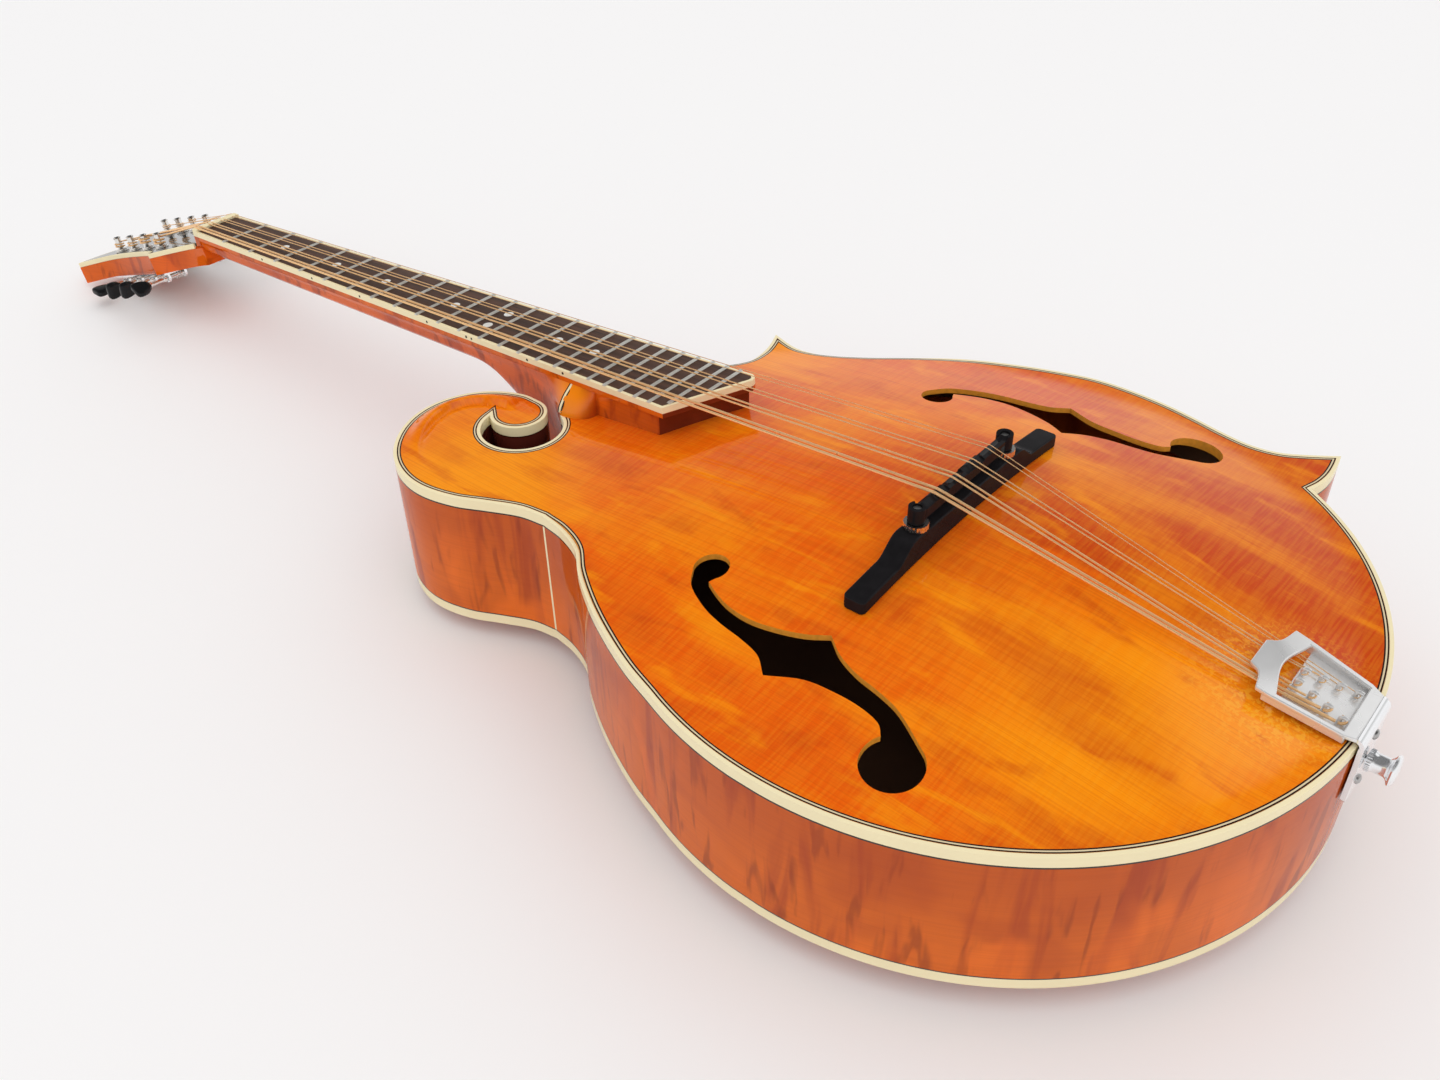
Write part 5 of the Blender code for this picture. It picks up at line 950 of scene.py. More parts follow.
# Spacing of the soundboard's points round its scroll, crease, lines and edge
SCROLL_RAILS = [5.2 * MM + 1.1 * MM * k for k in range(12)]
SCROLL_RAIL_SPACING = 2.0 * MM
CREASE_RAILS = [depth * MM for depth in (-3.6, -2.7, -1.9, -1.2, -0.6, 0.0, 0.6, 1.2, 1.9, 2.7, 3.6)]
CREASE_RAIL_SPACING = 1.5 * MM
CREASE_CLEARANCE = 4.2 * MM
LINE_CLEARANCE = 0.9 * MM
POINT_CLEARANCE = 2.2 * MM
EDGE_CLEARANCE = 5.5 * MM


class MANDOCELLO_OT_top(bpy.types.Operator):
    """Carve the soundboard with its f-holes, scroll ridge, crease and purfling."""

    bl_idname = "mandocello.top"
    bl_label = "Soundboard"

    def execute(self, context):
        sizes = context.scene.mandocello_sizes
        edge = plate_outline(BINDING_WIDTH)
        treble = f_hole()
        loops = [edge, treble, mirrored(treble)]
        third = sizes.purfling_width / 3
        lines = [plate_outline(BINDING_WIDTH + third * k) for k in (1, 2, 3)]
        rails = rails_at(SCROLL_RAILS, SCROLL_EDGE[:-8], loops, SCROLL_RAIL_SPACING)
        rails = [p for p, far in zip(rails, distances(rails, CREASE) > CREASE_CLEARANCE) if far]
        for depth in CREASE_RAILS:
            rails += thinned(mitred(CREASE, depth), CREASE_RAIL_SPACING)
        clear = inside(rails, [edge]) & (distances(rails, lines[2], True) > LINE_CLEARANCE)
        rails = [p for p, good in zip(rails, clear) if good]
        grid = grid_inside(loops, sizes.top_spacing, POINT_CLEARANCE)
        grid = np.array([p for p, good in zip(grid, distances(grid, edge, True) > EDGE_CLEARANCE) if good])
        apart = grid[:, None, :] - np.array(rails)[None, :, :]
        far = np.hypot(apart[..., 0], apart[..., 1]).min(1) > POINT_CLEARANCE
        inner = [tuple(p) for p in grid[far]] + rails
        mesh = between(loops, top_underside, top_surface, inner, (0, 1, 2), lines)
        tops = [face for face in mesh.polygons if face.material_index == 0]
        depth = distances([tuple(face.center)[:2] for face in tops], edge)
        for face, reach in zip(tops, depth):
            if reach < 3 * third:
                face.material_index = 4 if third < reach < 2 * third else 3
        finish = finishes("amber spruce", "spruce edge", "shaded wood", "black line", "white line")
        add_piece("top", mesh, finish, ["soundboard"], sharp=40)
        return {"FINISHED"}


class MANDOCELLO_OT_back(bpy.types.Operator):
    """Carve the arched back."""

    bl_idname = "mandocello.back"
    bl_label = "Back"

    def execute(self, context):
        edge = plate_outline(BINDING_WIDTH)
        inner = grid_inside([edge], 7 * MM, 3 * MM)
        mesh = between([edge], back_outside, back_inside, inner, (1, 0, 0))
        add_piece(
            "back_plate", placed(mesh, INSTRUMENT), finishes("back maple", "shaded wood"), ["back"],
            matrix=Matrix(),
        )
        return {"FINISHED"}


class MANDOCELLO_OT_sides(bpy.types.Operator):
    """Bend the five sides and set their bindings and black lines."""

    bl_idname = "mandocello.sides"
    bl_label = "Sides and Bindings"

    def execute(self, context):
        line = 0.7 * MM
        low = -RIM_DEPTH + BINDING_HEIGHT + line
        high = -BINDING_HEIGHT - line
        for name, path in (
            ("scroll", SCROLL_EDGE),
            ("bass", BASS_EDGE),
            ("treble_lower", TREBLE_LOWER_EDGE),
            ("treble_middle", TREBLE_MIDDLE_EDGE),
            ("treble_upper", TREBLE_UPPER_EDGE),
        ):
            inner = offset_path(path, RIB_THICKNESS)
            clear = distances(inner, RIM_PATH) > KEPT_SHARE * RIB_THICKNESS
            inner = [point for point, good in zip(inner, clear) if good]
            mesh = between([path + inner[::-1]], low, high)
            add_piece(
                f"side_{name}", mesh, finishes("rib maple"), [f"rib_{name}"], sharp=30
            )
        along = (Vector(BASS_EDGE[1]) - Vector(SCROLL_EDGE[-2])).normalized()
        outward = Vector((along.y, -along.x))
        corners = [(-0.6, -1.0), (0.6, -1.0), (0.6, 0.15), (-0.6, 0.15)]
        strip = [tuple(Vector(WAIST) + along * (a * MM) + outward * (b * MM)) for a, b in corners]
        add_piece("waist_seam", between([strip], low, high), finishes("cream"))
        outline = RIM_PATH + offset_path(RIM_PATH, BINDING_WIDTH)[::-1]
        for name, node, low_edge, high_edge in (
            ("top_binding", "binding_top", -BINDING_HEIGHT, 0.0),
            ("back_binding", "binding_back", -RIM_DEPTH, BINDING_HEIGHT - RIM_DEPTH),
        ):
            mesh = between([outline], low_edge, high_edge)
            softened(add_piece(name, mesh, finishes("cream"), [node]), 0.5 * MM)
        outline = RIM_PATH + offset_path(RIM_PATH, RIB_THICKNESS)[::-1]
        black = finishes("black line")
        add_piece("line_under_top", between([outline], high, -BINDING_HEIGHT), black)
        add_piece("line_over_back", between([outline], BINDING_HEIGHT - RIM_DEPTH, low), black)
        return {"FINISHED"}


class MANDOCELLO_OT_inside(bpy.types.Operator):
    """Finish the blocks, linings and tone bars inside the body."""

    bl_idname = "mandocello.inside"
    bl_label = "Blocks and Linings"

    def execute(self, context):
        for node in ("lining_top", "lining_back", "tail_block", "tone_bar_bass", "tone_bar_treble"):
            refinish(node, finish_named("shaded wood"))
        refinish("truss_rod", finish_named("steel"))
        # The slot's walls and the neck block are painted near black: painted shade in the hollow under the
        # heel
        loop = list(SLOT_WALL) + BUTTON_EDGE[1:]
        inner = mitred(loop, 2.5 * MM)
        low, high = -RIM_DEPTH + BINDING_HEIGHT, -BINDING_HEIGHT
        skin = between([loop + inner[::-1]], low, high)
        add_piece("slot_wall", skin, finishes("slot stain"), sharp=30)
        refinish("neck_block", finish_named("slot stain"))
        return {"FINISHED"}


# Neck


def board_underside(y):
    """Height of the fingerboard's lower face."""
    return BOARD_HEIGHT - y * math.tan(NECK_ANGLE) - BOARD_THICKNESS / math.cos(NECK_ANGLE)


def board_half_width(distance):
    """Half the fingerboard's width at a distance from the nut."""
    last_fret = SCALE_LENGTH * (1 - 2 ** (-FRET_COUNT / 12))
    widening = BOARD_WIDTH_AT_LAST_FRET - BOARD_WIDTH_AT_NUT
    return (BOARD_WIDTH_AT_NUT + widening * distance / last_fret) / 2


def smooth_step(value):
    """Rise from 0 to 1 without a corner at either end."""
    value = min(1.0, max(0.0, value))
    return value * value * (3 - 2 * value)


BOARD_THICKNESS = 6.8 * MM
BOARD_WIDTH_AT_NUT = 35.8 * MM
BOARD_WIDTH_AT_LAST_FRET = 55.0 * MM
BOARD_END_BASS_Y = 166.0 * MM
BOARD_END_TREBLE_Y = 143.5 * MM
BOARD_CORNER_RADIUS = 5.0 * MM
BOARD_BINDING = 2.0 * MM
BOARD_BINDING_HEIGHT = 4.0 * MM
FRET_COUNT = 24
FRET_END_SHARE = 0.45
FRET_END = 0.45 * MM
FRET_SEAT = 0.15 * MM
DOT_FRETS = (3, 5, 7, 10, 12, 15, 17)
OCTAVE_FRET = 12
OCTAVE_DOT_X = 8.5 * MM
OCTAVE_MARK_SHIFT = 2.4 * MM
NECK_DEPTH_AT_NUT = 14.4 * MM
NECK_DEPTH_AT_HEEL = 19.0 * MM
HEEL_START_Y = 332.0 * MM
HEEL_FOOT_Y = 268.0 * MM
HEEL_WAIST = 22.5 * MM
HEEL_CAP_HALF_WIDTH = 9.0 * MM
SHOULDER_DEPTH = 15.0 * MM
RISER_END_BASS_Y = 171.0 * MM
RISER_END_TREBLE_Y = 149.0 * MM
RISER_HALF_WIDTH = 24.5 * MM
OVERLAY_THICKNESS = 2.0 * MM
HEAD_THICKNESS = 16.5 * MM
WOOD_BACK = -HEAD_THICKNESS
HEAD_BINDING_HEIGHT = 3.6 * MM
HEAD_BINDING = 2.0 * MM
HEAD_START = 7.0 * MM
NUT_RISE = 2.3 * MM
NUT_CROWN = 0.9 * MM
NUT_SEAT = -10.3 * MM


def heel_bottom(y):
    """Lowest height of the neck at a station."""
    along = (NUT_Y - y) / (NUT_Y - HEEL_START_Y)
    depth = NECK_DEPTH_AT_NUT + (NECK_DEPTH_AT_HEEL - NECK_DEPTH_AT_NUT) * min(1.0, along)
    plain = board_underside(y) - depth
    if y >= HEEL_START_Y:
        return plain
    drop = min(1.0, (HEEL_START_Y - y) / (HEEL_START_Y - HEEL_FOOT_Y))
    return plain + (-RIM_DEPTH - plain) * drop**2.6


def neck_section(y, steps=6):
    """Rounded cross-section of the neck at a station, from its bass edge round to its treble edge."""
    top = board_underside(y)
    bottom = heel_bottom(y)
    width = board_half_width((NUT_Y - y) / math.cos(NECK_ANGLE))
    heel = smooth_step((HEEL_START_Y - y) / (HEEL_START_Y - HEEL_FOOT_Y))
    flare = max(0.0, 1 - (y - JOINT_Y) / (34 * MM)) ** 2
    waist = HEEL_WAIST + (HEEL_HALF_WIDTH - HEEL_WAIST) * flare
    shoulder_depth = min(SHOULDER_DEPTH, 0.45 * (top - bottom))
    shoulder = top - shoulder_depth
    upper = (width + 2 * (0.89 * width + (waist - 0.89 * width) * heel)) / 3
    levels = [(width, top), (upper, top - 0.42 * shoulder_depth)]
    rest = bottom - shoulder
    for share, plain, heel_share in (
        (0.0, 0.89, 1.0),
        (0.22, 0.82, 0.94),
        (0.5, 0.69, 0.8),
        (0.78, 0.48, 0.6),
        (0.95, 0.24, 0.46),
    ):
        foot = HEEL_WAIST + (waist - HEEL_WAIST) * (1 - share)
        heel_width = max(foot * heel_share, HEEL_CAP_HALF_WIDTH)
        levels.append((plain * width + (heel_width - plain * width) * heel, shoulder + share * rest))
    knots = [(-x, z) for x, z in levels] + [(0.0, bottom)] + [(x, z) for x, z in reversed(levels)]
    return [(x, y, z) for x, z in curve_through(knots, steps)]


def neck_into_head(distance):
    """Cross-section of the neck where it runs under the nut into the headstock."""
    blend = smooth_step(distance / (26 * MM))
    width = BOARD_WIDTH_AT_NUT / 2 - 0.2 * MM
    start = neck_section(NUT_Y)
    points = []
    top = -OVERLAY_THICKNESS - GAP - 0.2 * MM
    for k, (x, _, z) in enumerate(start):
        share = k / (len(start) - 1)
        square_x = max(-width, min(width, -width * math.cos(math.pi * share) * 1.275))
        depth = (start[0][2] - z) / (start[0][2] - start[len(start) // 2][2])
        head_z = top + (WOOD_BACK + 0.3 * MM - top) * min(1.0, depth * 1.1)
        plain_z = top - (start[0][2] - z) * 0.95
        point = Vector((x + (square_x - x) * blend, distance, plain_z + (head_z - plain_z) * blend))
        points.append(HEAD_TO_BODY @ point)
    return points


def head_outline():
    """Outline of the headstock, in its own frame, from the bass side of the nut round the top."""
    half = BOARD_WIDTH_AT_NUT / 2
    bass = curve_through(
        scaled([(-29.5, 60.0), (-28.0, 78.0), (-28.0, 108.0), (-32.0, 133.0), (-46.0, 158.0)]), 8
    )
    crest = curve_through(scaled([(-46.0, 158.0), (-30.0, 157.0), (-14.0, 152.0), (0.0, 152.0)]), 6)
    lobe = curve_through(
        scaled([(0.0, 152.0), (8.0, 162.0), (20.0, 169.93), (33.0, 165.0), (38.0, 153.0), (33.0, 143.0)]), 8
    )
    treble = curve_through(
        scaled([(33.0, 143.0), (28.5, 130.0), (28.0, 108.0), (28.0, 78.0), (29.5, 60.0)]), 8
    )
    ear = curve_through([(half, 0.0)] + scaled([(20.0, 16.0), (27.0, 34.0), (36.0, 51.0)]), 8)
    left_ear = [(-x, y) for x, y in ear]
    return join(left_ear, [left_ear[-1]] + bass, crest, lobe, treble, [treble[-1]] + ear[::-1])


def inset_head(amount):
    """Head outline moved inwards and cut off square behind the nut."""
    outline = head_outline()
    path = offset_path(outline, -amount) if amount else outline
    return [p for p in path if p[1] > HEAD_START + 1.5 * MM]


def squared(path):
    """Path closed across the head behind the nut."""
    return [(path[0][0], HEAD_START)] + path + [(path[-1][0], HEAD_START)]


POST_X = 20.86 * MM
FIRST_POST = 56.6 * MM
POST_SPACING = 23.8 * MM
POST_RADIUS = 3.0 * MM


def post_places():
    """Post positions in the headstock's frame, bass side first, from the nut upwards."""
    return [(side * POST_X, FIRST_POST + k * POST_SPACING, side) for side in (-1, 1) for k in range(4)]


def riser_section(y_bass, y_treble, top_half, foot_half, lift=0.0, grow=0.0):
    """One cross-section of the riser, from the bass top round the foot to the treble top."""
    sides = [(top_half, 1.0), (0.75 * top_half + 0.25 * foot_half, 0.86)]
    sides += [((top_half + 2 * foot_half) / 3, 0.62), (0.2 * top_half + 0.8 * foot_half, 0.4)]
    sides += [(foot_half, 0.2), (foot_half, 0.0)]
    outline = [(-w - grow, share) for w, share in sides] + [(-foot_half / 2, 0.0), (0.0, 0.0)]
    outline += [(foot_half / 2, 0.0)] + [(w + grow, share) for w, share in reversed(sides)]
    points = []
    for x, share in outline:
        y = y_bass + (y_treble - y_bass) * (x + RISER_HALF_WIDTH) / (2 * RISER_HALF_WIDTH)
        low = TOP_ARCH * float(arch_share([(x, y)])[0]) - 0.4 * MM
        points.append((x, y, low + share * (board_underside(y) - low) + lift))
    return points


class MANDOCELLO_OT_neck(bpy.types.Operator):
    """Shape the neck with its heel and headstock, and the rounded riser under the board's end."""

    bl_idname = "mandocello.neck"
    bl_label = "Neck"

    def execute(self, context):
        stations = list(np.linspace(JOINT_Y + GAP / 2, HEEL_START_Y + 8 * MM, 30))
        stations += list(np.linspace(HEEL_START_Y + 20 * MM, NUT_Y - 8 * MM, 12)) + [NUT_Y - GAP]
        sections = [neck_section(y) for y in stations]
        sections += [neck_into_head(distance * MM) for distance in (3, 6, 9, 12, 16, 20, 24, 28)]
        neck = loft(sections)
        holes = [circle((x, y), POST_RADIUS + 0.6 * MM, 20) for x, y, _ in post_places()]
        slab = placed(between([head_outline(), *holes], WOOD_BACK, -HEAD_BINDING_HEIGHT), HEAD_TO_BODY)
        core = squared(inset_head(HEAD_BINDING))
        upper = between([core, *holes], -HEAD_BINDING_HEIGHT - 0.2 * MM, -OVERLAY_THICKNESS)
        wood = placed(bunch([neck, slab, placed(upper, HEAD_TO_BODY)]), INSTRUMENT)
        finish = finishes("neck maple")
        add_piece("neck_and_head", wood, finish, ["neck"], matrix=Matrix(), sharp=30)
        start = JOINT_Y - GAP / 2
        length = 17 * MM
        flush = board_half_width((NUT_Y - JOINT_Y) / math.cos(NECK_ANGLE))
        sections = []
        for step in range(13):
            turn = step / 12
            y = start - length * math.sin(turn * math.pi / 2)
            swell = math.cos(turn * math.pi / 2)
            top_half = RISER_HALF_WIDTH + (flush - RISER_HALF_WIDTH) * swell
            foot_half = RISER_HALF_WIDTH + (HEEL_HALF_WIDTH - RISER_HALF_WIDTH) * swell
            sections.append(riser_section(y, y, top_half, foot_half))
        for step in range(1, 9):
            y_bass = start - length + (RISER_END_BASS_Y - start + length) * step / 8
            y_treble = start - length + (RISER_END_TREBLE_Y - start + length) * step / 8
            sections.append(riser_section(y_bass, y_treble, RISER_HALF_WIDTH, RISER_HALF_WIDTH))
        mesh = loft(sections)
        # The riser's end face, under the board's overhang, takes the darker maple: painted shade
        run = Vector((-RISER_END_BASS_Y + RISER_END_TREBLE_Y, -2 * RISER_HALF_WIDTH, 0.0)).normalized()
        for face in mesh.polygons:
            face.material_index = int(face.normal.dot(run) > 0.9 and face.center.y < RISER_END_BASS_Y)
        finish = finishes("heel maple", "dark maple")
        add_piece("riser", mesh, finish, ["extension_riser"])
        self.add_seam()
        return {"FINISHED"}

    def add_seam(self):
        """Cream line with dark edges over each shoulder, where the heel meets the body."""
        bands = []
        for low, high, proud in ((-1.5, -0.7, 0.08), (-0.7, 0.7, 0.12), (0.7, 1.5, 0.08)):
            strips = []
            for side in (-1, 1):
                path = [(side * abs(x), z) for x, _, z in neck_section(JOINT_Y) if x < 0 and z > 0.2 * MM]
                sections = []
                for x, z in path:
                    outer, inner = x + side * proud * MM, x - side * 1.2 * MM
                    start, end = JOINT_Y + low * MM, JOINT_Y + high * MM
                    sections.append([(outer, start, z), (outer, end, z), (inner, end, z), (inner, start, z)])
                strips.append(loft(sections))
            bands.append(bunch(strips))
        form = gathered([bands[1], bunch([bands[0], bands[2]])])
        add_piece("shoulder_seam", form, finishes("cream", "black line"), sharp=60)


def board_end_y(x):
    """Position of the slanted end of the fingerboard, in the board's frame."""
    half = board_half_width(NUT_Y - BOARD_END_BASS_Y)
    y = BOARD_END_BASS_Y + (BOARD_END_TREBLE_Y - BOARD_END_BASS_Y) * (x + half) / (2 * half)
    return -(NUT_Y - y) / math.cos(NECK_ANGLE)


def board_edge():
    """Edge of the bound fingerboard, in its frame, from the treble side of the nut round to the bass side."""
    half_start = BOARD_WIDTH_AT_NUT / 2
    half_end = board_half_width(NUT_Y - BOARD_END_TREBLE_Y)
    half_bass = board_half_width(NUT_Y - BOARD_END_BASS_Y)
    centre = (half_end - BOARD_CORNER_RADIUS, board_end_y(half_end) + BOARD_CORNER_RADIUS * 1.35)
    slant = math.atan2(board_end_y(half_bass) - board_end_y(-half_bass), 2 * half_bass)
    corner = arc(centre, BOARD_CORNER_RADIUS, 0.0, -math.pi / 2 + slant, 10)
    return [(half_start, 0.0)] + corner + [(-half_bass, board_end_y(-half_bass)), (-half_start, 0.0)]


def fret_distance(number):
    """Distance of a fret from the nut."""
    return SCALE_LENGTH * (1 - 2 ** (-number / 12))


def fret_reach(number):
    """Bass and treble ends of a fret across the board."""
    distance = fret_distance(number)
    half = board_half_width(distance)
    bass = -half
    while board_end_y(bass) > -distance - 2.2 * MM and bass < half:
        bass += 0.25 * MM
    return bass, half


def nut_top(points):
    """Rounded upper face of the nut."""
    return NUT_RISE - NUT_CROWN * ((points[:, 1] - NUT_LENGTH / 2) / (NUT_LENGTH / 2)) ** 2


def inset_strip(edge, amount):
    """The board's edge moved inwards, square at the nut."""
    strip = offset_path(edge, -amount)
    return [(strip[0][0], 0.0)] + strip[1:-1] + [(strip[-1][0], 0.0)]


class MANDOCELLO_OT_board(bpy.types.Operator):
    """Make the bound fingerboard with its frets and dots."""

    bl_idname = "mandocello.board"
    bl_label = "Fingerboard"

    def execute(self, context):
        sizes = context.scene.mandocello_sizes
        place = INSTRUMENT @ BOARD_TO_BODY
        edge = board_edge()
        board = between([inset_strip(edge, BOARD_BINDING)], -BOARD_THICKNESS, 0.0)
        frets = []
        for number in range(1, FRET_COUNT + 1):
            bass, treble = fret_reach(number)
            sections = []
            ends = ((bass, FRET_END_SHARE), (bass + FRET_END, 1.0))
            ends += ((treble - FRET_END, 1.0), (treble, FRET_END_SHARE))
            for x, share in ends:
                half = sizes.fret_width / 2
                profile = [(-half, -FRET_SEAT), (half, -FRET_SEAT)]
                profile += [
                    (half * math.cos(t), sizes.fret_crown * share * math.sin(t))
                    for t in np.linspace(0.15, math.pi - 0.15, 7)
                ]
                sections.append([(x, y - fret_distance(number), z) for y, z in profile])
            frets.append(loft(sections))
        dots = []
        for number in DOT_FRETS:
            middle = -(fret_distance(number - 1) + fret_distance(number)) / 2
            spots = (-OCTAVE_DOT_X, OCTAVE_DOT_X) if number == OCTAVE_FRET else (0.0,)
            for x in spots:
                dots.append(between([circle((x, middle), sizes.dot_radius, 28)], -0.3 * MM, 0.03 * MM))
        form = gathered([board, bunch(frets), bunch(dots)])
        add_piece(
            "board", form, finishes("rosewood", "fret nickel", "pearl"), ["fingerboard"],
            matrix=place, sharp=50,
        )
        outline = [edge + inset_strip(edge, BOARD_BINDING)[::-1]]
        strip = between(outline, -BOARD_BINDING_HEIGHT, -0.12 * MM)
        wood = between(outline, -BOARD_THICKNESS, -BOARD_BINDING_HEIGHT)
        marks = []
        for number in (*DOT_FRETS, OCTAVE_FRET):
            middle = -(fret_distance(number - 1) + fret_distance(number)) / 2
            half = board_half_width(-middle)
            side = 1 if len(marks) % 2 else -1
            shift = OCTAVE_MARK_SHIFT * side if number == OCTAVE_FRET else 0.0
            depth = 0.4 * MM
            profile = [(0, 0.12 * MM), (0.9 * MM, 0.08 * MM), (0.9 * MM, -depth), (0, -depth)]
            spot = Matrix.Translation((-half, middle + shift, -BOARD_BINDING_HEIGHT / 2))
            marks.append(placed(turned(profile, 14), spot @ Matrix.Rotation(-math.pi / 2, 4, "Y")))
        form = gathered([strip, bunch(marks), wood])
        # The wood strip's end face at the board's end takes the darker maple: painted shade
        run = Vector((board_end_y(half) - board_end_y(-half), -2 * half, 0.0)).normalized()
        for face in form.polygons:
            if face.material_index == 2 and face.normal.dot(run) > 0.9:
                face.material_index = 3
        finish = finishes("cream", "black plastic", "heel maple", "dark maple")
        band = add_piece(
            "board_binding", form, finish, ["fingerboard_binding"], matrix=place
        )
        softened(band, 0.3 * MM)
        self.add_nut(place)
        return {"FINISHED"}

    def add_nut(self, place):
        """Nut, with the neck's wood showing below its cream face."""
        half = BOARD_WIDTH_AT_NUT / 2
        start, end = 0.15 * MM, NUT_LENGTH - 0.15 * MM
        outline = [(-half, start), (half, start), (half, end), (-half, end)]
        inner = [(x * half / 8, y * NUT_LENGTH) for x in range(-7, 8) for y in (0.3, 0.5, 0.7)]
        face = between([outline], -BOARD_BINDING_HEIGHT, nut_top, inner)
        wood = between([outline], lambda p: NUT_SEAT - math.tan(HEAD_ANGLE) * p[:, 1], -BOARD_BINDING_HEIGHT)
        form = gathered([face, wood])
        finish = finishes("ivory", "heel maple")
        piece = add_piece("nut_face", form, finish, ["nut"], matrix=place)
        softened(piece, 0.2 * MM)


class MANDOCELLO_OT_head(bpy.types.Operator):
    """Face the headstock in black with its binding and bushings."""

    bl_idname = "mandocello.head"
    bl_label = "Headstock"

    def execute(self, context):
        place = INSTRUMENT @ HEAD_TO_BODY
        holes = [circle((x, y), POST_RADIUS + 0.6 * MM, 24) for x, y, _ in post_places()]
        face = between([squared(inset_head(HEAD_BINDING)), *holes], -OVERLAY_THICKNESS, 0.0)
        profile = [(4.2, -0.5), (5.0, 0.2), (5.0, 0.8), (4.3, 1.1)]
        profile += [(4.3, 1.8), (4.0, 2.0), (3.35, 2.0), (3.3, -0.5)]
        rings = []
        for x, y, _ in post_places():
            turns = [2 * math.pi * k / 32 for k in range(32)]
            section = [
                [(x + r * MM * math.cos(t), y + r * MM * math.sin(t), z * MM) for r, z in profile]
                for t in turns
            ]
            rings.append(loft(section, closed=True))
        form = gathered([face, bunch(rings)])
        add_piece(
            "head_face", form, finishes("black lacquer", "nickel"), ["head_overlay"],
            matrix=place, sharp=40,
        )
        outer = squared(inset_head(0.0))
        ring = outer[1:-1] + squared(inset_head(HEAD_BINDING))[1:-1][::-1]
        band = add_piece(
            "head_edge", between([ring], -HEAD_BINDING_HEIGHT, 0.0), finishes("cream"), ["head_binding"],
            matrix=place,
        )
        softened(band, 0.4 * MM)
        return {"FINISHED"}


# Bridge

BRIDGE_Y = 2.0 * MM
BRIDGE_HALF_LENGTH = 86.4 * MM
BRIDGE_WIDTH = 11.5 * MM
BRIDGE_SEAT_HEIGHT = 31.6 * MM
BRIDGE_SEAT_HALF_LENGTH = 46.0 * MM
BRIDGE_WING_START = 60.0 * MM
BRIDGE_WING_THICKNESS = 6.6 * MM
BRIDGE_POST_X = 38.3 * MM
BRIDGE_POST_RADIUS = 2.0 * MM
THUMBWHEEL_HEIGHT = 3.0 * MM
SADDLE_WIDTH = 5.4 * MM
SADDLE_EAR_RADIUS = 4.2 * MM
SADDLE_EAR_TOP = 43.2 * MM
SADDLE_STEPS = (1.1, -1.1, 1.2, -1.2)
SADDLE_EAR_INSET = 3.2 * MM
SADDLE_FALL = 1.3 * MM
SADDLE_FALL_LIMIT = 1.2
STRING_CLEARANCE = 0.25 * MM
STRING_HEIGHT_AT_SADDLE = 43.26 * MM


def rounded_bar(half_length, half_width, radius, steps):
    """Outline of a bar with rounded corners, centred on the saddle line."""
    loop = []
    for sx, sy, start in ((1, 1, 0.0), (-1, 1, 0.5), (-1, -1, 1.0), (1, -1, 1.5)):
        centre = (sx * (half_length - radius), BRIDGE_Y + sy * (half_width - radius))
        loop += arc(centre, radius, start * math.pi, (start + 0.5) * math.pi, steps)
    return loop


def bridge_top(points):
    """Upper face of the bridge base."""
    reach = np.abs(points[:, 0])
    wing = BRIDGE_WING_THICKNESS + TOP_ARCH * arch_share([(x, BRIDGE_Y) for x in points[:, 0]]) + GAP
    share = np.clip((reach - BRIDGE_SEAT_HALF_LENGTH) / (BRIDGE_WING_START - BRIDGE_SEAT_HALF_LENGTH), 0, 1)
    return BRIDGE_SEAT_HEIGHT + (wing - BRIDGE_SEAT_HEIGHT) * share * share * (3 - 2 * share)


def saddle_top(points):
    """Crest of the saddle, stepped under each pair of strings."""
    inner_end = BRIDGE_POST_X - SADDLE_EAR_INSET
    pair = np.clip(np.round((points[:, 0] / STRING_SPREAD_AT_SADDLE + 1) * 1.5), 0, 3).astype(int)
    ridge = BRIDGE_Y + np.array(SADDLE_STEPS)[pair] * MM
    fall = np.abs(points[:, 1] - ridge) / (SADDLE_WIDTH / 2)
    peak = STRING_HEIGHT_AT_SADDLE - max(STRING_DIAMETERS) / 2 - STRING_CLEARANCE
    crest = peak - SADDLE_FALL * np.minimum(fall, SADDLE_FALL_LIMIT)
    return np.where(np.abs(points[:, 0]) > inner_end, SADDLE_EAR_TOP, crest)


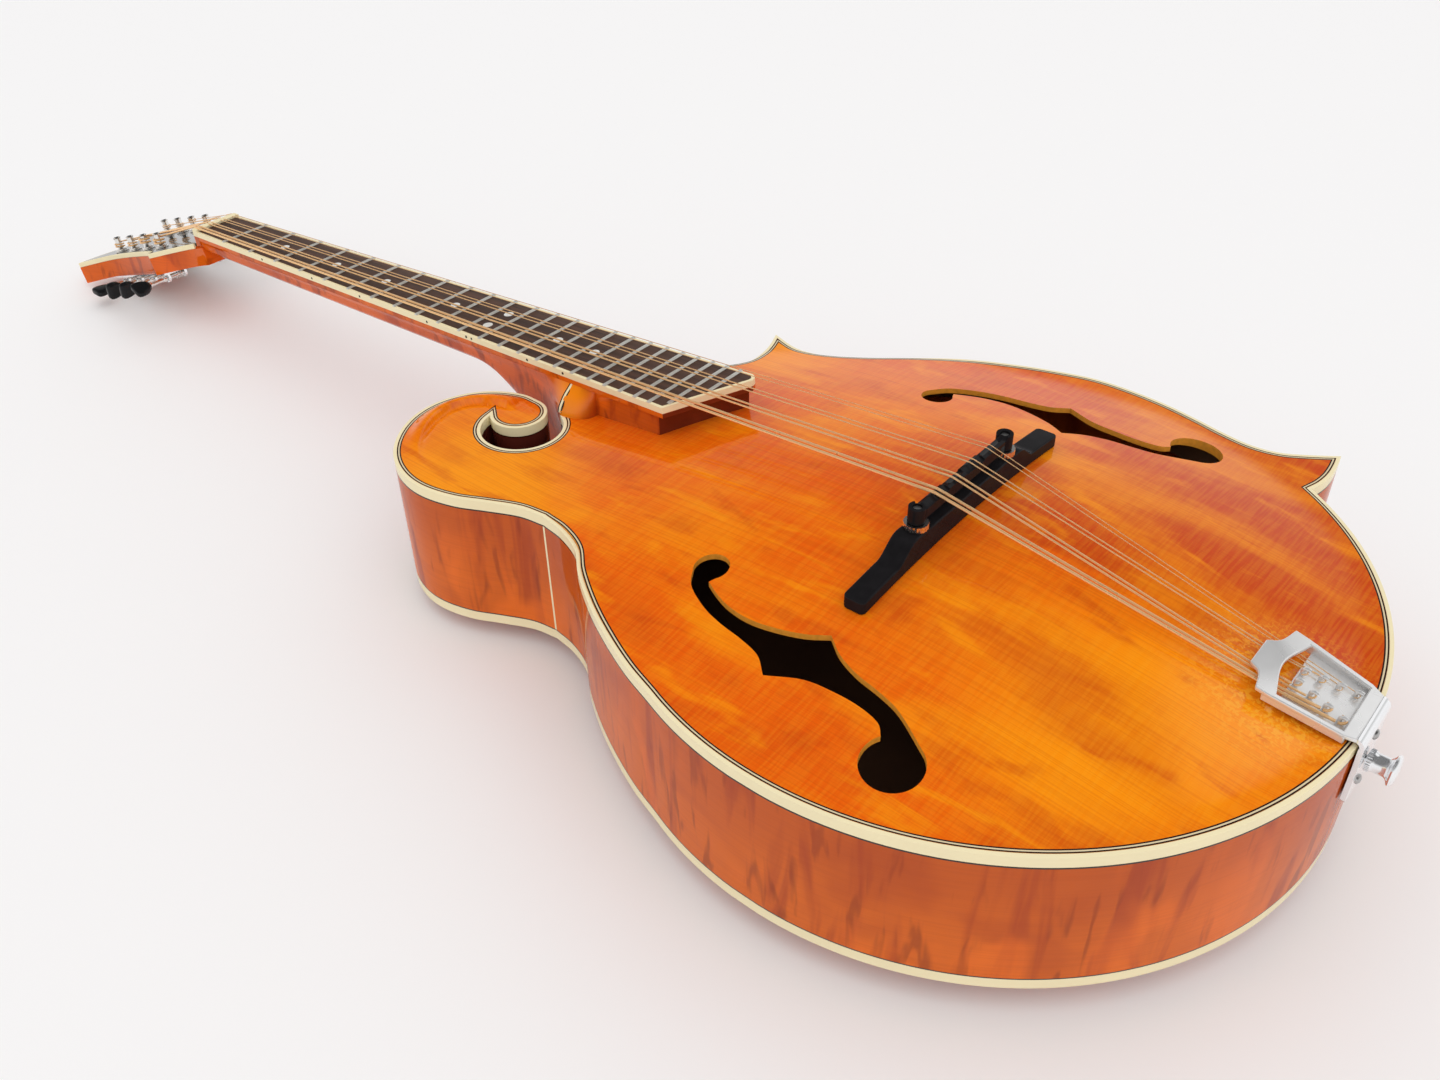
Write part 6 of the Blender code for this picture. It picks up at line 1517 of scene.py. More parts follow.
class MANDOCELLO_OT_bridge(bpy.types.Operator):
    """Make the ebony bridge with its posts, thumbwheels and stepped saddle."""

    bl_idname = "mandocello.bridge"
    bl_label = "Bridge"

    def execute(self, context):
        half = BRIDGE_WIDTH / 2
        corners = rounded_bar(BRIDGE_HALF_LENGTH, half, 2.5 * MM, 6)
        long_sides = [(x * MM, BRIDGE_Y + s * half) for x in range(-80, 81, 2) for s in (-1, 1)]
        loop = sorted(corners + long_sides, key=lambda p: math.atan2((p[1] - BRIDGE_Y) * 8, p[0]))
        holes = [circle((s * BRIDGE_POST_X, BRIDGE_Y), BRIDGE_POST_RADIUS + 0.1 * MM, 20) for s in (-1, 1)]
        inner = [(x * MM, BRIDGE_Y + y * MM) for x in range(-82, 83, 2) for y in (-2.5, 2.5)]
        inner = [p for p in inner if abs(abs(p[0]) - BRIDGE_POST_X) > 4 * MM]
        seat = between([loop, *holes], lambda p: TOP_ARCH * arch_share(p) + GAP, bridge_top, inner)
        base = add_piece("bridge_foot", seat, finishes("ebony"), ["bridge_base"], sharp=40)
        softened(base, 0.6 * MM)
        for side in ("bass", "treble"):
            refinish(f"bridge_post_{side}", finish_named("steel"), 0.3 * MM)
            refinish(f"thumbwheel_{side}", finish_named("nickel"), 0.2 * MM)
        low = BRIDGE_SEAT_HEIGHT + THUMBWHEEL_HEIGHT + 2 * GAP
        thin = SADDLE_WIDTH / 2
        ear = math.asin(thin / SADDLE_EAR_RADIUS)
        right = arc((BRIDGE_POST_X, BRIDGE_Y), SADDLE_EAR_RADIUS, ear - math.pi, math.pi - ear, 24)
        left = [(-x, y) for x, y in reversed(right)]
        thirds = (-2 / 3, 0, 2 / 3)
        steps = [STRING_SPREAD_AT_SADDLE * (share + shift) for share in thirds for shift in (-0.004, 0.004)]
        stations = sorted([x * MM for x in range(-34, 35, 2)] + steps, reverse=True)
        loop = right + [(x, BRIDGE_Y + thin) for x in stations] + left
        loop += [(x, BRIDGE_Y - thin) for x in reversed(stations)]
        holes = [circle((s * BRIDGE_POST_X, BRIDGE_Y), BRIDGE_POST_RADIUS + 0.3 * MM, 20) for s in (-1, 1)]
        ridge = [(x, BRIDGE_Y + shift * MM) for x in stations for shift in (-1.1, 1.1)]
        crest = between([loop, *holes], low, saddle_top, ridge)
        finish = finishes("ebony")
        bar = add_piece("stepped_saddle", crest, finish, ["saddle"], "saddle", sharp=30)
        softened(bar, 0.25 * MM, 2, 40)
        return {"FINISHED"}


# Tailpiece

SHIELD_TIP_Y = -145.0 * MM
SHIELD_TIP_HALF_WIDTH = 8.5 * MM
SHIELD_CORNER_Y = -152.6 * MM
SHIELD_CORNER_HALF_WIDTH = 22.2 * MM
TAILPIECE_REAR_HALF_WIDTH = 15.6 * MM
TAILPIECE_FRONT_HEIGHT = 13.4 * MM
TAILPIECE_DECK = 2.0 * MM
TAILPIECE_RAIL = 2.8 * MM
TAILPIECE_SIDE_DEPTH = 5.5 * MM
TAILPIECE_FLOOR = 1.3 * MM
TAILPIECE_PLATE = 2.2 * MM
TAILPIECE_BEND = 4.6 * MM
TAILPIECE_SLOPE = 0.2225
TAILPIECE_LIFT = 0.6 * MM
TAILPIECE_DROP = 34.0 * MM
WINDOW_FRONT_Y = -160.5 * MM
WINDOW_REAR_Y = -188.0 * MM
WINDOW_BOW = 4.5 * MM
HOOK_FRONT = (4.0 * MM, -163.4 * MM)
HOOK_REAR = (9.4 * MM, -184.4 * MM)
HOOK_HEIGHT = 4.0 * MM
HOOK_RADIUS = 1.1 * MM
STRAP_BUTTON_Z = -17.0 * MM
STRAP_BUTTON_RADIUS = 7.2 * MM
STRAP_BUTTON_LENGTH = 12.94 * MM
TAIL_SCREW_HEIGHTS = (-3.0 * MM, -29.5 * MM)
TAIL_SCREW_RADIUS = 2.4 * MM
STRING_DIAMETERS = (1.88 * MM, 1.32 * MM, 0.86 * MM, 0.56 * MM)
STRING_NAMES = ("c", "g", "d", "a")
STRING_SPREAD_AT_NUT = 14.25 * MM
STRING_SPREAD_AT_SADDLE = 23.1 * MM
PAIR_GAP_AT_NUT = 2.8 * MM
PAIR_GAP_AT_SADDLE = 3.2 * MM
STRING_HEIGHT_AT_NUT = 1.3 * MM
NUT_LENGTH = 6.0 * MM
SHIELD_SCALLOP = curve_through(
    [
        (SHIELD_TIP_HALF_WIDTH, SHIELD_TIP_Y),
        (SHIELD_TIP_HALF_WIDTH + 4.0 * MM, SHIELD_TIP_Y - 5.0 * MM),
        (SHIELD_CORNER_HALF_WIDTH, SHIELD_CORNER_Y),
    ],
    10,
)


def tailpiece_top(points):
    """Upper face of the tailpiece, falling towards the tail."""
    points = np.asarray(points, float)
    return TAILPIECE_FRONT_HEIGHT - TAILPIECE_SLOPE * np.maximum(0.0, SHIELD_CORNER_Y - points[:, 1])


def shield_front(x):
    """Position of the shield's front edge at a distance from the centre line."""
    return float(np.interp(x, [p[0] for p in SHIELD_SCALLOP], [p[1] for p in SHIELD_SCALLOP]))


def tray_low(points):
    """Underside of the tray between the tailpiece's rails."""
    return np.maximum(tailpiece_top(points) - TAILPIECE_SIDE_DEPTH, TAILPIECE_LIFT)


def tray_top(points):
    """Upper face of the tray, which the hooks stand on."""
    return tray_low(points) + TAILPIECE_FLOOR


def hook_places():
    """Hooks in two rows that spread towards the tail, front pair first."""
    places = []
    for k in range(4):
        share = k / 3
        x = HOOK_FRONT[0] + (HOOK_REAR[0] - HOOK_FRONT[0]) * share
        y = HOOK_FRONT[1] + (HOOK_REAR[1] - HOOK_FRONT[1]) * share
        places += [(-x, y), (x, y)]
    return places


class MANDOCELLO_OT_tailpiece(bpy.types.Operator):
    """Make the chromed tailpiece with its window, hooks, tail plate, screws and strap button."""

    bl_idname = "mandocello.tailpiece"
    bl_label = "Tailpiece"

    def execute(self, context):
        rear = TAILPIECE_REAR_HALF_WIDTH
        outer_y = TAIL_Y - GAP - TAILPIECE_PLATE
        deck_end = outer_y + TAILPIECE_BEND * (1 - math.sin(math.atan(TAILPIECE_SLOPE)))
        waist = (SHIELD_CORNER_HALF_WIDTH - 0.4 * MM, WINDOW_FRONT_Y)
        right = SHIELD_SCALLOP + [waist, (rear + 3 * MM, WINDOW_REAR_Y), (rear + 0.4 * MM, deck_end)]
        outline = [(-x, y) for x, y in right] + right[::-1]
        front_half = waist[0] - TAILPIECE_RAIL
        rear_half = rear + 3 * MM - TAILPIECE_RAIL
        bow_top = (0.0, WINDOW_FRONT_Y + WINDOW_BOW)
        bow = curve_through([(front_half, WINDOW_FRONT_Y), bow_top, (-front_half, WINDOW_FRONT_Y)], 12)
        window = bow + [(-rear_half, WINDOW_REAR_Y), (rear_half, WINDOW_REAR_Y)]
        deck = between([outline, window], lambda p: tailpiece_top(p) - TAILPIECE_DECK, tailpiece_top)
        satin = finishes("satin chrome")
        deck = add_piece("tail_shield", deck, satin, ["tailpiece"], sharp=40)
        softened(deck, 0.5 * MM, 3)
        floor_front = WINDOW_FRONT_Y - 1.0 * MM
        floor_loop = [
            (-waist[0] + 1 * MM, floor_front),
            (-rear - 2 * MM, WINDOW_REAR_Y - 1.5 * MM),
            (rear + 2 * MM, WINDOW_REAR_Y - 1.5 * MM),
            (waist[0] - 1 * MM, floor_front),
        ]
        tray = [between([floor_loop], tray_low, tray_top)]
        for side in (-1, 1):
            rail = [
                (side * (waist[0] - 0.2 * MM), floor_front + 6 * MM),
                (side * (rear + 2.8 * MM), WINDOW_REAR_Y - 1.4 * MM),
                (side * (rear_half + 0.8 * MM), WINDOW_REAR_Y - 1.4 * MM),
                (side * (front_half + 0.8 * MM), floor_front + 6 * MM),
            ]
            tray.append(
                between([rail], lambda p: tray_low(p) + 0.2 * MM, lambda p: tailpiece_top(p) - 1.0 * MM)
            )
        casting = add_piece("tail_tray", bunch(tray), satin)
        softened(casting, 0.3 * MM)
        hooks = []
        for x, y in hook_places():
            foot = float(tray_top([(x, y)])[0])
            bend = 1.6 * MM
            arc_points = [
                (x, y - bend + bend * math.cos(t), foot + HOOK_HEIGHT - bend + bend * math.sin(t))
                for t in np.linspace(0, 0.75 * math.pi, 8)
            ]
            path = [(x, y, foot - 0.4 * MM), (x, y, foot + 1 * MM), *arc_points]
            hooks.append(round_wire(path, 0.95 * MM, 10))
        add_piece("tail_hooks", bunch(hooks), satin, sharp=60)
        self.make_plate(outer_y, rear, deck_end)
        self.make_button()
        return {"FINISHED"}

    def make_plate(self, outer_y, rear, deck_end):
        """Plate down the tail, rolled over into the deck, with its screws."""
        half = rear - 2.0 * MM
        corner = 3.0 * MM
        low = -TAILPIECE_DROP
        lower = arc((-half + corner, low + corner), corner, math.pi, 1.5 * math.pi, 8)
        lower += arc((half - corner, low + corner), corner, 1.5 * math.pi, 2 * math.pi, 8)
        tilt = math.atan(TAILPIECE_SLOPE)
        centre_y = outer_y + TAILPIECE_BEND
        centre_z = float(tailpiece_top([(0.0, deck_end)])[0]) - TAILPIECE_BEND * math.cos(tilt)
        wide = rear + 0.2 * MM
        profile = lower + [(half + 0.4 * MM, -12 * MM), (wide, -3.0 * MM), (wide, centre_z)]
        profile += [(-wide, centre_z), (-wide, -3.0 * MM), (-half - 0.4 * MM, -12 * MM)]
        upright = Matrix.Translation((0.0, TAIL_Y - GAP, 0.0)) @ Matrix.Rotation(math.pi / 2, 4, "X")
        sheet = placed(between([profile], 0.0, TAILPIECE_PLATE), upright)
        sections = []
        inner = TAILPIECE_BEND - 1.9 * MM
        for t in np.linspace(0, math.pi / 2 - tilt, 13):
            out_y, out_z = centre_y - TAILPIECE_BEND * math.cos(t), centre_z + TAILPIECE_BEND * math.sin(t)
            in_y, in_z = centre_y - inner * math.cos(t), centre_z + inner * math.sin(t)
            wide = rear + 0.3 * MM
            outer = [(-wide, out_y, out_z), (wide, out_y, out_z)]
            sections.append(outer + [(wide, in_y, in_z), (-wide, in_y, in_z)])
        roll = loft(sections)
        plate = add_piece("tail_plate", bunch([sheet, roll]), finishes("chrome"), sharp=40)
        softened(plate, 0.4 * MM)
        head = TAILPIECE_PLATE
        turns = np.linspace(0, 1.5, 7)
        dome = [(TAIL_SCREW_RADIUS * math.sin(t), head + 1.5 * MM * math.cos(t)) for t in turns]
        profile = [(0.0, dome[0][1])] + dome[1:]
        profile += [(TAIL_SCREW_RADIUS, head), (1.2 * MM, 0.3 * MM), (0.0, 0.3 * MM)]
        for name, z in zip(("upper", "lower"), TAIL_SCREW_HEIGHTS):
            screw = add_piece(
                f"tail_screw_{name}", placed(turned(profile, 24), Matrix.Translation((0, z, 0))),
                finishes("steel"), [f"tailpiece_screw_{name}"],
                matrix=INSTRUMENT @ upright, sharp=50,
            )
            softened(screw, 0.1 * MM)

    def make_button(self):
        """Turned strap button with its collar and domed end."""
        outer = TAILPIECE_PLATE + GAP
        reach = outer + STRAP_BUTTON_LENGTH
        radius = STRAP_BUTTON_RADIUS
        profile = [(0.0, reach)]
        profile += [(radius * 0.55, reach - 0.15 * MM), (radius * 0.8, reach - 0.6 * MM)]
        profile += [(radius * 0.95, reach - 1.2 * MM), (radius, reach - 1.9 * MM)]
        profile += [(radius * 0.96, reach - 2.6 * MM), (radius * 0.8, reach - 3.2 * MM)]
        profile += [(4.9 * MM, reach - 3.7 * MM), (4.4 * MM, reach - 4.6 * MM), (4.3 * MM, outer + 4.0 * MM)]
        profile += [(4.4 * MM, outer + 3.4 * MM), (4.7 * MM, outer + 2.9 * MM), (4.8 * MM, outer + 2.4 * MM)]
        profile += [(4.8 * MM, outer + 0.5 * MM), (4.5 * MM, outer + 0.1 * MM)]
        profile += [(1.8 * MM, outer), (1.8 * MM, GAP), (0.0, GAP)]
        place = Matrix.Translation((0.0, TAIL_Y - GAP, STRAP_BUTTON_Z)) @ Matrix.Rotation(math.pi / 2, 4, "X")
        knurls = []
        for k in range(28):
            turn = 2 * math.pi * k / 28
            ridge = between([circle((4.8 * MM, 0.0), 0.28 * MM, 6)], outer + 0.5 * MM, outer + 2.4 * MM)
            knurls.append(placed(ridge, Matrix.Rotation(turn, 4, "Z")))
        form = bunch([turned(profile, 48), *knurls])
        add_piece(
            "strap_peg", form, finishes("chrome"), ["strap_button"],
            matrix=INSTRUMENT @ place, sharp=40,
        )


# Tuners

POST_HEIGHT = 11.5 * MM
CAPSTAN_RADIUS = 2.4 * MM
BUSHING_HEIGHT = 2.0 * MM
PLATE_SHEET = 1.2 * MM
PLATE_HALF_WIDTH = 9.5 * MM
PLATE_MARGIN = 13.0 * MM
GEAR_TEETH = 14
GEAR_MODULE = 0.6 * MM
GEAR_THICKNESS = 2.6 * MM
TOOTH_BACKLASH = 0.3 * MM
WORM_RADIUS = 2.2 * MM
WORM_TURNS = 2.5
WORM_SHAFT_RADIUS = 1.4 * MM
OUTER_BEARING = 7.2 * MM
INNER_BEARING = -6.3 * MM
BEARING_SHEET = 1.8 * MM
BUTTON_MIDDLE = 30.0 * MM
PEG_LENGTH = 13.0 * MM
PEG_WIDTH = 13.0 * MM
PEG_THICKNESS = 5.2 * MM
PEG_TURNS = (0.7, -1.1, 1.9)
PITCH = math.pi * GEAR_MODULE
GEAR_RADIUS = GEAR_TEETH * GEAR_MODULE / 2
WORM_OFFSET = GEAR_RADIUS + WORM_RADIUS
PLATE_BACK = WOOD_BACK - GAP - PLATE_SHEET
WORM_Z = PLATE_BACK - GAP - WORM_RADIUS - GEAR_MODULE


def gear_outline():
    """Outline of the gear wheel, with a tooth gap towards the nut."""
    half_tip = 0.175 * MM
    half_root = (PITCH / 2 - TOOTH_BACKLASH) / 2 + 0.16 * MM
    tip = GEAR_RADIUS + GEAR_MODULE
    root = GEAR_RADIUS - 1.2 * GEAR_MODULE
    loop = []
    for k in range(GEAR_TEETH):
        middle = -math.pi / 2 + (k + 0.5) * 2 * math.pi / GEAR_TEETH
        for radius, half in ((root, -half_root), (tip, -half_tip), (tip, half_tip), (root, half_root)):
            angle = middle + half / radius
            loop.append((radius * math.cos(angle), radius * math.sin(angle)))
    return loop


def post_form():
    """Post with its waist, slotted head and gear wheel."""
    gear_low = WORM_Z - GEAR_THICKNESS / 2
    gear_high = WORM_Z + GEAR_THICKNESS / 2
    shaft = turned(
        [
            (0.0, POST_HEIGHT - 0.6 * MM),
            (POST_RADIUS - 1.2 * MM, POST_HEIGHT - 0.5 * MM),
            (POST_RADIUS - 0.6 * MM, POST_HEIGHT),
            (POST_RADIUS - 0.15 * MM, POST_HEIGHT - 0.2 * MM),
            (POST_RADIUS, POST_HEIGHT - 0.7 * MM),
            (CAPSTAN_RADIUS + 0.1 * MM, POST_HEIGHT - 1.2 * MM),
            (CAPSTAN_RADIUS - 0.1 * MM, POST_HEIGHT / 2),
            (CAPSTAN_RADIUS + 0.1 * MM, BUSHING_HEIGHT + 0.8 * MM),
            (POST_RADIUS, BUSHING_HEIGHT),
            (POST_RADIUS, gear_high),
            (1.6 * MM, gear_low),
            (1.5 * MM, gear_low - 0.9 * MM),
            (0.0, gear_low - 1.0 * MM),
        ],
        28,
    )
    gear = between([gear_outline()], gear_low, gear_high)
    return gathered([shaft, gear])


def worm_form():
    """Worm and shaft of one metal, with the button of plastic on the end."""
    root = WORM_RADIUS - 0.7 * MM
    half = WORM_TURNS * PITCH / 2
    shaft = turned(
        [
            (0.0, BUTTON_MIDDLE),
            (WORM_SHAFT_RADIUS, BUTTON_MIDDLE),
            (WORM_SHAFT_RADIUS, OUTER_BEARING + BEARING_SHEET + 3.4 * MM),
            (2.1 * MM, OUTER_BEARING + BEARING_SHEET + 2.8 * MM),
            (2.1 * MM, OUTER_BEARING + BEARING_SHEET + 0.9 * MM),
            (WORM_SHAFT_RADIUS, OUTER_BEARING + BEARING_SHEET + 0.4 * MM),
            (WORM_SHAFT_RADIUS, half + 0.8 * MM),
            (root, half + 0.5 * MM),
            (root, INNER_BEARING + BEARING_SHEET + GAP),
            (WORM_SHAFT_RADIUS, INNER_BEARING + BEARING_SHEET + GAP),
            (WORM_SHAFT_RADIUS, INNER_BEARING - 0.5 * MM),
            (0.0, INNER_BEARING - 0.5 * MM),
        ],
        20,
    )
    sections = []
    around = 20
    for k in range(int(WORM_TURNS * around) + 1):
        turn = 2 * math.pi * (k / around - WORM_TURNS / 2)
        across = (turn - math.pi / 2) / (2 * math.pi) * PITCH
        section = []
        for radius, shift in ((root - 0.4 * MM, -0.5), (WORM_RADIUS + 0.5 * MM, -0.17),
                              (WORM_RADIUS + 0.5 * MM, 0.17), (root - 0.4 * MM, 0.5)):
            section.append((radius * math.cos(turn), radius * math.sin(turn), across + shift * MM))
        sections.append(section)
    metal = placed(bunch([shaft, loft(sections)]), Matrix.Rotation(math.pi / 2, 4, "Y"))
    collar = turned(
        [
            (0.0, BUTTON_MIDDLE - PEG_LENGTH / 2 + 0.5 * MM),
            (2.3 * MM, BUTTON_MIDDLE - PEG_LENGTH / 2 + 0.5 * MM),
            (2.3 * MM, BUTTON_MIDDLE - PEG_LENGTH / 2 - 0.6 * MM),
            (1.8 * MM, BUTTON_MIDDLE - PEG_LENGTH / 2 - 1.6 * MM),
            (0.0, BUTTON_MIDDLE - PEG_LENGTH / 2 - 1.6 * MM),
        ],
        20,
    )
    metal = bunch([metal, placed(collar, Matrix.Rotation(math.pi / 2, 4, "Y"))])
    outline = [(-1.0, 0.34, 0.75), (-0.93, 0.40, 0.9), (-0.72, 0.60, 1.0), (-0.42, 0.82, 1.0)]
    outline += [(-0.1, 0.95, 1.0), (0.25, 1.0, 1.0), (0.6, 0.985, 1.0), (0.82, 0.9, 0.95)]
    outline += [(0.94, 0.78, 0.78), (1.0, 0.6, 0.5)]
    rings = []
    for share, grow, thick in outline:
        x = BUTTON_MIDDLE + share * PEG_LENGTH / 2
        wide, deep = PEG_WIDTH / 2 * grow, PEG_THICKNESS / 2 * thick
        ring = []
        for k in range(32):
            turn = 2 * math.pi * k / 32
            c, s = math.cos(turn), math.sin(turn)
            ring.append((x, wide * math.copysign(abs(c) ** 0.55, c), deep * math.copysign(abs(s) ** 0.45, s)))
        rings.append(ring)
    return gathered([metal, loft(rings)])


class MANDOCELLO_OT_tuners(bpy.types.Operator):
    """Make the geared tuners: plates, posts with gear wheels, worms and buttons."""

    bl_idname = "mandocello.tuners"
    bl_label = "Tuners"

    def execute(self, context):
        level = NECK_ANGLE + HEAD_ANGLE + REST_PITCH
        head = INSTRUMENT @ HEAD_TO_BODY
        for k, (x, y, side) in enumerate(post_places()):
            turn = side * (PEG_TURNS + (level,))[k % 4]
            label = f"{'bass' if side < 0 else 'treble'}_{k % 4 + 1}"
            half_tooth = 0.0 if side > 0 else math.pi / GEAR_TEETH
            spin = Matrix.Rotation(half_tooth - side * turn / GEAR_TEETH, 4, "Z")
            post = f"tuner_post_{label}"
            place = head @ Matrix.Translation((x, y, 0.0)) @ spin
            finish = finishes("nickel", "brass")
            add_piece(f"post_{label}", post_form(), finish, [post], post, place)
            heading = Matrix.Rotation(0.0 if side > 0 else math.pi, 4, "Z") @ Matrix.Rotation(turn, 4, "X")
            place = head @ (Matrix.Translation((x, y - WORM_OFFSET, WORM_Z)) @ heading)
            button = f"tuner_button_{label}"
            finish = finishes("nickel", "black plastic")
            add_piece(f"peg_{label}", worm_form(), finish, [button], button, place, 40)
        for label, side in (("bass", -1), ("treble", 1)):
            plate, screws = self.plate_form(side)
            add_piece(
                f"plate_{label}", gathered([plate, screws]), finishes("chrome", "steel"),
                [f"tuner_plate_{label}"], matrix=INSTRUMENT @ HEAD_TO_BODY, sharp=40,
            )
        return {"FINISHED"}

    def plate_form(self, side):
        """Back plate of one side with its bearings, and its screws."""
        first = FIRST_POST - PLATE_MARGIN
        last = FIRST_POST + 3 * POST_SPACING + PLATE_MARGIN
        centre = side * (POST_X + 1.5 * MM)
        low, high = centre - PLATE_HALF_WIDTH, centre + PLATE_HALF_WIDTH
        clip = 4 * MM
        loop = [(low + clip, first), (high - clip, first), (high, first + clip), (high, last - clip)]
        loop += [(high - clip, last), (low + clip, last), (low, last - clip), (low, first + clip)]
        spots = [(side * POST_X, FIRST_POST + k * POST_SPACING) for k in range(4)]
        holes = [circle(spot, POST_RADIUS + 0.3 * MM, 20) for spot in spots]
        forms = [between([loop, *holes], PLATE_BACK, WOOD_BACK - 0.02 * MM)]
        size = WORM_SHAFT_RADIUS + 0.3 * MM + 1.4 * MM
        for k in range(4):
            y = FIRST_POST + k * POST_SPACING - WORM_OFFSET
            outline = arc((y, WORM_Z), size, -math.pi, 0.0, 14)
            outline += [(y + size, PLATE_BACK + 0.5 * MM), (y - size, PLATE_BACK + 0.5 * MM)]
            bore = circle((y, WORM_Z), WORM_SHAFT_RADIUS + 0.15 * MM, 16)
            for place in (INNER_BEARING, OUTER_BEARING):
                middle = side * (POST_X + place + BEARING_SHEET / 2)
                stand = Matrix(
                    ((0, 0, 1, middle - BEARING_SHEET / 2), (1, 0, 0, 0), (0, 1, 0, 0), (0, 0, 0, 1))
                )
                forms.append(placed(between([outline, bore], 0.0, BEARING_SHEET), stand))
        profile = [(0, 1.1 * MM), (0.9 * MM, 0.95 * MM), (1.6 * MM, 0.4 * MM), (1.8 * MM, 0.0), (0, 0.0)]
        head = turned(profile, 18)
        between_posts = [FIRST_POST + share * POST_SPACING for share in (1.2, 2.2)]
        screws = []
        for y in (first + 4 * MM, *between_posts, last - 4 * MM):
            spot = Matrix.Translation((centre - side * 5.5 * MM, y, PLATE_BACK))
            screws.append(placed(head.copy(), spot @ Matrix.Rotation(math.pi, 4, "X")))
        return bunch(forms), bunch(screws)


# Strings

STRING_WRAPS = 2
STRING_SHARE = 0.78
WRAP_STEPS = 20
WRAP_CLEARANCE = 0.45 * MM
WRAP_HEIGHTS = (7.9 * MM, 9.45 * MM, 7.2 * MM, 7.2 * MM)
HOOKED_HEIGHT = 1.7 * MM


def string_places():
    """Each string's name, radius, places at the nut and saddle, and its tuner's side and number."""
    strings = []
    for course, (name, diameter) in enumerate(zip(STRING_NAMES, STRING_DIAMETERS)):
        share = -1 + 2 * course / 3
        side = -1 if course < 2 else 1
        for k, outward in ((1, side), (2, -side)):
            at_nut = share * STRING_SPREAD_AT_NUT + outward * PAIR_GAP_AT_NUT / 2
            at_saddle = share * STRING_SPREAD_AT_SADDLE + outward * PAIR_GAP_AT_SADDLE / 2
            order = (0 if course in (0, 3) else 2) + k - 1
            strings.append((f"{name}{k}", diameter / 2, at_nut, at_saddle, side, order))
    return strings


def spaced(start, end, count):
    """Points from one point to another, without the last."""
    return [start + (end - start) * k / count for k in range(count)]


class MANDOCELLO_OT_strings(bpy.types.Operator):
    """String the instrument from hooks to posts, over the saddle."""

    bl_idname = "mandocello.strings"
    bl_label = "Strings"

    def execute(self, context):
        sides = context.scene.mandocello_sizes.wire_sides
        hooks = hook_places()
        for name, radius, at_nut, at_saddle, side, order in string_places():
            hook_x, hook_y = hooks[2 * (3 - order) + (0 if side < 0 else 1)]
            outward = side * (HOOK_RADIUS + radius + GAP)
            foot = float(tray_top([(hook_x, hook_y)])[0])
            hook_end = Vector((hook_x + outward, hook_y + 1 * MM, foot + HOOKED_HEIGHT + radius))
            under_x = hook_end.x * 0.8 + at_saddle * 0.2
            under_z = TAILPIECE_FRONT_HEIGHT - TAILPIECE_DECK - GAP - radius
            under = Vector((under_x, shield_front(abs(under_x)) - 0.5 * MM, under_z))
            shown = radius * STRING_SHARE
            saddle = Vector((at_saddle, BRIDGE_Y, STRING_HEIGHT_AT_SADDLE))
            front = BOARD_TO_BODY @ Vector((at_nut, 0.0, STRING_HEIGHT_AT_NUT + radius))
            behind = BOARD_TO_BODY @ Vector((at_nut, NUT_LENGTH, STRING_HEIGHT_AT_NUT + radius))
            tail = spaced(hook_end, under, 4) + spaced(under, saddle, 24) + [saddle]
            wire = round_wire(tail, shown, sides)
            loop = self.ball_loop(hook_end, Vector((hook_x, hook_y, 0.0)), shown, side, sides)
            self.add_string(f"string_{name}_tail", [wire, loop], tail[0], saddle, [])
            wraps = self.wraps(side, order, radius)
            speaking = spaced(saddle, front, 40) + [front, behind] + wraps
            wire = round_wire(speaking, shown, sides)
            self.add_string(f"string_{name}", [wire], front, saddle, [f"string_{name}"])
        return {"FINISHED"}

    def add_string(self, name, wires, fixed_end, moving_end, nodes):
        """One length of string."""
        mesh = bunch(wires)
        piece = add_piece(name, mesh, finishes("bronze"), nodes, None, sharp=180)
        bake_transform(piece)

    def ball_loop(self, start, hook, radius, side, sides):
        """The string's end looped round its hook."""
        reach = abs(start.x - hook.x)
        points = []
        for k in range(15):
            turn = (0.0 if side > 0 else math.pi) - side * math.pi * k / 14
            across, along = reach * math.cos(turn), reach * math.sin(turn) * 1.1
            points.append((hook.x + across, hook.y + along, start.z - 0.2 * MM))
        return round_wire(points, radius * 0.9, sides)

    def wraps(self, side, order, radius):
        """The string's turns round its post."""
        place = [p for p in post_places() if p[2] == side][order]
        reach = CAPSTAN_RADIUS + radius + WRAP_CLEARANCE / 2
        pitch = 2 * radius + WRAP_CLEARANCE
        start = math.pi if side > 0 else 0.0
        points = []
        for k in range(STRING_WRAPS * WRAP_STEPS + 1):
            turn = start - side * 2 * math.pi * k / WRAP_STEPS
            height = WRAP_HEIGHTS[order] - pitch * k / WRAP_STEPS
            wrap = Vector((place[0] + reach * math.cos(turn), place[1] + reach * math.sin(turn), height))
            points.append(HEAD_TO_BODY @ wrap)
        return points


# Studio

CAMERA_PLACE = (-0.4574, -0.2401, 0.3905)
CAMERA_RIGHT = (0.6401, -0.7681, -0.0168)
CAMERA_DOWN = (-0.4753, -0.3787, -0.7942)
CAMERA_AHEAD = (0.6037, 0.5163, -0.6075)
HORIZON_FALL = (0.12, 0.68, 0.95, 0.05)
WINDOW_DIRECTION = (0.678, -0.331, 0.656)
WINDOW_FALL = (0.20, 0.42, 0.95, 0.0)


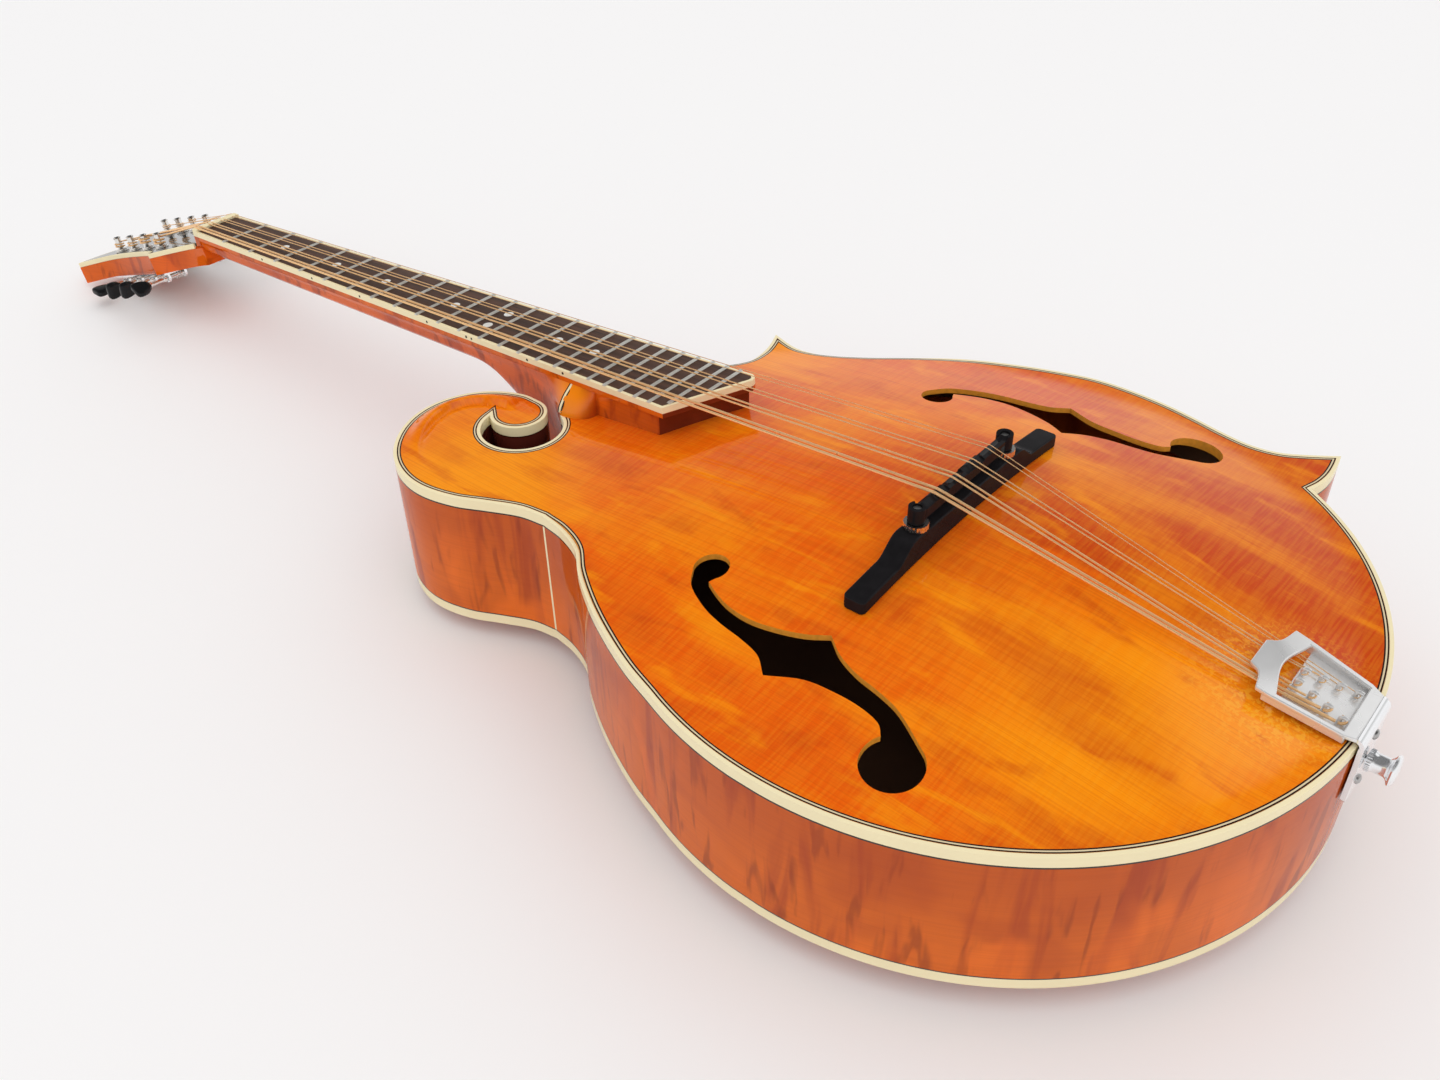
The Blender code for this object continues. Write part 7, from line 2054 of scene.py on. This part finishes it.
class MANDOCELLO_OT_studio(bpy.types.Operator):
    """Set the floor, lamps, even light and camera."""

    bl_idname = "mandocello.studio"
    bl_label = "Studio"

    def execute(self, context):
        settings = context.scene.mandocello_studio
        scene = context.scene
        scene.view_settings.view_transform = "Standard"
        mesh = bpy.data.meshes.new("floor")
        build = bmesh.new()
        bmesh.ops.create_grid(build, x_segments=2, y_segments=2, size=6.0)
        build.to_mesh(mesh)
        build.free()
        floor = bpy.data.objects.new("floor", mesh)
        scene.collection.objects.link(floor)
        floor.location.z = -0.0002
        paint = Finish("floor", 0.9)
        paint.coloured(tuple(settings.floor_colour))
        mesh.materials.append(paint.material)
        self.set_world(settings)
        self.add_sun("key", (math.radians(28), math.radians(-22)), settings.key_strength, 70)
        self.add_sun("fill", (math.radians(-20), math.radians(30)), settings.fill_strength, 100)
        camera = bpy.data.objects.new("camera", bpy.data.cameras.new("camera"))
        scene.collection.objects.link(camera)
        camera.data.lens = settings.lens
        camera.data.sensor_width = 36.0
        camera.data.clip_start = 0.01
        right, down, ahead = Vector(CAMERA_RIGHT), Vector(CAMERA_DOWN), Vector(CAMERA_AHEAD)
        turn = Matrix((right, -down, -ahead)).transposed().to_4x4()
        camera.matrix_world = INSTRUMENT @ Matrix.Translation(CAMERA_PLACE) @ turn
        scene.camera = camera
        return {"FINISHED"}

    def set_world(self, settings):
        """Even light, with a pale room to the camera and in reflections, darker overhead in reflections."""
        world = bpy.data.worlds.new("studio")
        bpy.context.scene.world = world
        world.use_nodes = True
        tree = world.node_tree
        tree.nodes.clear()
        white = (1.0, 1.0, 1.0, 1.0)
        even = add_node(tree, "Background", {"Color": white, "Strength": settings.sky_strength})
        place = add_node(tree, "TexCoord").outputs["Generated"]
        height = add_node(tree, "SeparateXYZ", {0: place}).outputs["Z"]
        window = {0: place, 1: WINDOW_DIRECTION}
        reach = add_node(tree, "VectorMath", window, operation="DISTANCE").outputs["Value"]
        levels = {}
        for number, (value, fall) in enumerate(((height, HORIZON_FALL), (reach, WINDOW_FALL))):
            inputs = {"Value": value, **dict(zip(("From Min", "From Max", "To Min", "To Max"), fall))}
            node = add_node(tree, "MapRange", inputs, interpolation_type="SMOOTHSTEP")
            levels[number] = node.outputs["Result"]
        brighter = add_node(tree, "Math", levels, operation="MAXIMUM").outputs["Value"]
        path = add_node(tree, "LightPath").outputs
        room = add_node(tree, "Mix", {"Factor": path["Is Glossy Ray"]}, data_type="RGBA")
        room.inputs[6].default_value = (*settings.backdrop_colour, 1.0)
        tree.links.new(brighter, room.inputs[7])
        seen = add_node(tree, "Background", {"Color": room.outputs[2], "Strength": 1.0})
        either = path["Is Camera Ray"]
        for name in ("Is Glossy Ray", "Is Transmission Ray"):
            either = add_node(tree, "Math", {0: either, 1: path[name]}, operation="MAXIMUM").outputs["Value"]
        shades = {"Fac": either, 1: even.outputs["Background"], 2: seen.outputs["Background"]}
        mix = add_node(tree, "MixShader", shades)
        add_node(tree, "OutputWorld", {"Surface": mix.outputs["Shader"]})

    def add_sun(self, name, tilt, strength, angle):
        """Broad lamp from overhead, tilted about X and Y, that leaves no sharp patch in the lacquer."""
        lamp = bpy.data.lights.new(name, "SUN")
        lamp.energy = strength
        lamp.angle = math.radians(angle)
        item = bpy.data.objects.new(name, lamp)
        bpy.context.scene.collection.objects.link(item)
        item.rotation_euler = (*tilt, 0.0)
        item.visible_glossy = False


# Add-on


class MANDOCELLO_PT_panel(bpy.types.Panel):
    """Lists the instrument's sizes, colours and steps."""

    bl_label = "Mandocello"
    bl_idname = "MANDOCELLO_PT_panel"
    bl_space_type = "VIEW_3D"
    bl_region_type = "UI"
    bl_category = "Mandocello"

    def draw(self, context):
        layout = self.layout
        scene = context.scene
        for group in (scene.mandocello_sizes, scene.mandocello_colours, scene.mandocello_studio):
            box = layout.box()
            for name in group.__annotations__:
                box.prop(group, name)
        for operator in OPERATORS:
            layout.operator(operator.bl_idname)


OPERATORS = (
    MANDOCELLO_OT_top,
    MANDOCELLO_OT_back,
    MANDOCELLO_OT_sides,
    MANDOCELLO_OT_inside,
    MANDOCELLO_OT_neck,
    MANDOCELLO_OT_board,
    MANDOCELLO_OT_head,
    MANDOCELLO_OT_bridge,
    MANDOCELLO_OT_tailpiece,
    MANDOCELLO_OT_tuners,
    MANDOCELLO_OT_strings,
    MANDOCELLO_OT_studio,
)
GROUPS = (MandocelloSizes, MandocelloColours, StudioSettings)


def register():
    """Register the settings, steps and panel."""
    for item in (*GROUPS, *OPERATORS, MANDOCELLO_PT_panel):
        bpy.utils.register_class(item)
    bpy.types.Scene.mandocello_sizes = PointerProperty(type=MandocelloSizes)
    bpy.types.Scene.mandocello_colours = PointerProperty(type=MandocelloColours)
    bpy.types.Scene.mandocello_studio = PointerProperty(type=StudioSettings)


def unregister():
    """Remove what register added."""
    del bpy.types.Scene.mandocello_studio
    del bpy.types.Scene.mandocello_colours
    del bpy.types.Scene.mandocello_sizes
    for item in reversed((*GROUPS, *OPERATORS, MANDOCELLO_PT_panel)):
        bpy.utils.unregister_class(item)


def main():
    """Build every piece."""
    register()
    bpy.ops.mandocello.top()
    bpy.ops.mandocello.back()
    bpy.ops.mandocello.sides()
    bpy.ops.mandocello.inside()
    bpy.ops.mandocello.neck()
    bpy.ops.mandocello.board()
    bpy.ops.mandocello.head()
    bpy.ops.mandocello.bridge()
    bpy.ops.mandocello.tailpiece()
    bpy.ops.mandocello.tuners()
    bpy.ops.mandocello.strings()
    bpy.ops.mandocello.studio()


if __name__ == "__main__":
    main()
